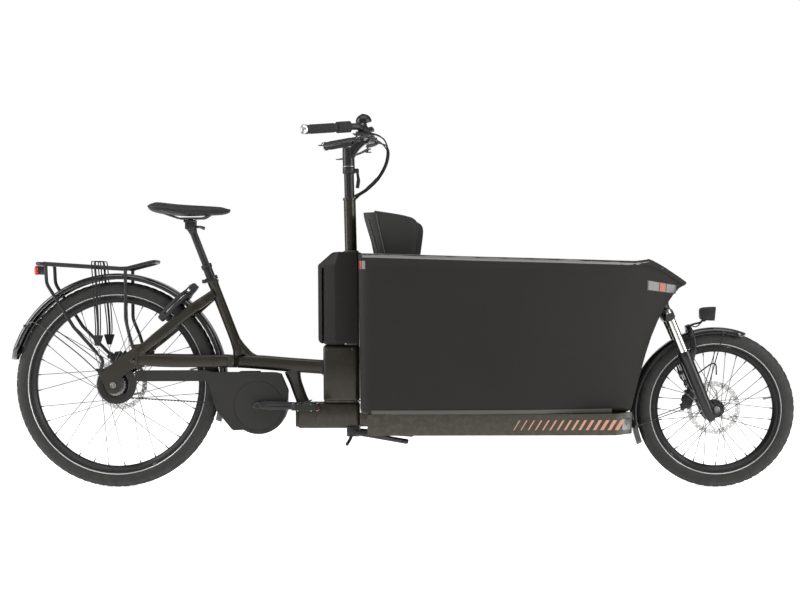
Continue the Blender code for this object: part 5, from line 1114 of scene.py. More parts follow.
def makeRearTriangle():
    inner, middle, s = 0.0713, stay["dropoutY"], stay["stayY"]
    corners = [(-0.051, 0.036), (-0.06, 0.057), (-0.034, 0.055), (-0.014, 0.066), (0.029, 0.097),
        (0.064, 0.123), (0.057, 0.136), (0.092, 0.14), (0.112, 0.108), (0.107, 0.062), (0.075, 0.06),
        (0.04, 0.038), (0.029, 0.027)]
    corners += [(0.03 * math.cos(a), 0.03 * math.sin(a)) for a in (math.radians(-d) for d in range(0, 181,
        15))]
    dropout = sidePlate("dropout", [(rearAxle.x + x, rearAxle.z + z) for x, z in corners],
        -inner - stay["thick"], -inner)
    windowPoints = [(0.05, 0.078), (0.078, 0.098), (0.09, 0.086), (0.084, 0.074), (0.066, 0.07)]
    window = sidePlate("window", [(rearAxle.x + x, rearAxle.z + z) for x, z in windowPoints], -0.1, -0.05)
    axleHole = disc("hole", 0.0066, 0.05, 0.1, rearAxle, -left, 32)
    dropout = softEdges(cutBy(dropout, axleHole, window), 0.001, 2, 50)
    chain = swept("chain_stay", smoothRoute([(rearAxle.x + 0.074, -middle, 0.438),
        (-0.835, -middle + 0.003, 0.4352), (-0.76, -s - 0.001, 0.4322), (-0.69, -s - 0.0015, 0.4318),
        (-0.62, -s, 0.4315), (-0.585, -s + 0.014, 0.4302), (-0.5475, -0.022, 0.429)], 8),
        roundSection(*stay["chain"], 0.0085, 5), [(0.5, 0.8), (0.9, 1.0), (1, 1), (1, 1), (1, 1)])
    seat = swept("seat_stay", smoothRoute([(rearAxle.x + 0.088, -middle, 0.4655), (-0.83, -middle + 0.003,
        0.501), (-0.76, -s - 0.006, 0.5575), (-0.69, -s + 0.001, 0.6115), (-0.655, -0.036, 0.638),
        (-0.626, -0.02, 0.66)], 8), roundSection(*stay["seat"], 0.008, 5), [(0.5, 0.8), (1, 0.95), (1, 1),
        (1, 0.95), (0.9, 0.85)])
    seams = [weld("seam", ringPoints((-0.6195, -s, 0.4315), (1, 0, 0), 0.0202, 0.0422, 20, 0.3), 0.001)]
    seams.append(weld("seam", ringPoints((-0.878, -middle, 0.437), (1, 0, -0.02), 0.0165, 0.0365, 16,
        0.35), 0.0012))
    seams.append(weld("seam", ringPoints((-0.8635, -middle, 0.4745), (0.8, 0, 0.58), 0.0145, 0.032, 16,
        0.35), 0.0012))
    right = joined("rear_triangle", dropout, chain, seat, *seams)
    other = mirrored(right, "left_half")
    yoke = swept("yoke", [(-0.564, -s + 0.003, 0.43), (-0.56, -0.03, 0.43), (-0.56, 0.03, 0.43),
        (-0.564, s - 0.003, 0.43)], roundSection(0.04, 0.04, 0.01, 5), [(0.55, 0.96), (1, 1), (1, 1),
        (0.55, 0.96)], (1, 0, 0))
    bridge = tube("bridge", smoothRoute([(-0.664, -0.046, 0.632), (-0.668, 0, 0.634),
        (-0.664, 0.046, 0.632)], 6), 0.0095, 16)
    cup = weld("seam", ringPoints((-0.5425, 0, 0.4292), (1, 0, -0.07), 0.0442, 0.0442, 20, 0.35), 0.0012)
    show(smooth(joined("rear_triangle", right, other, yoke, bridge, cup), 45), "framePaint", "frame",
        "rear_triangle")


def makeSeatTube():
    foot = seatPoint(0.4545)
    top = (seatTop - foot).length
    bore, r = 0.0163, 0.018
    profile = [(bore, 0.02), (bore, top), (r - 0.001, top), (r, top - 0.001), (r, top - 0.016),
        (r - 0.0006, top - 0.018), (r - 0.0006, 0.075), (r, 0.05), (r + 0.003, 0.02), (r + 0.01, -0.004),
        (bore, -0.006)]
    show(turned("seat_tube", profile, foot, seatUp, 48, closed=True), "framePaint", "frame", "seat_tube")
    # the swept tube web that carries the seat tube into the beam
    web = swept("seat_tube_web", smoothRoute([seatPoint(0.58), seatPoint(0.5, -0.004), (-0.512, 0, 0.454),
        (-0.47, 0, 0.436)], 8), roundSection(0.03, 0.03, 0.012, 5), [(0.5, 0.5), (0.9, 0.9), (1.1, 1.0),
        (1.0, 0.6)])
    cutBy(web, disc("bore", bore, 0.022, 0.3, foot, seatUp, 48))
    lug = [disc("boss", 0.0045, 0.015, 0.0215, seatPoint(z), -left, 16, 0.0008) for z in (0.56, 0.625)]
    show(joined("seat_tube_web", web, *lug), "framePaint", "frame", (), "frame_paint")


def makeSeatClamp():
    r = 0.0225
    collar = ringOf("seat_clamp", 0.0163, r, 0.0004, 0.014, seatTop, seatUp, 48, 0.0012)
    back = Vector((-seatUp.z, 0, seatUp.x))
    ear = seatTop + seatUp * 0.007 + back * (r + 0.003)
    lugs = [box("lug", ear + Vector((-0.0065, y - 0.004, -0.0062)), ear + Vector((0.0055, y + 0.004,
        0.0062)), 0.0018, 2) for y in (-0.0058, 0.0058)]
    bolt = disc("bolt", 0.003, -0.016, 0.014, ear, left, 16, 0.0005)
    nut = disc("nut", 0.0052, 0.0098, 0.0138, ear, left, 6, 0.0006)
    show(joined("seat_clamp", collar, *lugs, bolt, nut), "blackMetal", "frame", "seat_clamp")
    pin = jointAt["seat_clamp_lever_swing"]
    cam = disc("cam", 0.0054, -0.0064, 0.0064, pin, up, 24, 0.0008)
    handle = swept("handle", smoothRoute([pin, pin + Vector((0.018, -0.005, 0.001)),
        pin + Vector((0.036, -0.0065, 0.0015)), pin + Vector((0.053, -0.0068, 0.002))], 6),
        roundSection(0.0055, 0.011, 0.0022, 3), [(1, 0.8), (0.8, 0.9), (0.8, 1.05), (0.7, 1.0)])
    show(joined("seat_clamp_lever", cam, handle), "satinMetal", "seat_clamp_lever", "seat_clamp_lever")


def makeMainBeam():
    w, h = beam["width"], beam["height"]
    tubeBeam = swept("main_beam", smoothRoute([(beam["rear"] + 0.0085, 0, 0.4292), (-0.47, 0, 0.4252),
        (-0.36, 0, 0.4158), (beam["front"], 0, 0.4076)], 6), roundSection(w, h, 0.013, 6),
        [(1, 0.94), (1.0, 1.0), (1, 1), (1, 1)])
    strut = swept("strut", smoothRoute([(-0.36, 0, 0.398), (-0.346, 0, 0.35), (-0.328, 0, 0.3),
        (-0.31, 0, 0.258)], 5), roundSection(0.038, 0.042, 0.011, 5), [(1.1, 1.25), (1, 0.95), (1, 0.95),
        (1.1, 1.2)])
    lower = box("lower", (-0.342, -beam["lowerHalf"], 0.2), (column["front"] - 0.0002, beam["lowerHalf"],
        0.2896), 0.011, 4)
    bracket = box("bracket", (-0.172, -0.03, 0.172), (column["front"] - 0.0002, 0.03, 0.206), 0.003, 2)
    shaftRoom = disc("room", 0.0096, -0.1, 0.1, jointAt["kickstand_fold"], left, 32)
    cutBy(bracket, shaftRoom)
    plug = box("plug", (-0.3445, -0.0215, 0.205), (-0.341, 0.0215, 0.2846), 0.006, 3)
    beads = [weld("seam", ringPoints((beam["front"] - 0.0016, 0, 0.4077), (1, 0, -0.07), w + 0.002,
        h + 0.002, 20, 0.34), beam["weld"]), weld("seam", ringPoints((-0.356, 0, 0.3935),
        (0.28, 0, -0.96), 0.042, 0.048, 20, 0.36), 0.0019), weld("seam", ringPoints((-0.316, 0, 0.2885),
        (0.28, 0, -0.96), 0.04, 0.046, 20, 0.36), 0.0019), weld("seam", ringPoints((-0.278, 0, 0.2448),
        (1, 0, 0), 0.0522, 0.0896, 24, 0.25), 0.0008)]
    bosses = [disc("boss", 0.0042, 0.0255, 0.0285, (x, 0, 0.246), -left, 20, 0.0007) for x in (-0.235,
        -0.205)]
    show(smooth(joined("main_beam", tubeBeam, strut, lower, bracket, plug, *beads, *bosses), 45),
        "framePaint", "frame", "main_beam")


def makeColumn():
    c = column
    case = box("column_frame", (c["rear"], -c["half"], c["bottom"]), (c["front"] + 0.0003, c["half"],
        c["top"]), 0.013, 5)
    post = box("post", (-0.171, -0.038, 0.47), (c["front"] - 0.0007, 0.038, 0.793), 0.005, 3)
    pipe = turned("pipe", [(0.0178, 0.035), (0.0178, 0.2045), (0.0222, 0.2045), (0.0228, 0.2038),
        (0.0228, 0.1962), (0.0222, 0.1955), (c["tubeR"], 0.1952), (c["tubeR"], 0.0), (0.0178, 0.0)],
        columnPoint(0.78), columnUp, 48, closed=True)
    foot = [weld("seam", ringPoints(((c["rear"] + c["front"]) / 2, 0, c["bottom"] + 0.0012), (0, 0, 1),
        c["half"] * 2 - 0.001, c["front"] - c["rear"] - 0.002, 28, 0.28), beam["weld"] * 0.8)]
    bolts = [disc("bolt", 0.0048, c["half"] - 0.0008, c["half"] + 0.0022, (x, 0, z), -left, 6,
        0.0006) for x, z in ((-0.235, 0.47), (-0.15, 0.47))]
    show(joined("column_frame", case, post, pipe, *foot, *bolts), "framePaint", "frame", "column_frame")


def makeBattery():
    pack = box("battery_pack", (-0.246, -0.066, 0.4856), (-0.1728, 0.066, 0.745), 0.009, 3)
    show(pack, "blackPlastic", "frame", "battery_pack")
    # the cover: wide slanted rear facets, a sloping roof and a rounded foot
    levels = [(0.4892, -0.252, -0.002), (0.493, -0.259, -0.0006), (0.502, -0.264, 0), (0.753, -0.264, 0),
        (0.7575, -0.261, 0), (0.792, -0.2215, 0), (0.7965, -0.215, -0.0008), (0.7988, -0.208, -0.0035)]
    rings = []
    for z, rear, shrink in levels:
        half = 0.088 + shrink
        cut = min(-0.192, rear + 0.06)
        ring = [(-0.1262, -half), (cut, -half), (rear + 0.006, -half + 0.026), (rear, -half + 0.034)]
        rings.append([Vector((x, y, z)) for x, y in ring] + [Vector((x, -y,
            z)) for x, y in reversed(ring)])
    cover = sheetOf("battery_cover", rings)
    cover = softEdges(cover, 0.0022, 3, 14)
    hollow = box("hollow", (-0.25, -0.07, 0.4), (-0.1, 0.07, 0.748), 0.004, 1)
    mouth = box("mouth", (-0.168, -0.0845, 0.4), (-0.1, 0.0845, 0.788), 0.004, 1)
    hole = disc("hole", 0.0209, -0.02, 0.1, columnPoint(0.76), columnUp, 48)
    cover = cutBy(cover, hollow, mouth, hole)
    show(smooth(cover, 30), "tubPlastic", "frame", "battery_cover")
    lip = turned("column_sleeve", [(0.021, 0), (0.0262, 0), (0.0262, 0.0026), (0.0248, 0.0048),
        (0.021, 0.0052)], columnPoint(0.7992), columnUp, 48, closed=True)
    show(lip, "paleTrimAndPaintedHighlight", "frame", (), "tub_plastic")
    lock = disc("lock", 0.0085, 0.087, 0.0902, (-0.16, 0, 0.7), left, 32, 0.0008)
    keyway = box("keyway", (-0.161, 0.0896, 0.6955), (-0.159, 0.091, 0.7045), 0.0004, 1)
    show(joined("battery_lock", lock, keyway), "steel", "frame", (), "steel")


def makePlatform():
    p = platform
    front = frontAxle.x - 0.288
    low, w, r = p["top"] - p["height"], p["half"], p["rail"]
    outline = [(p["rear"], -w), (front - 0.058, -w), (front, -w + 0.085), (front, w - 0.085),
        (front - 0.058, w), (p["rear"], w)]
    tray = plate("cargo_platform", [(x, y, low) for x, y in outline], (0, 0, p["height"]))
    inside = [(p["rear"] + r, -w + r), (front - 0.058 - r * 0.4, -w + r),
        (front - r, -w + 0.085 + r * 0.4), (front - r, w - 0.085 - r * 0.4), (front - 0.058 - r * 0.4,
        w - r), (p["rear"] + r, w - r)]
    pocket = plate("pocket", [(x, y, low - 0.01) for x, y in inside],
        (0, 0, p["height"] - p["sheet"] + 0.01))
    passage = box("passage", (p["rear"] - 0.01, -0.19, low - 0.01), (p["rear"] + r + 0.01, 0.19, 0.222))
    wheelRoom = disc("wheel_room", 0.315, -0.12, 0.12, frontAxle, left, 96)
    cutBy(tray, pocket, passage, wheelRoom)
    softEdges(tray, 0.004, 4, 40)
    spine = box("spine", (column["front"] + 0.0003, -0.034, 0.206), (frontAxle.x - 0.322, 0.034, 0.2536),
        0.006, 3)
    ribs = [box("rib", (x - 0.008, -w + r * 0.9, 0.222), (x + 0.008, w - r * 0.9, 0.2538), 0.002,
        1) for x in (0.16, 0.42)]
    seams = []
    for sign in (-1, 1):
        seams.append(box("seam", (-0.0368, sign * w - 0.0012, low + 0.003), (-0.0352, sign * w + 0.0004,
            p["top"] - 0.003), 0.0003, 1))
        for x in (-0.066, 0.7):
            seams.append(disc("bolt", 0.005, w - 0.001, w + 0.002, (x, 0, low + 0.028), left * sign, 6,
                0.0006))
    show(smooth(joined("cargo_platform", tray, spine, *ribs, *seams), 40), "railPaint", "frame",
        "cargo_platform")
    for sign, name in ((-1, "right"), (1, "left")):
        bars = []
        count = 15
        for k in range(count):
            # slanted bars that thin out towards the back
            x = 0.392 + 0.0235 * k
            wide = 0.0035 + 0.0095 * (k / (count - 1)) ** 1.4
            lean, zLow, zHigh = 0.02, low + 0.018, low + 0.05
            bars.append(plate("bar", [(x, sign * (w + 0.00005), zLow), (x + wide, sign * (w + 0.00005),
                zLow), (x + wide + lean, sign * (w + 0.00005), zHigh), (x + lean, sign * (w + 0.00005),
                zHigh)], (0, sign * 0.00035, 0)))
        show(joined(name + "_rail_decal", *bars), "copper", "frame", (), "platform_paint")
    for sign, name in ((-1, "right"), (1, "left")):
        clip = box("clip", (0.745, sign * 0.178 - 0.01, low + 0.014), (0.7905, sign * 0.178 + 0.01,
            low + 0.052), 0.003, 2)
        screw = disc("screw", 0.0042, 0.01, 0.0125, (0.77, sign * 0.178, low + 0.034), left * sign, 8,
            0.0005)
        show(turnedBy(joined(name + "_front_bracket", clip, screw), (0.76, sign * 0.19, 0.22), (0, 0, 1),
            sign * -52), "greyMetal", "frame", (), "steel")


def makeNeck():
    foot = frontAxle.x - 0.3555
    head = forkPoint(0, 0, 0.438)
    base = Vector((foot, 0, platform["top"] + 0.0004))
    neck = swept("front_neck", smoothRoute([base, base.lerp(head, 0.35), base.lerp(head, 0.7), head], 5),
        roundSection(0.038, 0.036, 0.01, 5), [(1.0, 1.0), (1, 0.98), (1, 0.98), (1, 1.0)])
    headTube = turned("head_tube", [(0.0148, 0.386), (0.0148, 0.498), (0.0225, 0.498), (0.0228, 0.4965),
        (0.0228, 0.49), (0.0215, 0.4885), (0.0212, 0.4), (0.0228, 0.3975), (0.0228, 0.3875),
        (0.0225, 0.386)], forkFoot, forkUp, 48, closed=True)
    bead = weld("seam", ringPoints(base.lerp(head, 0.02), head - base, 0.04, 0.038, 20, 0.4), 0.0014)
    show(smooth(joined("front_neck", neck, headTube, bead), 45), "framePaint", "frame", "front_neck")


def makeKickstand():
    pivot = jointAt["kickstand_fold"]
    toe = Vector((0.0446, 0, 0.1646)) - pivot
    parts = [disc("shaft", 0.009, -0.058, 0.058, pivot, left, 32, 0.0012)]
    for sign in (-1, 1):
        y = left * sign
        knee = [pivot + y * 0.05, pivot + toe * 0.1 + y * 0.0555, pivot + toe * 0.3 + y * 0.075,
            pivot + toe * 0.62 + y * 0.112, pivot + toe * 0.93 + y * 0.15]
        parts.append(tube("leg", smoothRoute(knee, 6), 0.0085, 20))
        parts.append(disc("knuckle", 0.0135, -0.007, 0.0075, pivot + y * 0.0495, left, 32, 0.0015))
        foot = knee[-1]
        parts.append(swept("foot", [foot - toe * 0.03, foot + toe * 0.02, foot + toe * 0.07],
            roundSection(0.03, 0.016, 0.005, 4), [(0.8, 0.9), (1, 1), (0.9, 0.8)]))
        parts.append(disc("bolt", 0.0045, 0.0075, 0.0105, pivot + y * 0.0495, y, 6, 0.0006))
    parts.append(tube("foot_lever", smoothRoute([pivot + Vector((0, -0.05, 0)),
        pivot + Vector((-0.008, -0.054, -0.022)), pivot + Vector((-0.018, -0.072, -0.04))], 6), 0.0055,
        16))
    show(smooth(joined("kickstand", *parts), 45), "blackMetal", "kickstand", "kickstand")


makeRearTriangle()
makeSeatTube()
makeSeatClamp()
makeMainBeam()
makeColumn()
makeBattery()
makePlatform()
makeNeck()
makeKickstand()


print("drive")
belt = {"y": -0.0525, "half": 0.005, "thick": 0.0026, "slack": 0.0006, "frontR": 0.08754,
    "rearR": 0.03852, "pitch": 0.011}
cover = {"outer": -0.0655, "inner": -0.0443, "wall": 0.0025, "insetR": 0.083}
pedal = {"half": 0.045, "near": 0.0105, "far": 0.104, "thick": 0.013}


def makeDriveUnit():
    back = rearAxle.x + 0.387
    outline = [(back, 0.3), (back + 0.014, 0.25), (-0.53, 0.205), (-0.5, 0.19)]
    outline += [(crankAxis.x + 0.092 * math.cos(math.radians(a)),
        crankAxis.z + 0.092 * math.sin(math.radians(a))) for a in range(-90, -14, 15)]
    outline += [(-0.378, 0.33), (-0.402, 0.3865), (back, 0.3865)]
    housing = sidePlate("drive_unit", outline, -0.044, 0.05, 0.006, 4)
    swell = turned("swell", [(0, 0.046), (0.074, 0.046), (0.072, 0.052), (0.067, 0.058), (0.06, 0.0608),
        (0.03, 0.0618), (0.02, 0.06), (0, 0.06)], crankAxis, left, 64)
    lug = box("lug", (-0.54, -0.02, 0.38), (-0.47, 0.02, 0.3955), 0.003, 2)
    fins = [box("fin", (-0.545 + 0.02 * k, -0.03, 0.2 + 0.004 * abs(k - 1)), (-0.541 + 0.02 * k, 0.0525,
        0.36), 0.0012, 1) for k in range(3)]
    bolts = [disc("bolt", 0.0052, 0.0495, 0.0535, (x, 0, z), left, 6, 0.0008) for x, z in ((-0.556, 0.3),
        (-0.556, 0.37), (-0.4, 0.366), (-0.386, 0.3), (-0.5, 0.204))]
    hole = disc("hole", 0.0126, -0.1, 0.1, crankAxis, left, 48)
    body = joined("drive_unit", cutBy(housing, copied(hole, "hole_copy")), cutBy(swell, hole), lug, *fins,
        *bolts)
    show(smooth(body), "blackPlastic", "frame", "drive_unit", "black_metal")


def makeMotorCover():
    reach = belt["frontR"] + 0.006
    arc = [(crankAxis.x + (reach + 0.004) * math.cos(math.radians(a)),
        crankAxis.z + (reach + 0.004) * math.sin(math.radians(a))) for a in range(-122, -17, 8)]
    outline = [(-0.64, 0.364), (-0.638, 0.356), (-0.637, 0.35), (-0.612, 0.264), (-0.56, 0.201),
        (-0.553, 0.1965)] + arc
    outline += [(-0.366, 0.33), (-0.382, 0.364), (-0.3925, 0.3835), (-0.403, 0.392), (-0.42, 0.3935),
        (-0.63, 0.395), (-0.644, 0.4), (-0.66, 0.401), (-0.88, 0.401), (-0.88, 0.364)]
    case = sidePlate("motor_cover", outline, cover["outer"], cover["inner"])
    inside = [(-0.637, 0.367), (-0.634, 0.35), (-0.609, 0.2655), (-0.553, 0.201)]
    inside += [(crankAxis.x + reach * math.cos(math.radians(a)),
        crankAxis.z + reach * math.sin(math.radians(a))) for a in range(-120, -17, 10)]
    inside += [(-0.37, 0.329), (-0.398, 0.386), (-0.406, 0.3895), (-0.64, 0.391), (-0.647, 0.398),
        (-0.9, 0.398), (-0.9, 0.367)]
    hollow = sidePlate("hollow", inside, cover["outer"] + cover["wall"], cover["inner"] + 0.01)
    mouth = box("mouth", (-0.66, cover["outer"] + cover["wall"], 0.284), (-0.59, 0.0, 0.312))
    hole = disc("hole", 0.0136, 0, 0.2, crankAxis, -left, 48)
    # a round inset panel about the crank, a seam beside it and a raised rib along the top
    groove = turned("groove", [(cover["insetR"] - 0.0012, -0.1), (cover["insetR"] - 0.0012,
        cover["outer"] + 0.0012), (cover["insetR"] + 0.0012, cover["outer"] + 0.0012),
        (cover["insetR"] + 0.0012, -0.1)], crankAxis, left, 96, closed=True)
    cutBy(case, hollow, mouth, hole, groove)
    softEdges(case, 0.0016, 3, 42)
    panel = turned("panel", [(0.014, cover["outer"] + 0.0004), (0.014, cover["outer"] - 0.0012),
        (0.03, cover["outer"] - 0.0014), (0.068, cover["outer"] - 0.0011), (cover["insetR"] - 0.0016,
        cover["outer"] - 0.0003), (cover["insetR"] - 0.0014, cover["outer"] + 0.0004)], crankAxis, left,
        96, closed=True)
    rib = swept("rib", smoothRoute([(-0.64, cover["outer"], 0.3905), (-0.56, cover["outer"], 0.3875),
        (-0.46, cover["outer"], 0.3835), (-0.424, cover["outer"], 0.3815), (-0.408, cover["outer"],
        0.376), (-0.398, cover["outer"], 0.36)], 6), roundSection(0.0016, 0.0022, 0.0007, 2))
    fold = swept("fold", [(-0.6375, cover["outer"], 0.35), (-0.6, cover["outer"], 0.262),
        (-0.556, cover["outer"], 0.203)], roundSection(0.0012, 0.0018, 0.0005, 2))
    middle = rearAxle + Vector((0.009, 0, 0.003))
    guard = turned("guard", [(0.044, cover["outer"] + 0.002), (0.044, cover["outer"] - 0.0004),
        (0.0455, cover["outer"] - 0.0015), (0.0665, cover["outer"] - 0.0015), (0.068, cover["outer"]),
        (0.068, cover["outer"] + 0.002)], middle, left, 96, closed=True)
    tab = box("tab", (-0.8895, cover["outer"] - 0.001, 0.365), (-0.866, cover["outer"] + 0.0015, 0.4),
        0.0008, 1)
    screws = [disc("screw", 0.0042, -cover["outer"] - 0.0005, -cover["outer"] + 0.0012, (x, 0, z), -left,
        16, 0.0005) for x, z in ((-0.86, 0.3825), (-0.66, 0.383), (-0.606, 0.3), (-0.54, 0.212),
        (-0.392, 0.3))]
    show(smooth(joined("motor_cover", case, panel, rib, fold, guard, tab, *screws)), "coverPlastic",
        "frame", "motor_cover")


def beltLine(extra):
    wheels = [(rearAxle, belt["rearR"] + extra), (jointAt["belt_idler_spin"],
        -(0.013 + belt["slack"] + 0.003) + extra), (crankAxis, belt["frontR"] + extra)]
    headings = []
    for (start, first), (end, second) in zip(wheels, wheels[1:] + wheels[:1]):
        gap = end - start
        headings.append(math.atan2(gap.z, gap.x) + math.asin((first - second) / math.hypot(gap.x, gap.z)))
    points = []
    for k, (centre, radius) in enumerate(wheels):
        entry, leave = headings[k - 1], headings[k]
        while radius > 0 and leave < entry:
            leave += 2 * math.pi
        steps = (32, 10, 56)[k]
        for j in range(steps + 1):
            heading = entry + (leave - entry) * j / steps
            points.append(Vector((centre.x + radius * math.sin(heading), 0,
                centre.z - radius * math.cos(heading))))
    return points


def makeBelt():
    points = beltLine(belt["slack"] + belt["thick"] / 2)
    rings = []
    count = len(points)
    section = roundSection(2 * belt["half"], belt["thick"], 0.0006, 2)
    for k, point in enumerate(points):
        along = (points[(k + 1) % count] - points[k - 1]).normalized()
        out = along.cross(left)
        rings.append([point + left * (belt["y"] + u) + out * v for u, v in section])
    loop = smooth(sheetOf("drive_belt", rings, closed=True), 50)
    # teeth stand on the inner side of the two long free runs
    teeth = []
    for k in range(count):
        a, b = points[k], points[(k + 1) % count]
        gap = b - a
        if gap.length < 0.05:
            continue
        along = gap.normalized()
        inner = along.cross(left) * -1
        number = int(gap.length / belt["pitch"])
        for j in range(1, number):
            spot = a + along * (belt["pitch"] * j) + left * belt["y"] + inner * (belt["thick"] / 2)
            teeth.append([spot - along * 0.0028 - inner * 0.0004, spot - along * 0.0017 + inner * 0.0022,
                spot + along * 0.0017 + inner * 0.0022, spot + along * 0.0028 - inner * 0.0004])
    blocks = [plate("tooth", [p - left * belt["half"] * 0.92 for p in four],
        left * belt["half"] * 1.84) for four in teeth]
    show(joined("drive_belt", loop, *blocks), "beltRubber", "frame", "drive_belt")
    idler = turned("belt_idler", [(0, -0.007), (0.004, -0.007), (0.0046, -0.0062), (0.011, -0.006),
        (0.013, -0.0052), (0.013, 0.0052), (0.011, 0.006), (0.0046, 0.0062), (0.004, 0.007), (0, 0.007)],
        jointAt["belt_idler_spin"] + left * belt["y"], left, 40)
    show(idler, "blackPlastic", "belt_idler", "belt_idler")


def makeCrankset():
    foot = crankAxis + left * belt["y"]
    ring = [aroundAxle(foot, r, degrees, -0.0055) for r, degrees in toothedOutline(belt["frontR"], 50,
        0.0022)]
    chainring = plate("crankset", ring, (0, 0.011, 0))
    cutBy(chainring, disc("inside", belt["frontR"] - 0.014, -0.02, 0.02, foot, left, 90))
    spider = swept("spider", [aroundAxle(foot, 0.012, 0), aroundAxle(foot, 0.05, 4),
        aroundAxle(foot, belt["frontR"] - 0.0115, 0)], roundSection(0.005, 0.018, 0.0015, 2),
        [(1, 1.3), (1, 0.8), (1, 1.0)])
    spiderBolt = disc("bolt", 0.0048, -0.007, 0.007, aroundAxle(foot, belt["frontR"] - 0.0205, 0), left,
        16, 0.0006)
    spiders = around(joined("spider", spider, spiderBolt), 4, foot, (0, 1, 0))
    turnedBy(spiders, foot, (0, 1, 0), 45)
    boss = turned("boss", [(0, -0.01), (0.02, -0.01), (0.024, -0.004), (0.024, 0.004), (0.02, 0.006),
        (0, 0.006)], foot, left, 40)
    axle = disc("axle", 0.012, -0.087, 0.087, crankAxis, left, 40, 0.001)
    show(smooth(joined("crankset", chainring, spiders, boss, axle)), "blackMetal", "crank", "crankset")
    for sign, name in ((-1, "right"), (1, "left")):
        y = left * sign
        start = crankAxis + y * 0.0845
        eye = start + Vector((-sign * 0.17, 0, 0))
        way = (eye - start).normalized()
        arm = swept("arm", smoothRoute([start - way * 0.0185, start - way * 0.015, start,
            start + way * 0.05, start + way * 0.12, eye, eye + way * 0.0125, eye + way * 0.0155], 6),
            roundSection(0.012, 0.03, 0.0052, 4), [(0.7, 0.35), (0.95, 0.78), (1, 1.04), (1, 0.98),
            (0.98, 0.9), (0.98, 0.86), (0.95, 0.72), (0.7, 0.36)])
        recess = swept("recess", [start + way * 0.03 + y * 0.006, start + way * 0.14 + y * 0.006],
            roundSection(0.0014, 0.011, 0.0006, 2), [(1, 0.7), (1, 1.0)])
        cutBy(arm, recess)
        cap = turned("cap", [(0, 0.0055), (0.0118, 0.0055), (0.0118, 0.0068), (0.0108, 0.0076),
            (0.006, 0.0076), (0.0052, 0.0064), (0, 0.0064)], start, y, 32)
        pinch = [disc("pinch", 0.0026, -0.006, 0.009, start + way * (0.016 + 0.01 * k) + Vector((0, 0,
            0.0085)), up, 12, 0.0005) for k in range(2)]
        spindle = disc("spindle", 0.0046, -0.0062, 0.078, eye, y, 24, 0.0006)
        collar = disc("collar", 0.008, 0.0055, 0.0098, eye, y, 24, 0.0008)
        show(joined(name + "_crank_arm", arm, cap, *pinch), "armMetal", "crank", (), "black_metal")
        show(joined(name + "_pedal_spindle", spindle, collar), "steel", "crank", (), "black_metal")
        makePedal(name, sign, eye)


def makePedal(name, sign, eye):
    p = pedal
    y0, y1 = sorted((eye.y + sign * p["near"], eye.y + sign * p["far"]))
    middle = (y0 + y1) / 2
    corner = 0.012
    outline = [(-p["half"] + corner, y0), (p["half"] - corner, y0), (p["half"], y0 + corner),
        (p["half"] - 0.003, middle), (p["half"], y1 - corner), (p["half"] - corner, y1),
        (-p["half"] + corner, y1), (-p["half"], y1 - corner), (-p["half"] + 0.003, middle),
        (-p["half"], y0 + corner)]
    cage = plate(name + "_pedal", [(eye.x + x, y, eye.z - 0.0105) for x, y in outline], (0, 0, 0.021))
    windows = [box("window", (eye.x + x - 0.0125, middle - 0.034, eye.z - 0.1),
        (eye.x + x + 0.0125, middle + 0.034, eye.z + 0.1), 0.004, 2) for x in (-0.0235, 0.0235)]
    cutBy(cage, *windows)
    softEdges(cage, 0.0022, 3, 40)
    barrel = turned("barrel", [(0.0055, p["near"] + 0.0006), (0.0105, p["near"] + 0.0006), (0.0112, 0.02),
        (0.01, 0.05), (0.0092, 0.096), (0.007, 0.101), (0, 0.101), (0, 0.08), (0.0055, 0.08)], eye,
        left * sign, 32, closed=False)
    bore = disc("bore", 0.0052, 0, 0.0805, eye, left * sign, 32)
    cutBy(cage, bore)
    pins = []
    for x in (-0.0405, 0.0405):
        for y in (y0 + 0.018, middle, y1 - 0.018):
            pins.append(disc("pin", 0.0016, -0.013, 0.013, (eye.x + x, y, eye.z), up, 8, 0.0003))
    for x in (-0.022, 0.022):
        for y in (y0 + 0.0055, y1 - 0.0055):
            pins.append(disc("pin", 0.0016, -0.0128, 0.0128, (eye.x + x, y, eye.z), up, 8, 0.0003))
    show(smooth(joined(name + "_pedal", cage, barrel)), "blackPlastic", name + "_pedal", name + "_pedal")
    show(joined(name + "_pedal_pins", *pins), "steel", name + "_pedal", (), "steel")
    # the amber pedal reflectors glow faintly: painted light
    for x in (-1, 1):
        glint = box("glint", (eye.x + x * p["half"] - 0.0012, middle - 0.02, eye.z - 0.006),
            (eye.x + x * p["half"] + 0.0001, middle + 0.02, eye.z + 0.006), 0.0004, 1)
        glint.data.transform(Matrix.Translation((-0.0006 * x, 0, 0)))
        show(named(glint, name + ("_pedal_front_reflector" if x > 0 else "_pedal_rear_reflector")),
            "amberLensPaintedGlow", name + "_pedal", (), "red_lens")


makeDriveUnit()
makeMotorCover()
makeBelt()
makeCrankset()


print("rear rack, fender and lock")
fender = {"half": 0.038, "wall": 0.0018, "drop": 0.02, "rear": 0.381, "front": 0.274}
rack = {"r": 0.0065, "half": 0.06, "footY": 0.0844}


def fenderSection(half, drop):
    # a rolled edge, a crowned top and the way back along the inner side
    shape = [(-1.0, -drop), (-0.995, -drop * 0.8), (-0.965, -drop * 0.55), (-0.88, -drop * 0.3),
        (-0.7, -drop * 0.12), (-0.42, -drop * 0.03), (0, 0)]
    shape += [(-share, rise) for share, rise in reversed(shape[:-1])]
    outer = [(share * half, rise) for share, rise in shape]
    wall = fender["wall"]
    inner = [(share * (half - wall), rise - (0 if abs(share) == 1.0 else wall)) for share, rise in shape]
    return outer + list(reversed(inner))


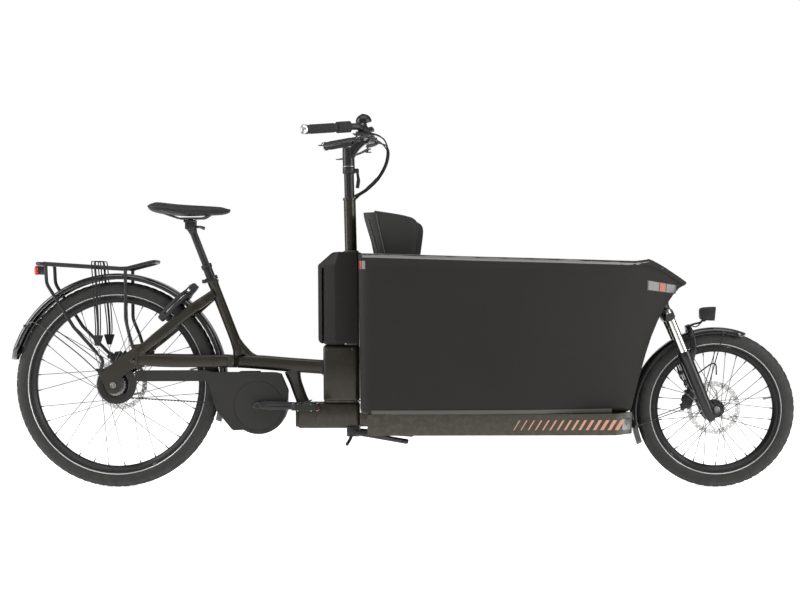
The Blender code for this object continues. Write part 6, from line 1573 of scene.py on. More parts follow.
def makeFender(name, centre, half, start, end, radius, body, steps=64):
    section = fenderSection(half, fender["drop"])
    rings = []
    for k in range(steps + 1):
        share = k / steps
        # the last bit at each end narrows to a rounded tip
        tip = min(1.0, math.sqrt(max(0.0, min(share, 1 - share)) / 0.035 + 0.12))
        degrees = start + (end - start) * share
        rings.append([aroundAxle(centre, radius(share) + rise, degrees, y * tip) for y, rise in section])
    skin = smooth(sheetOf(name, rings), 50)
    beads = []
    for sign in (-1, 1):
        route = [aroundAxle(centre, radius(s / 40) - fender["drop"] + 0.0008,
            start + (end - start) * s / 40, sign * (half - 0.0011)) for s in range(2, 39)]
        beads.append(tube("bead", route, 0.0013, 8))
    show(joined(name, skin, *beads), "glossBlack", body, name)


def makeStays(name, route, body, radius=0.0021):
    pair = [tube("stay", smoothRoute([(x, y * sign, z) for x, y, z in route], 6), radius,
        10) for sign in (-1, 1)]
    clips = [box("clip", Vector((route[-1][0] - 0.007, route[-1][1] * sign - 0.003,
        route[-1][2] - 0.005)), Vector((route[-1][0] + 0.007, route[-1][1] * sign + 0.003,
        route[-1][2] + 0.005)), 0.0012, 1) for sign in (-1, 1)]
    show(joined(name, *pair, *clips), "satinMetal", body, (), "black_metal")


def makeRack():
    r, half, foot = rack["r"], rack["half"], rack["footY"]
    parts = []
    top = rounded([(-0.826, 0.0, 0.771), (-0.826, half, 0.771), (-0.915, half, 0.749),
        (-0.948, half, 0.748), (-1.231, half, 0.7675), (-1.231, 0.0, 0.7675)], 0.03, 8)
    right = [(x, -y, z) for x, y, z in (tuple(p) for p in top)]
    parts.append(tube("rail", top, r, 16))
    parts.append(tube("rail", right, r, 16))
    for sign in (-1, 1):
        front = rounded([(-0.922, sign * half, 0.746), (-0.922, sign * half, 0.575),
            (-0.904, sign * foot, 0.52), (-0.893, sign * foot, 0.483)], 0.05, 8)
        rear = rounded([(-1.197, sign * half, 0.763), (-1.194, sign * half, 0.698),
            (-1.1, sign * half * 1.1, 0.55), (rearAxle.x - 0.03, sign * foot, rearAxle.z + 0.083),
            (rearAxle.x - 0.044, sign * foot, rearAxle.z + 0.048)], 0.055, 8)
        for leg in (front, rear):
            parts.append(tube("leg", leg, r * 0.92, 16))
            end = Vector(leg[-1])
            parts.append(disc("foot_bolt", 0.005, -0.0008, 0.01, end + Vector((0, 0, 0.004)), left * sign,
                6, 0.0006))
            parts.append(weld("seam", ringPoints(Vector(leg[0]) - Vector((0, 0, r * 0.6)),
                Vector(leg[1]) - Vector(leg[0]), 0.0135, 0.0135, 12, 1.0), 0.0012))
    for x, z in ((-1.1, 0.7585), (-0.935, 0.7475)):
        parts.append(tube("bar", [Vector((x, -half, z)), Vector((x, half, z))], r * 0.85, 12))
    deck = box("deck", (-1.215, -0.03, 0.76), (-0.955, 0.03, 0.766), 0.0015, 2)
    slots = [box("slot", (-1.195 + 0.047 * k, -0.018, 0.7), (-1.166 + 0.047 * k, 0.018, 0.8), 0.006,
        2) for k in range(5)]
    cutBy(deck, *slots)
    turnedBy(deck, (-1.085, 0, 0.764), (0, 1, 0), math.degrees(math.atan2(0.02, 0.283)))
    deck.data.transform(Matrix.Translation((0, 0, -0.0006)))
    show(smooth(joined("luggage_rack", *parts, deck), 45), "blackMetal", "frame", "luggage_rack")


def makeTailLight():
    case = box("tail_light_case", (-1.23, -0.0385, 0.73), (-1.221, 0.0385, 0.7595), 0.0035, 2)
    room = disc("room", rack["r"] + 0.0004, -0.1, 0.1, (-1.231, 0, 0.7675), left, 32)
    lens = box("tail_light", (-1.2425, -0.04, 0.728), (-1.2285, 0.04, 0.7605), 0.006, 4)
    cutBy(lens, copied(room, "room_copy"))
    cutBy(case, room)
    ribs = [box("rib", (-1.2431, -0.034, 0.7345 + 0.0055 * k), (-1.2415, 0.034, 0.7363 + 0.0055 * k),
        0.0004, 1) for k in range(4)]
    for rib in ribs:
        rib.data.transform(Matrix.Translation((0.0007, 0, 0)))
    show(smooth(joined("tail_light", lens, *ribs)), "redLens", "frame", "tail_light")
    show(case, "blackPlastic", "frame", (), "black_plastic")


def makeStrap():
    # three elastic cords that broaden over the rack, a rubber end piece and wire hook on each side
    foot = rack["footY"] + 0.004
    out = rack["half"] + rack["r"] + 0.0045
    path = [(-1.012, -foot, 0.505), (-1.011, -foot + 0.001, 0.56), (-1.02, -out - 0.001, 0.7),
        (-1.0235, -out + 0.0005, 0.752), (-1.025, -out + 0.006, 0.7705), (-1.025, -out + 0.02, 0.7738),
        (-1.025, 0, 0.774)]
    whole = path + [(x, -y, z) for x, y, z in reversed(path[:-1])]
    parts = []
    for shift, wide in ((-0.0115, 0.0042), (0, 0.0075), (0.0115, 0.0042)):
        route = smoothRoute([(x + shift * (0.62 + 0.38 * min(1, abs(z - 0.505) / 0.15)), y,
            z) for x, y, z in whole], 6)
        parts.append(swept("cord", route, roundSection(wide, 0.003, 0.0013, 3), None, (1, 0, 0)))
    for sign in (-1, 1):
        lower = [(-1.0315, sign * foot, 0.522), (-0.9925, sign * foot, 0.522),
            (-1.004, sign * foot, 0.486), (-1.02, sign * foot, 0.486)]
        parts.append(softEdges(plate("end", [(x, y - 0.0024, z) for x, y, z in lower], (0, 0.0048, 0)),
            0.0016, 2, 30))
    show(smooth(joined("luggage_strap", *parts), 45), "strapRubber", "frame", "luggage_strap")
    hooks = []
    for sign in (-1, 1):
        y = sign * foot
        ring = [(-1.012, y, 0.49), (-1.0065, y, 0.484), (-1.012, y, 0.476), (-1.0175, y, 0.484)]
        hooks.append(tube("ring", smoothRoute(ring + [ring[0]], 6), 0.0014, 8))
        hook = [(-1.012, y, 0.4775), (-1.0105, y - sign * 0.001, 0.466), (-1.006, y - sign * 0.003,
            0.456), (-1.0095, y - sign * 0.004, 0.449), (-1.015, y - sign * 0.004, 0.453)]
        hooks.append(tube("hook", smoothRoute(hook, 6), 0.0015, 8))
    show(joined("strap_hooks", *hooks), "steel", "frame", (), "steel")


def lockArc(radius, start, end, steps):
    points = []
    for k in range(steps + 1):
        angle = math.radians(start + (end - start) * k / steps)
        points.append(lockMiddle + radius * (math.sin(angle) * lockOut - math.cos(angle) * left))
    return points


def makeLock():
    across = lockOut.cross(left).normalized()
    case = swept("frame_lock", lockArc(lockRadius, -55, 235, 44), roundSection(0.026, 0.022, 0.0065, 4),
        None, across)
    crest = swept("crest", [lockMiddle + lockOut * (lockRadius - 0.002), lockMiddle + lockOut * 0.085,
        lockMiddle + lockOut * 0.097, lockMiddle + lockOut * 0.102], roundSection(0.06, 0.026, 0.008, 4),
        [(1.1, 1), (1, 1), (0.94, 0.96), (0.82, 0.8)])
    channel = swept("channel", lockArc(lockRadius, -62, 76, 30), roundSection(0.0112, 0.0112, 0.0055, 3),
        None, across)
    pocket = swept("pocket", lockArc(lockRadius, 203, 242, 8), roundSection(0.0112, 0.0112, 0.0055, 3),
        None, across)
    slot = swept("slot", lockArc(lockRadius + 0.008, -26, 68, 20), roundSection(0.0066, 0.014, 0.001, 1),
        None, across)
    cutBy(joined("frame_lock", cutBy(case, channel, pocket, slot), crest))
    show(smooth(bpy.context.object, 40), "softPlastic", "frame", "frame_lock")
    face = lockMiddle + lockOut * 0.086
    drum = disc("lock_cylinder", 0.0075, 0.012, 0.015, face, across, 32, 0.0008)
    key = box("keyway", face + across * 0.0152 + Vector((-0.003, -0.0007, -0.003)),
        face + across * 0.0152 + Vector((0.003, 0.0007, 0.003)), 0.0002, 1)
    show(joined("lock_cylinder", drum, key), "steel", "frame", (), "steel")
    bar = tube("bar", lockArc(lockRadius, -54, 62, 30), 0.004, 12)
    angle = math.radians(60)
    out = math.sin(angle) * lockOut - math.cos(angle) * left
    knob = turned("knob", [(0, 0.002), (0.0022, 0.002), (0.0022, 0.0165), (0.0048, 0.018), (0.0052, 0.02),
        (0.0052, 0.027), (0.0042, 0.0285), (0, 0.0285)], lockMiddle + out * lockRadius, out, 20)
    show(joined("lock_shackle", bar, knob), "steel", "lock_shackle", "lock_shackle")


def makeCaliper(name, centre, y, degrees, body):
    middle = centre + left * y
    case = box(name, middle + Vector((-0.03, -0.0125, 0.073)), middle + Vector((0.03, 0.0113, 0.112)),
        0.007, 4)
    waist = [box("waist", middle + Vector((x - 0.006, -0.013, 0.104)), middle + Vector((x + 0.006, 0.0118,
        0.118)), 0.0035, 2) for x in (-0.016, 0.016)]
    ears = box("ears", middle + Vector((-0.042, 0.003, 0.09)), middle + Vector((0.042, 0.011, 0.104)),
        0.0035, 3)
    slot = box("slot", middle + Vector((-0.05, -0.0022, 0.05)), middle + Vector((0.05, 0.0022, 0.0955)),
        0.0006, 1)
    cutBy(case, *waist, slot)
    pistons = [disc("piston", 0.0125, 0.0112, 0.0132, middle + Vector((0, 0, 0.088)), left * sign, 32,
        0.0008) for sign in (-1,)]
    bolts = [disc("bolt", 0.0045, 0.0105, 0.015, middle + Vector((x, 0, 0.097)), left, 12,
        0.0006) for x in (-0.0365, 0.0365)]
    pads = [box("pad", middle + Vector((-0.016, y0, 0.07)), middle + Vector((0.016, y1, 0.094)), 0.0004,
        1) for y0, y1 in ((-0.004, -0.0016), (0.0016, 0.004))]
    body1 = turnedBy(joined(name, case, ears, *pistons), centre, (0, 1, 0), -degrees)
    hard = turnedBy(joined(name + "_bolts", *bolts, *pads), centre, (0, 1, 0), -degrees)
    show(smooth(body1), "blackMetal", body, name)
    show(hard, "steel", body, (), "steel")


def makeAxle(name, centre, innerFace, body):
    face = innerFace + 0.0063
    head = 0.0105
    rod = turned(name, [(0, -face - 0.008), (0.003, -face - 0.008), (0.003, -face - 0.004),
        (head - 0.003, -face - 0.0042), (head - 0.0022, -face - 0.0078), (head - 0.0008, -face - 0.007),
        (head, -face - 0.001), (head, -face), (0.0059, -face), (0.0059, face), (head, face),
        (head, face + 0.0052), (head - 0.0015, face + 0.0068), (0.0045, face + 0.007), (0, face + 0.007)],
        centre, left, 40)
    show(rod, "greyMetal", body, name, "black_metal")


makeFender("rear_fender", rearAxle, fender["half"], 166.4, -20.0, lambda share: fender["rear"], "frame",
    96)
makeStays("rear_fender_stays", [(rearAxle.x - 0.052, 0.08, rearAxle.z + 0.046), (-1.1, 0.062, 0.47),
    (-1.23, 0.05, 0.562), (-1.2735, 0.0405, 0.54 + 0.014)], "frame")
makeRack()
makeTailLight()
makeStrap()
makeLock()
makeCaliper("rear_caliper", rearAxle, 0.056, 6.0, "frame")
makeAxle("rear_axle", rearAxle, 0.071, "frame")


print("fork and front end")
fork = {"legY": 0.065, "stanchion": 0.016, "crownLow": 0.325, "crownHigh": 0.373, "top": 0.219,
    "headLow": 0.386, "headHigh": 0.498}


def makeForkCrown():
    f = fork
    middle = (f["crownLow"] + f["crownHigh"]) / 2
    reach = f["legY"] + f["stanchion"] + 0.004
    route = smoothRoute([forkPoint(0, -reach, middle - 0.005), forkPoint(0, -f["legY"], middle - 0.002),
        forkPoint(0, -0.03, middle + 0.004), forkPoint(0, 0.03, middle + 0.004),
        forkPoint(0, f["legY"], middle - 0.002), forkPoint(0, reach, middle - 0.005)], 6)
    crown = swept("fork_crown", route, roundSection(0.044, 0.04, 0.013, 5), [(0.55, 0.6), (0.95, 0.98),
        (1, 1), (1, 1), (0.95, 0.98), (0.55, 0.6)], forkAhead)
    steerer = turned("steerer", [(0, f["crownHigh"] - 0.02), (0.019, f["crownHigh"] - 0.01),
        (0.02, f["headLow"] - 0.0015), (0.019, f["headLow"] - 0.0004), (0.0143, f["headLow"] - 0.0002),
        (0.0143, f["headHigh"] + 0.0004), (0.0205, f["headHigh"] + 0.0004),
        (0.0205, f["headHigh"] + 0.004), (0.018, f["headHigh"] + 0.0062), (0.006, f["headHigh"] + 0.0069),
        (0.005, f["headHigh"] + 0.005), (0, f["headHigh"] + 0.005)], forkFoot, forkUp, 48)
    show(smooth(joined("fork_crown", crown, steerer)), "blackMetal", "fork", "fork_crown")
    legs = []
    caps = []
    for sign in (-1, 1):
        foot = forkPoint(0, sign * f["legY"], 0)
        legs.append(turned("stanchion", [(0, 0.1), (0.015, 0.1), (f["stanchion"], 0.101),
            (f["stanchion"], f["crownHigh"] - 0.014), (0, f["crownHigh"] - 0.014)], foot, forkUp, 40))
        caps.append(turned("cap", [(0.008, f["crownHigh"] - 0.018), (0.015, f["crownHigh"] - 0.018),
            (0.015, f["crownHigh"] - 0.0035), (0.0135, f["crownHigh"] - 0.001),
            (0.008, f["crownHigh"] - 0.001)], foot, forkUp, 24, closed=True))
    show(joined("fork_stanchions", *legs), "chrome", "fork", (), "steel")
    show(joined("fork_top_caps", *caps), "greyMetal", "fork", (), "black_metal")


def makeForkLowers():
    f = fork
    parts, seals = [], []
    for sign in (-1, 1):
        foot = forkPoint(0, sign * f["legY"], 0)
        profile = [(0, -0.0295), (0.008, -0.0295), (0.0115, -0.0275), (0.015, -0.016), (0.0176, -0.002),
            (0.0186, 0.03), (0.0196, 0.07), (0.0202, 0.12), (0.0202, 0.18), (0.0215, 0.188),
            (0.0215, f["top"] - 0.004), (0.0208, f["top"] - 0.0015), (0.0172, f["top"] - 0.0015),
            (0.0172, 0.05), (0, 0.05)]
        parts.append(turned("leg", profile, foot, forkUp, 44))
        seals.append(turned("seal", [(0.0163, f["top"] - 0.012), (0.0206, f["top"] - 0.012),
            (0.0206, f["top"] - 0.001), (0.0196, f["top"]), (0.0163, f["top"])], foot, forkUp, 36,
            closed=True))
        inner = 0.0503
        low = min(sign * inner, sign * (inner + 0.006))
        lug = swept("lug", smoothRoute([forkPoint(-0.01, low + 0.003, 0.014),
            forkPoint(0.004, low + 0.003, 0.006), forkPoint(0.018, low + 0.003, 0.001),
            forkPoint(0.0435, low + 0.003, -0.002)], 5), roundSection(0.006, 0.04, 0.0024, 3),
            [(1, 1.0), (1, 1.1), (1, 0.95), (0.9, 0.6)])
        parts.append(lug)
        web = swept("web", smoothRoute([forkPoint(0.004, sign * 0.06, 0.05),
            forkPoint(0.01, sign * 0.0565, 0.022), forkPoint(0.02, sign * 0.054, 0.004)], 5),
            roundSection(0.01, 0.026, 0.004, 3), [(0.6, 0.5), (1, 1), (0.6, 0.8)])
        parts.append(web)
    top = f["top"]
    archY = f["legY"]
    arch = swept("arch", smoothRoute([forkPoint(0.012, -archY, top - 0.034),
        forkPoint(0.036, -archY - 0.001, top + 0.002), forkPoint(0.047, -0.056, top + 0.04),
        forkPoint(0.05, -0.03, top + 0.0655), forkPoint(0.05, 0, top + 0.07),
        forkPoint(0.05, 0.03, top + 0.0655), forkPoint(0.047, 0.056, top + 0.04),
        forkPoint(0.036, archY + 0.001, top + 0.002), forkPoint(0.012, archY, top - 0.034)], 6),
        roundSection(0.018, 0.014, 0.0045, 4), [(1.2, 1.3), (1, 1), (1, 1), (1.2, 1.3)], forkAhead)
    hole = disc("hole", 0.0064, -0.1, 0.1, frontAxle, left, 32)
    lowers = joined("fork_lowers", *parts, arch)
    cutBy(lowers, hole)
    show(smooth(lowers, 42), "forkMetal", "fork_lowers", "fork_lowers")
    show(joined("fork_seals", *seals), "softPlastic", "fork_lowers", (), "rubber")
    # the hose clips and two thin guides behind the left leg
    guides = []
    for ahead in (-0.0235, -0.029):
        guides.append(tube("guide", smoothRoute([forkPoint(ahead, 0.052, 0.095),
            forkPoint(ahead, 0.053, 0.16), forkPoint(ahead + 0.001, 0.054, 0.215)], 5), 0.0024, 10))
    clips = [box("clip", forkPoint(-0.032, 0.0475, a) - Vector((0, 0, 0.004)), forkPoint(-0.019, 0.057,
        a) + Vector((0, 0, 0.004)), 0.0015, 1) for a in (0.11, 0.15, 0.19)]
    show(joined("fork_hose_guides", *guides, *clips), "hose", "fork_lowers", (), "rubber")


def makeFrontFender():
    makeFender("front_fender", frontAxle, fender["half"] - 0.001, 67.6, 204.8,
        lambda share: fender["front"] + 0.015 * max(0.0, share - 0.45) / 0.55, "fork_lowers", 80)
    for name, degrees in (("front_fender_front_stay", 84.0), ("front_fender_rear_stay", 192.0)):
        share = (degrees - 67.6) / 137.2
        reach = fender["front"] + 0.015 * max(0.0, share - 0.45) / 0.55 - 0.0165
        end = aroundAxle(frontAxle, reach, degrees)
        start = forkPoint(0.0, 0, 0.04)
        makeStays(name, [(start.x, 0.06, start.z), ((start.x + end.x) / 2, 0.048, (start.z + end.z) / 2),
            (end.x, 0.0385, end.z)], "fork_lowers", 0.0018)


def makeHeadlight():
    low, high = frontAxle + Vector((-0.049, -0.036, 0.296)), frontAxle + Vector((0.0025, 0.036, 0.3425))
    depth = high.x - low.x
    stations = [(0.0, 0.6, 0.55), (0.06, 0.8, 0.8), (0.3, 0.94, 0.94), (0.7, 1.0, 1.0), (0.96, 1.0, 1.0)]
    middleZ, halfZ = (low.z + high.z) / 2, (high.z - low.z) / 2
    rings = []
    for share, wide, tall in stations:
        rings.append([Vector((low.x + depth * share + v * 0.1 * (1 if share > 0.5 else 0), u * wide,
            middleZ + v * tall)) for u, v in roundSection(0.072, 2 * halfZ, 0.01, 5)])
    case = smooth(sheetOf("headlight", rings), 40)
    mouth = [Vector((low.x + depth * 0.9 + v * 0.1, u, middleZ + v)) for u, v in roundSection(0.064,
        2 * halfZ - 0.009, 0.007, 5)]
    room = plate("room", mouth, (0.03, 0, 0))
    cutBy(case, room)
    fins = [box("fin", (low.x + 0.0005, -0.022, middleZ - 0.015 + 0.0075 * k),
        (low.x + 0.011, 0.022, middleZ - 0.0125 + 0.0075 * k), 0.0008, 1) for k in range(5)]
    arch = forkPoint(0.0605, 0, 0.2895)
    stem = tube("stem", smoothRoute([arch - forkAhead * 0.004, arch + forkAhead * 0.012,
        frontAxle + Vector((-0.047, 0, 0.29)), frontAxle + Vector((-0.036, 0, 0.302))], 8), 0.0034, 12)
    second = tube("wire", smoothRoute([arch + Vector((0.0, 0.008, 0.0)), arch + Vector((0.022, 0.012,
        -0.004)), arch + Vector((0.048, 0.01, 0.02)), frontAxle + Vector((-0.023, 0.004, 0.2975))], 8),
        0.0022, 10)
    nut = disc("nut", 0.007, -0.006, 0.006, frontAxle + Vector((-0.034, 0, 0.2985)), left, 6, 0.001)
    show(smooth(joined("headlight", case, *fins, stem, nut), 40), "blackPlastic", "fork_lowers",
        "headlight")
    show(second, "satinMetal", "fork_lowers", (), "black_metal")
    lens = plate("headlight_lens", [p + Vector((0.0015, 0, 0)) for p in mouth], (0.0028, 0, 0))
    softEdges(lens, 0.0008, 2, 40)
    show(lens, "clearLens", "fork_lowers", (), "steel")


makeForkCrown()
makeForkLowers()
makeFrontFender()
makeHeadlight()
makeCaliper("front_caliper", frontAxle, 0.0385, 72.0, "fork_lowers")
makeAxle("front_axle", frontAxle, 0.05, "fork_lowers")
hoseRoute = [aroundAxle(frontAxle, 0.112, 72 + 12, 0.04), aroundAxle(frontAxle, 0.15, 90, 0.048),
    forkPoint(-0.0255, 0.052, 0.12), forkPoint(-0.0265, 0.053, 0.2), forkPoint(-0.02, 0.05, 0.262)]
show(tube("front_brake_hose", smoothRoute(hoseRoute, 8), 0.0024, 10), "hose", "fork_lowers", (), "rubber")


print("handlebar")
bar = {"radius": 0.0111, "centre": Vector((-0.105, 0, 1.185)), "gripInner": Vector((-0.17, 0.262, 1.2)),
    "gripOuter": Vector((-0.281, 0.325, 1.188)), "stemSeat": 1.0863, "bore": 0.0148}


def gripPoint(distance, sign):
    way = (bar["gripOuter"] - bar["gripInner"]).normalized()
    point = bar["gripInner"] + way * distance
    return Vector((point.x, sign * point.y, point.z))


def makePost():
    low = columnPoint(0.822)
    length = (columnPoint(bar["stemSeat"] - 0.0003) - low).length
    b, r = bar["bore"], 0.017
    post = turned("steering_post", [(b, 0), (r - 0.0008, 0), (r, 0.0008), (r, length - 0.02),
        (0.0208, length - 0.019), (0.0215, length - 0.0175), (0.0215, length - 0.0008), (0.0207, length),
        (b, length)], low, columnUp, 48, closed=True)
    lugAt = columnPoint(bar["stemSeat"] - 0.01)
    lugs = [box("lug", lugAt + Vector((0.016, y - 0.0045, -0.0075)), lugAt + Vector((0.034, y + 0.0045,
        0.0075)), 0.0025, 3) for y in (-0.0065, 0.0065)]
    mark = ringOf("mark", r - 0.0004, r + 0.00025, 0.13, 0.1306, low, columnUp, 32)
    show(smooth(joined("steering_post", post, *lugs, mark)), "blackMetal", "steering_post",
        "steering_post")
    pin = jointAt["stem_lever_swing"]
    cam = disc("cam", 0.0055, -0.006, 0.006, pin, (1, 0, 0), 24, 0.0008)
    handle = swept("handle", smoothRoute([pin + Vector((0, 0, 0.004)), pin + Vector((0.002, 0.0005,
        -0.014)), pin + Vector((0.004, 0.001, -0.03)), pin + Vector((0.002, 0.0014, -0.046)),
        pin + Vector((0.0, 0.0015, -0.058))], 6), roundSection(0.006, 0.012, 0.0024, 3),
        [(1, 0.7), (0.8, 0.8), (0.8, 1.05), (0.7, 1.0)])
    show(joined("stem_lever", cam, handle), "satinMetal", "stem_lever", "stem_lever")


def makeStem():
    sleeve = turned("stem", [(0, 0), (0.0197, 0), (0.0205, 0.0008), (0.0205, 0.06), (0.02, 0.061),
        (0.02, 0.068), (0.018, 0.0706), (0, 0.071)], columnPoint(bar["stemSeat"]), columnUp, 48)
    quill = disc("quill", bar["bore"] - 0.0006, 0, 0.1885, columnPoint(0.9), columnUp, 40, 0.001)
    centre = bar["centre"]
    arm = swept("arm", smoothRoute([columnPoint(1.128) + Vector((0.004, 0, 0)),
        columnPoint(1.134).lerp(centre, 0.42), columnPoint(1.14).lerp(centre, 0.78),
        centre + Vector((-0.002, 0, 0))], 6), roundSection(0.034, 0.03, 0.01, 5), [(1.1, 1.2), (1, 1),
        (1, 0.95), (1.05, 1.05)])
    barrel = disc("barrel", 0.0185, -0.024, 0.024, centre, left, 48, 0.0015)
    split = box("split", centre + Vector((0.004, -0.03, -0.0006)), centre + Vector((0.03, 0.03, 0.0006)))
    bore = disc("bore", bar["radius"] + 0.0006, -0.04, 0.04, centre, left, 48)
    cutBy(barrel, split, copied(bore, "bore_copy"))
    cutBy(arm, bore)
    bolts = [disc("bolt", 0.0035, 0.01, 0.0165, centre + Vector((0.0125, y, 0)), up * s, 12,
        0.0006) for y in (-0.016, 0.016) for s in (1, -1)]
    ring = ringOf("ring", 0.0203, 0.0216, 0.003, 0.006, columnPoint(bar["stemSeat"]), columnUp, 48,
        0.0004)
    show(smooth(joined("stem", sleeve, quill, arm, barrel)), "blackMetal", "handlebar", "stem")
    show(joined("stem_bolts", *bolts, ring), "greyMetal", "handlebar", (), "steel")


def makeBar():
    half = [Vector((-0.105, 0, 1.185)), Vector((-0.104, 0.04, 1.185)), Vector((-0.098, 0.085, 1.187)),
        Vector((-0.091, 0.13, 1.191)), Vector((-0.091, 0.175, 1.197)), Vector((-0.103, 0.209, 1.202)),
        gripPoint(-0.046, 1), gripPoint(0.124, 1)]
    path = [Vector((p.x, -p.y, p.z)) for p in reversed(half[1:])] + half
    parts = [tube("handlebar", smoothRoute(path, 10), bar["radius"], 20)]
    for sign in (-1, 1):
        place = Vector((-0.099, sign * 0.199, 1.2005))
        way = Vector((-0.008, sign * 0.012, 0)).normalized()
        parts.append(ringOf("clamp", 0.0108, 0.0155, -0.0072, 0.0072, place, way, 40, 0.0015))
        parts.append(disc("bolt", 0.003, -0.006, 0.006, place + Vector((0.0175, 0, 0.001)), up, 10,
            0.0005))
        body = [place + Vector((0.024, -sign * 0.03, -0.0142)), place + Vector((0.016, -sign * 0.016,
            -0.0156)), place + Vector((0.002, sign * 0.006, -0.017)), place + Vector((-0.014, sign * 0.03,
            -0.0185))]
        parts.append(swept("cylinder", smoothRoute(body, 6), roundSection(0.017, 0.0165, 0.007, 4),
            [(0.7, 0.7), (1, 1), (1.05, 1.1), (0.9, 0.9)], (0, 0, 1)))
        yokeAt = jointAt[("left" if sign > 0 else "right") + "_brake_pull"]
        for z in (-1, 1):
            parts.append(box("yoke", yokeAt + Vector((-0.0075, -0.0075, z * 0.0095 - 0.0018)),
                yokeAt + Vector((0.0135, 0.0075, z * 0.0095 + 0.0018)), 0.0014, 2))
        parts.append(disc("hinge", 0.0028, -0.012, 0.012, yokeAt, up, 12, 0.0005))
        parts.append(disc("nut", 0.0052, 0.0, 0.01, Vector(body[0]) + Vector((0.001, -sign * 0.001, 0)),
            Vector((0.008, -sign * 0.014, 0)).normalized(), 6, 0.0008))
    show(smooth(joined("handlebar", *parts), 42), "blackMetal", "handlebar", "handlebar")


def makeGrip(name, start, end, sign, body, look, radius, closed, ribs):
    foot = gripPoint(start, sign)
    way = (gripPoint(end, sign) - foot)
    length = way.length
    way = way.normalized()
    bore = bar["radius"] + 0.0003
    rows = []
    steps = 40
    for k in range(steps + 1):
        share = k / steps
        swell = radius - 0.0012 + 0.001 * math.sin(math.pi * share)
        if share < 0.05 or share > 0.95:
            swell = radius
        rows.append((swell, length * share))
    profile = [(bore, 0.0)] + [(radius - 0.001, 0.0)] + rows[1:]
    if closed:
        profile += [(radius - 0.0006, length + 0.0005), (bore, length + 0.0005)]
    else:
        profile += [(bore, length)]
    sleeve = turned(name, profile, foot, way, 48, closed=True)
    parts = [sleeve]
    out = way.orthogonal().normalized()
    if ribs == "ridges":
        rib = swept("rib", [foot + way * (length * 0.1) + out * (radius - 0.001),
            foot + way * (length * 0.9) + out * (radius - 0.001)], roundSection(0.0016, 0.0016, 0.0006,
            1), None, way.cross(out))
        parts.append(around(rib, 28, foot, way))
    else:
        # small raised pads in staggered rows
        pads = []
        for row in range(9):
            spot = foot + way * (length * (0.14 + 0.085 * row)) + out * (radius - 0.0006)
            pad = swept("pad", [spot - way * 0.0032, spot + way * 0.0032], roundSection(0.004, 0.0014,
                0.0006, 1), None, way.cross(out))
            turnedBy(pad, foot, way, 9 * (row % 2))
            pads.append(around(pad, 20, foot, way))
        parts += pads
    show(smooth(joined(name, *parts), 42), look, body, name)


def makeGripCaps():
    for sign, name in ((-1, "right"), (1, "left")):
        way = (gripPoint(0.126, sign) - gripPoint(0, sign)).normalized()
        cap = turned(name + "_grip_cap", [(0.012, -0.008), (0.0162, -0.008), (0.0166, -0.007),
            (0.0164, 0.002), (0.0145, 0.0048), (0.008, 0.0052), (0.006, 0.004), (0, 0.004), (0, 0.0005),
            (0.012, 0.0005)], gripPoint(0.126, sign), way, 40)
        show(cap, "steel", "handlebar", (), "steel")


def makeLever(name, sign):
    pivot = jointAt[name + "_brake_pull"]
    path = [pivot + Vector((0.011, -sign * 0.011, 0.001)), pivot, pivot + Vector((-0.018, sign * 0.007,
        -0.008)), pivot + Vector((-0.036, sign * 0.016, -0.014)), pivot + Vector((-0.06, sign * 0.028,
        -0.0205)), pivot + Vector((-0.082, sign * 0.04, -0.026)), pivot + Vector((-0.104, sign * 0.053,
        -0.029)), pivot + Vector((-0.118, sign * 0.062, -0.029))]
    blade = swept(name + "_brake_lever", smoothRoute(path, 6), roundSection(0.012, 0.0075, 0.003, 4),
        [(0.5, 0.6), (0.9, 1.2), (0.85, 1.0), (1, 1), (1, 0.95), (1, 0.9), (0.95, 0.85), (0.55, 0.5)])
    hole = disc("hole", 0.003, -0.02, 0.02, pivot + Vector((-0.03, sign * 0.013, -0.012)), up, 20)
    cutBy(blade, hole)
    show(smooth(blade, 40), "leverMetal", name + "_brake_lever", name + "_brake_lever", "black_metal")


def makeBell():
    place = Vector((-0.091, -0.15, 1.1937))
    outer = bar["radius"] + 0.0045
    band = ringOf("bell_band", bar["radius"] + 0.0012, outer, -0.006, 0.006, place, (0, 1, -0.12), 40,
        0.001)
    pillar = turned("pillar", [(0, 0), (0.007, 0), (0.006, 0.004), (0.0055, 0.014), (0.0075, 0.0185),
        (0, 0.0185)], place + Vector((0, 0, outer - 0.001)), (-0.15, 0, 1), 24)
    show(smooth(joined("bell_base", band, pillar)), "blackPlastic", "handlebar", (), "black_plastic")
    top = place + Vector((-0.006, 0, 0.032))
    dome = turned("bell", [(0, 0.0006), (0.0235, 0.0006), (0.0262, -0.0002), (0.0266, 0.001),
        (0.0266, 0.006), (0.0258, 0.0095), (0.0238, 0.015), (0.0206, 0.0195), (0.016, 0.0236),
        (0.0105, 0.0266), (0.005, 0.0284), (0.0042, 0.0292), (0, 0.0292)], top, (-0.15, 0, 1), 64)
    show(dome, "bellMetal", "handlebar", "bell")
    pivot = jointAt["bell_lever_push"]
    thumb = swept("bell_lever", smoothRoute([pivot, pivot + Vector((-0.01, -0.003, -0.0002)),
        pivot + Vector((-0.02, -0.0055, -0.0012)), pivot + Vector((-0.034, -0.007, -0.005))], 6),
        roundSection(0.009, 0.004, 0.0018, 3), [(0.8, 0.9), (0.8, 0.9), (1.1, 1.0), (0.7, 0.8)])
    show(thumb, "blackPlastic", "bell_lever", "bell_lever")


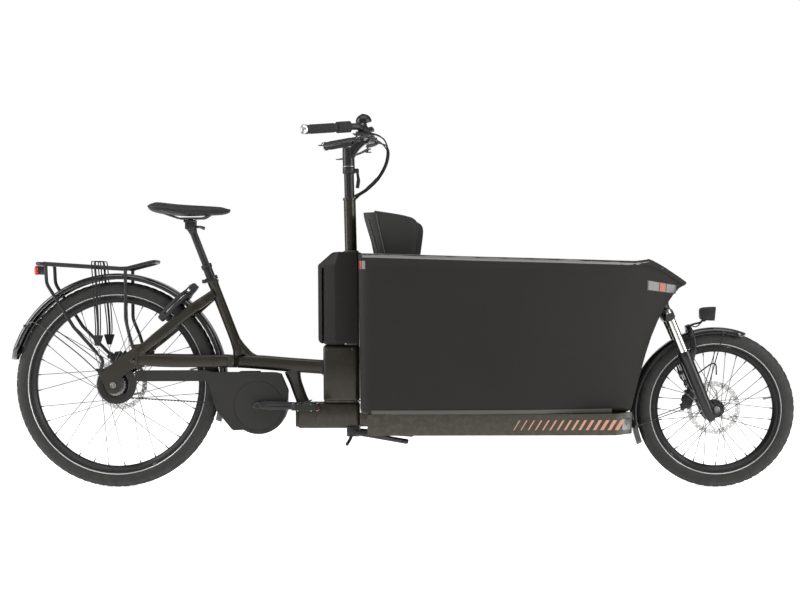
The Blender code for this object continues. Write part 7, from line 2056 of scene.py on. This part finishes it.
def makeDisplay():
    centre = bar["centre"] + Vector((0.004, 0, 0.0285))
    case = box("display", centre - Vector((0.026, 0.034, 0.0066)), centre + Vector((0.026, 0.034,
        0.0062)), 0.0045, 4)
    cutBy(case, box("recess", centre + Vector((-0.021, -0.029, 0.0052)), centre + Vector((0.021, 0.029,
        0.02)), 0.003, 2))
    buttons = [box("button", centre + Vector((-0.025, y - 0.006, 0.0045)), centre + Vector((-0.0222,
        y + 0.006, 0.0066)), 0.0008, 1) for y in (-0.016, 0.016)]
    pane = box("display_pane", centre + Vector((-0.0206, -0.0286, 0.0048)), centre + Vector((0.0206,
        0.0286, 0.0058)), 0.0006, 2)
    arm = swept("display_arm", smoothRoute([centre + Vector((0.002, 0, -0.006)),
        centre + Vector((0.003, 0, -0.01)), bar["centre"] + Vector((0.002, 0, 0.0175))], 4),
        roundSection(0.02, 0.014, 0.003, 3))
    turnedBy(case, centre, (0, 1, 0), -12)
    turnedBy(pane, centre, (0, 1, 0), -12)
    for button in buttons:
        turnedBy(button, centre, (0, 1, 0), -12)
    show(smooth(joined("display", case, arm, *buttons)), "blackPlastic", "handlebar", "display")
    show(pane, "glass", "handlebar", (), "black_plastic")


def makeCables():
    parts = []
    trunkEnd = Vector((-0.137, 0, 0.9885))
    trunk = [(-0.0275, 0, 1.135), (-0.036, 0, 1.095), (-0.062, 0, 1.05), (-0.098, 0, 1.015),
        (-0.126, 0, 0.9965), (-0.137, 0, 0.9885)]
    offsets = [(-0.0034, 0.0014), (0.0034, 0.0014), (0.0, -0.003), (0.0, 0.0042)]
    starts = [[(-0.0745, -0.1705, 1.185), (-0.054, -0.15, 1.183), (-0.036, -0.1, 1.176),
        (-0.03, -0.05, 1.166), (-0.0275, -0.014, 1.152)], [(-0.0745, 0.1705, 1.185),
        (-0.058, 0.148, 1.18), (-0.044, 0.1, 1.172), (-0.036, 0.05, 1.164), (-0.03, 0.016, 1.15)],
        [(-0.128, -0.219, 1.183), (-0.098, -0.2, 1.176), (-0.066, -0.14, 1.172), (-0.048, -0.07, 1.166),
        (-0.034, -0.016, 1.152)], [(-0.082, 0.0, 1.204), (-0.058, 0.004, 1.196), (-0.04, 0.006, 1.18),
        (-0.031, 0.004, 1.16)]]
    for (dy, dn), start in zip(offsets, starts):
        line = [Vector(p) for p in start]
        for k, point in enumerate(trunk):
            a = Vector(trunk[max(k - 1, 0)])
            b = Vector(trunk[min(k + 1, len(trunk) - 1)])
            normal = (b - a).normalized().cross(left)
            line.append(Vector(point) + left * dy + normal * dn)
        parts.append(tube("cable", smoothRoute(line, 7), 0.0024, 10))
    sleeveRoute = smoothRoute([(-0.064, 0, 1.0478), (-0.08, 0, 1.031), (-0.098, 0, 1.015)], 5)
    parts.append(tube("sleeve", sleeveRoute, 0.0066, 16))
    parts.append(turned("boot", [(0, -0.004), (0.0076, -0.004), (0.008, 0.0), (0.0068, 0.006),
        (0.0062, 0.012), (0, 0.012)], trunkEnd + Vector((0.0, 0, 0.0)),
        (Vector(trunk[-2]) - trunkEnd).normalized(), 20))
    show(smooth(joined("cable_bundle", *parts), 50), "hose", "handlebar", "cable_bundle")


makePost()
makeStem()
makeBar()
makeGrip("left_grip", -0.004, 0.118, 1, "handlebar", "gripRubber", 0.0155, False, "pads")
makeGrip("right_grip", 0.0065, 0.118, -1, "handlebar", "gripRubber", 0.0155, False, "pads")
makeGrip("twist_shifter", -0.04, 0.006, -1, "twist_shifter", "gripRubber", 0.019, False, "ridges")
makeGripCaps()
makeLever("left", 1)
makeLever("right", -1)
makeBell()
makeDisplay()
makeCables()


print("saddle and child seat")
post = {"r": 0.0158, "inner": 0.0125, "low": 0.53, "top": 0.761, "clamp": 0.893}
saddle = {"stations": [(-0.848, 0.045, 0.957, 0.968), (-0.842, 0.066, 0.949, 0.9735),
    (-0.828, 0.086, 0.942, 0.9755), (-0.8, 0.095, 0.937, 0.9735), (-0.75, 0.092, 0.931, 0.9675),
    (-0.7, 0.064, 0.929, 0.964), (-0.65, 0.039, 0.93, 0.9615), (-0.6, 0.025, 0.932, 0.959),
    (-0.58, 0.019, 0.936, 0.956), (-0.569, 0.01, 0.942, 0.9515)], "groove": 0.0045, "cap": 0.0022,
    "voxel": 0.0042}
seat = {"half": 0.182, "wall": 0.013, "corner": 0.052, "padVoxel": 0.0055, "seatCap": 0.0075,
    "backCap": 0.0065, "headCap": 0.0055, "wingCap": 0.0045, "pressure": 4.0, "rear": [(0.425, -0.088),
    (0.6, -0.084), (0.72, -0.075), (0.79, -0.069), (0.83, -0.077), (0.87, -0.089), (0.905, -0.099),
    (0.9265, -0.1025)], "front": [(0.425, 0.15), (0.45, 0.158), (0.52, 0.158), (0.6, 0.122), (0.7, 0.082),
    (0.77, 0.067), (0.8, 0.0685), (0.85, 0.0755), (0.877, 0.0775), (0.89, 0.0745), (0.899, 0.066),
    (0.906, 0.05), (0.915, 0.01), (0.9265, -0.062)]}


def puff(piece, voxel, cap, pressure=4.0):
    # the pad swells under its own pressure, and how far a point may move is capped
    modify(piece, "REMESH", mode="VOXEL", voxel_size=voxel)
    before = [vertex.co.copy() for vertex in piece.data.vertices]
    pick(piece)
    bpy.ops.object.modifier_add(type="CLOTH")
    cloth = piece.modifiers[-1]
    cloth.settings.quality = 4
    cloth.settings.use_pressure = True
    cloth.settings.uniform_pressure_force = pressure
    cloth.settings.effector_weights.gravity = 0
    cloth.collision_settings.use_self_collision = False
    cloth.point_cache.frame_start = 1
    cloth.point_cache.frame_end = 20
    for step in range(1, 21):
        bpy.context.scene.frame_set(step)
    bpy.ops.object.modifier_apply(modifier=cloth.name)
    bpy.context.scene.frame_set(1)
    for vertex, start in zip(piece.data.vertices, before):
        move = vertex.co - start
        if move.length > cap:
            vertex.co = start + move.normalized() * cap
    return piece


def sewn(piece, depth, width, *lines):
    # a sewn channel pulls the cover in along a line, given as (axis, place, low, high)
    for vertex in piece.data.vertices:
        for letter, place, inwards in lines:
            gap = vertex.co["xyz".index(letter)] - place
            pull = depth * math.exp(-(gap / width) ** 2)
            vertex.co += Vector(inwards) * pull
    return piece


def finishPad(piece, look, body, nodes, slot=None):
    modify(piece, "SUBSURF", levels=1, render_levels=1)
    smooth(piece, 70)
    show(piece, look, body, nodes, slot)


def makeSeatpost():
    low = seatPoint(post["low"])
    length = (seatPoint(post["top"]) - low).length
    r, b = post["r"], 0.013
    tubePost = turned("seatpost", [(b, 0.01), (b, length - 0.0005), (r + 0.001, length),
        (r + 0.0028, length - 0.0012), (r + 0.003, length - 0.01), (r + 0.002, length - 0.0125),
        (r + 0.0024, length - 0.015), (r, length - 0.0165), (r, 0.0), (b * 0.8, 0.0)], low, seatUp, 48,
        closed=True)
    marks = [ringOf("mark", r - 0.0003, r + 0.0002, 0.165 + 0.01 * k, 0.1654 + 0.01 * k, low, seatUp,
        32) for k in range(3)]
    show(smooth(joined("seatpost", tubePost, *marks)), "blackMetal", "seatpost", "seatpost")
    clamp = seatPoint(post["clamp"])
    start = seatPoint(0.64)
    stanchion = disc("dropper_stanchion", post["inner"], 0, (clamp - start).length - 0.004, start, seatUp,
        48, 0.0008)
    head = box("head", clamp - Vector((0.019, 0.016, 0.012)), clamp + Vector((0.019, 0.016, 0.016)),
        0.0055, 4)
    cradle = box("cradle", clamp + Vector((-0.022, -0.025, 0.0115)), clamp + Vector((0.018, 0.025,
        0.0215)), 0.0038, 3)
    grooves = [disc("groove", 0.0037, -0.03, 0.03, clamp + Vector((-0.002, y, 0.0258)), (1, 0, 0),
        20) for y in (-0.022, 0.022)]
    cutBy(cradle, *grooves)
    skirt = turned("skirt", [(0, 0), (post["inner"], 0), (0.015, 0.006), (0.0165, 0.018), (0, 0.02)],
        clamp - seatUp * 0.026, seatUp, 40)
    lever = swept("lever", smoothRoute([clamp + Vector((0.01, -0.006, -0.004)),
        clamp + Vector((0.034, -0.016, -0.004)), clamp + Vector((0.052, -0.03, -0.01))], 6),
        roundSection(0.005, 0.01, 0.002, 3), [(1, 1), (0.9, 0.9), (0.8, 1.2)])
    bolts = [disc("bolt", 0.0036, -0.026, 0.012, clamp + Vector((x, 0, 0.012)), up, 12,
        0.0006) for x in (-0.015, 0.0118)]
    show(smooth(joined("dropper_stanchion", stanchion, head, cradle, skirt, lever)), "blackMetal",
        "saddle", "dropper_stanchion")
    show(joined("seat_clamp_bolts", *bolts), "steel", "saddle", (), "steel")


def saddleAt(share, column):
    table = saddle["stations"]
    place = share * (len(table) - 1)
    k = min(int(place), len(table) - 2)
    t = place - k
    a, b = table[k][column], table[k + 1][column]
    before, after = table[max(k - 1, 0)][column], table[min(k + 2, len(table) - 1)][column]
    return 0.5 * (2 * a + (b - before) * t + (2 * before - 5 * a + 4 * b - after) * t * t
        + (3 * a - before - 3 * b + after) * t ** 3)


def makeSaddle():
    s = saddle
    rings = []
    for k in range(55):
        share = k / 54
        x, half, low, high = (saddleAt(share, column) for column in range(4))
        seam = low + (high - low) * 0.36
        ring = []
        for j in range(36):
            angle = 2 * math.pi * j / 36
            c, d = math.cos(angle), math.sin(angle)
            y = half * math.copysign(abs(c) ** 0.85, c) - math.copysign(0.0012, c)
            z = seam + (high - seam - 0.0016) * abs(d) ** 0.8 if d >= 0 else seam - (seam
                - low) * abs(d) ** 0.7
            if d > 0:
                z -= s["groove"] * math.exp(-(y / 0.0085) ** 2) * min(1.0,
                    max(0.0, (0.95 - share) * 5)) * min(1.0, share * 6)
            ring.append(Vector((x, y, z)))
        rings.append(ring)
    cover = sheetOf("saddle", rings)
    puff(cover, s["voxel"], s["cap"], 3.0)
    finishPad(cover, "saddleCover", "saddle", "saddle")
    # the moulded base, its edge bead and the two rails
    base = []
    for k in range(41):
        share = 0.03 + 0.94 * k / 40
        x, half, low, high = (saddleAt(share, column) for column in range(4))
        base.append([Vector((x, u * half * 0.86,
            low + 0.0065 - 0.0062 * (1 - abs(u)) + v)) for u, v in [(math.cos(math.pi * j / 12),
            -0.0022 * math.sin(math.pi * j / 12)) for j in range(13)] + [(-math.cos(math.pi * j / 12),
            0.004) for j in range(1, 12)]])
    shell = smooth(sheetOf("saddle_base", base), 50)
    show(shell, "blackPlastic", "saddle", (), "black_plastic")
    for sign, name in ((-1, "right"), (1, "left")):
        edge = []
        for k in range(49):
            share = 0.02 + 0.955 * k / 48
            x, half, low, high = (saddleAt(share, column) for column in range(4))
            edge.append(Vector((x, sign * (half - 0.001), low + (high - low) * 0.33)))
        show(tube(name + "_saddle_piping", edge, 0.0011, 8), "blackPlastic", "saddle", (), "saddle_cover")
    z = post["clamp"] + 0.0258
    rails = []
    for y in (-0.022, 0.022):
        route = rounded([(-0.628, y * 0.4, z + 0.018), (-0.66, y, z), (-0.745, y, z),
            (-0.802, y * 1.6, z + 0.02)], 0.03, 8)
        rails.append(tube("rail", route, 0.0034, 16))
    show(joined("saddle_rails", *rails), "satinMetal", "saddle", (), "black_metal")
    badge = box("saddle_rear_plate", (-0.8482, -0.018, 0.9505), (-0.8455, 0.018, 0.9575), 0.001, 2)
    show(badge, "greyMetal", "saddle", (), "steel")


def shellRing(z, inset=0.0, frontShort=0.0):
    # a loop round the U of the shell: outside from front right round to front left, then back inside
    rear, front = interpolate(z, seat["rear"]), interpolate(z, seat["front"]) - frontShort
    wall = seat["wall"]

    def path(offset):
        half, back, corner = seat["half"] - offset - inset, rear + offset, max(seat["corner"] - offset,
            0.006)
        points = []
        for k in range(9):
            points.append((front - 0.004 + (back + corner - front + 0.004) * k / 8, -half))
        for k in range(1, 9):
            a = math.radians(90 * k / 8)
            points.append((back + corner - corner * math.sin(a), -half + corner - corner * math.cos(a)))
        for k in range(1, 5):
            points.append((back, (-half + corner) * (1 - k / 4)))
        return points
    outer, inner = path(0.0), path(wall)
    nose = [(front + 0.0005, -seat["half"] + inset + wall * 0.22),
        (front + 0.0005, -seat["half"] + inset + wall * 0.78)]
    ring = outer + [(x, -y) for x, y in reversed(outer[:-1])]
    ring += [(nose[0][0], -nose[0][1]), (nose[1][0], -nose[1][1])]
    ring += [(x, -y) for x, y in inner] + [(x, y) for x, y in reversed(inner[:-1])]
    ring += [nose[1], nose[0]]
    return [Vector((x, y, z)) for x, y in ring]


def keepOff(pad):
    # a pad rests on the inner face of the shell's back
    for vertex in pad.data.vertices:
        vertex.co.x = max(vertex.co.x, interpolate(vertex.co.z, seat["rear"]) + seat["wall"] + 0.0004)


def makeChildSeat():
    levels = [0.426, 0.429] + [0.44 + 0.0185 * k for k in range(25)] + [0.896, 0.905, 0.913, 0.92, 0.9245,
        0.9262]
    rings = [shellRing(z, 0.0018 if z < 0.427 or z > 0.9255 else 0.0) for z in levels]
    shell = sheetOf("child_seat", rings)
    floorOutline = [(-0.08, -0.176), (0.146, -0.176), (0.154, -0.16), (0.154, 0.16), (0.146, 0.176),
        (-0.08, 0.176)]
    base = plate("base", [(x, y, 0.427) for x, y in floorOutline], (0, 0, 0.0185), 0.004, 3)
    show(smooth(joined("child_seat", shell, base), 40), "shellPlastic", "frame", "child_seat")
    # a rubber edge all along the top of the wings
    for sign, name in ((-1, "right"), (1, "left")):
        route = [Vector((x, sign * (seat["half"] - seat["wall"] / 2), z)) for z, x in seat["front"][2:]]
        show(tube(name + "_wing_edge", smoothRoute(route, 5), 0.0052, 12), "softPlastic", "frame", (),
            "seat_fabric")
        seam = smoothRoute([Vector((x, sign * (seat["half"] + 0.0006), z)) for x, z in ((-0.056, 0.92),
            (-0.05, 0.89), (-0.04, 0.845), (-0.028, 0.79), (-0.018, 0.72))], 6)
        # a pale strip down each rear corner of the shell: a painted highlight on the rounded corner
        corner = smoothRoute([Vector((interpolate(z, seat["rear"]) + 0.0142,
            sign * (seat["half"] - 0.0142), z)) for z in (0.905, 0.88, 0.85, 0.82, 0.79, 0.74)], 5)
        show(joined(name + "_wing_piping", tube("seam", seam, 0.0014, 8), tube("corner", corner, 0.0024,
            10)), "paleTrimAndPaintedHighlight", "frame", (), "seat_fabric")
    pad = box("seat_pad", (-0.06, -0.156, 0.452), (0.15, 0.156, 0.496), 0.014, 3)
    puff(pad, seat["padVoxel"], seat["seatCap"], seat["pressure"])
    sewn(pad, 0.005, 0.005, ("x", 0.01, (0, 0, -1)), ("x", 0.08, (0, 0, -1)))
    for vertex in pad.data.vertices:
        vertex.co.z = max(vertex.co.z, 0.4478)
    finishPad(pad, "padding", "frame", "seat_pad")
    back = box("back_pad", (-0.062, -0.128, 0.52), (-0.038, 0.128, 0.79), 0.01, 3)
    puff(back, seat["padVoxel"], seat["backCap"], seat["pressure"])
    sewn(back, 0.0045, 0.005, ("z", 0.59, (-1, 0, 0)), ("z", 0.66, (-1, 0, 0)), ("z", 0.73, (-1, 0, 0)))
    keepOff(back)
    finishPad(back, "padding", "frame", (), "seat_fabric")
    rest = box("head_pad", (-0.074, -0.128, 0.806), (-0.046, 0.128, 0.91), 0.011, 3)
    puff(rest, seat["padVoxel"], seat["headCap"], seat["pressure"])
    keepOff(rest)
    finishPad(rest, "padding", "frame", (), "seat_fabric")
    for sign, name in ((-1, "right"), (1, "left")):
        outline = [(-0.025, 0.545), (0.088, 0.545), (0.086, 0.64), (0.054, 0.76), (0.058, 0.84),
            (0.052, 0.876), (0.02, 0.892), (-0.035, 0.9)]
        y = sorted((sign * 0.1655, sign * 0.1535))
        wing = sidePlate(name + "_wing_pad", outline, y[0], y[1], 0.0045, 3)
        puff(wing, seat["padVoxel"] * 0.82, seat["wingCap"], seat["pressure"])
        for vertex in wing.data.vertices:
            vertex.co.y = sign * min(abs(vertex.co.y), 0.1684)
        finishPad(wing, "padding", "frame", (), "seat_fabric")
    # the harness: two shoulder straps, a crotch strap and their buckle
    straps = []
    for y in (-0.045, 0.045):
        route = smoothRoute([(-0.048, y, 0.798), (-0.029, y, 0.76), (-0.027, y * 0.9, 0.66),
            (-0.024, y * 0.6, 0.56), (0.004, y * 0.3, 0.5135)], 8)
        straps.append(swept("strap", route, roundSection(0.024, 0.0018, 0.0006, 2)))
    straps.append(swept("strap", smoothRoute([(0.094, 0, 0.506), (0.06, 0, 0.512), (0.012, 0, 0.516)], 6),
        roundSection(0.024, 0.0018, 0.0006, 2)))
    show(smooth(joined("seat_harness", *straps)), "webbing", "frame", (), "seat_fabric")
    buckle = box("harness_buckle", (-0.014, -0.022, 0.5115), (0.022, 0.022, 0.523), 0.0045, 3)
    press = box("press", (-0.006, -0.008, 0.5215), (0.014, 0.008, 0.525), 0.0016, 2)
    show(joined("harness_buckle", buckle, press), "softPlastic", "frame", (), "black_plastic")


makeSeatpost()
makeSaddle()
makeChildSeat()

print("studio")
studio = {"distance": 6.1, "yaw": 3.5, "roll": 0.365, "target": Vector((0.0105, 0, 0.635)), "lens": 80.6,
    "floorSize": 60.0, "key": 125, "fill": 12, "rim": 125, "air": 0.22, "floorGlow": 0.8}


def makeCamera():
    yaw = math.radians(studio["yaw"])
    look = Vector((-math.sin(yaw), math.cos(yaw), 0))
    bpy.ops.object.camera_add(location=studio["target"] - look * studio["distance"])
    camera = bpy.context.object
    camera.rotation_mode = "QUATERNION"
    turn = Matrix.Rotation(math.radians(studio["roll"]), 3, look)
    camera.rotation_quaternion = turn.to_quaternion() @ look.to_track_quat("-Z", "Y")
    camera.data.lens = studio["lens"]
    camera.data.sensor_width = 36
    camera.data.clip_end = 200
    bpy.context.scene.camera = camera


def makeFloor():
    alone()
    bpy.ops.mesh.primitive_plane_add(size=studio["floorSize"], location=(0, 0, -0.0005))
    floor = named(bpy.context.object, "floor")
    settle()
    pale = Look("floor_paper", specular=0.1, glow=(1, 1, 1), glowStrength=studio["floorGlow"])
    grain = pale.noise(40, 3)
    floor.data.materials.append(pale.finish(colour=pale.blend(grain * 0.3, (0.9, 0.9, 0.9),
        (0.93, 0.93, 0.93)), rough=grain * 0.1 + 0.85))


def areaLight(name, place, aim, size, sizeY, power, colour=(1, 1, 1)):
    alone()
    bpy.ops.object.light_add(type="AREA", location=place)
    lamp = bpy.context.object
    lamp.name = name
    lamp.rotation_mode = "QUATERNION"
    lamp.rotation_quaternion = (Vector(aim) - Vector(place)).to_track_quat("-Z", "Y")
    lamp.data.shape = "RECTANGLE"
    lamp.data.size = size
    lamp.data.size_y = sizeY
    lamp.data.energy = power
    lamp.data.color = colour


makeCamera()
makeFloor()
areaLight("top_soft_box", (0.0, -1.2, 4.2), (0, 0, 0.5), 5.0, 3.0, studio["key"])
areaLight("camera_fill", (-1.8, -5.5, 2.2), (0, 0, 0.6), 3.0, 2.5, studio["fill"])
areaLight("right_rim", (3.8, -1.6, 2.0), (0.2, 0, 0.6), 2.0, 3.0, studio["rim"])
areaLight("left_rim", (-3.8, -0.6, 2.0), (-0.2, 0, 0.6), 2.0, 3.0, studio["rim"])
areaLight("back_fill", (0.0, 4.5, 2.6), (0, 0, 0.6), 4.0, 2.5, studio["fill"])
world = bpy.data.worlds.new("studio_air")
bpy.context.scene.world = world
world.use_nodes = True
air = world.node_tree.nodes["Background"]
air.inputs["Color"].default_value = (1, 1, 1, 1)
# the backdrop is white, and the air lights the bicycle a little less
seen = world.node_tree.nodes.new("ShaderNodeLightPath")
share = world.node_tree.nodes.new("ShaderNodeMapRange")
share.inputs["To Min"].default_value = studio["air"]
share.inputs["To Max"].default_value = 1.0
world.node_tree.links.new(seen.outputs["Is Camera Ray"], share.inputs["Value"])
world.node_tree.links.new(share.outputs["Result"], air.inputs["Strength"])
bpy.context.scene.view_settings.view_transform = "Standard"
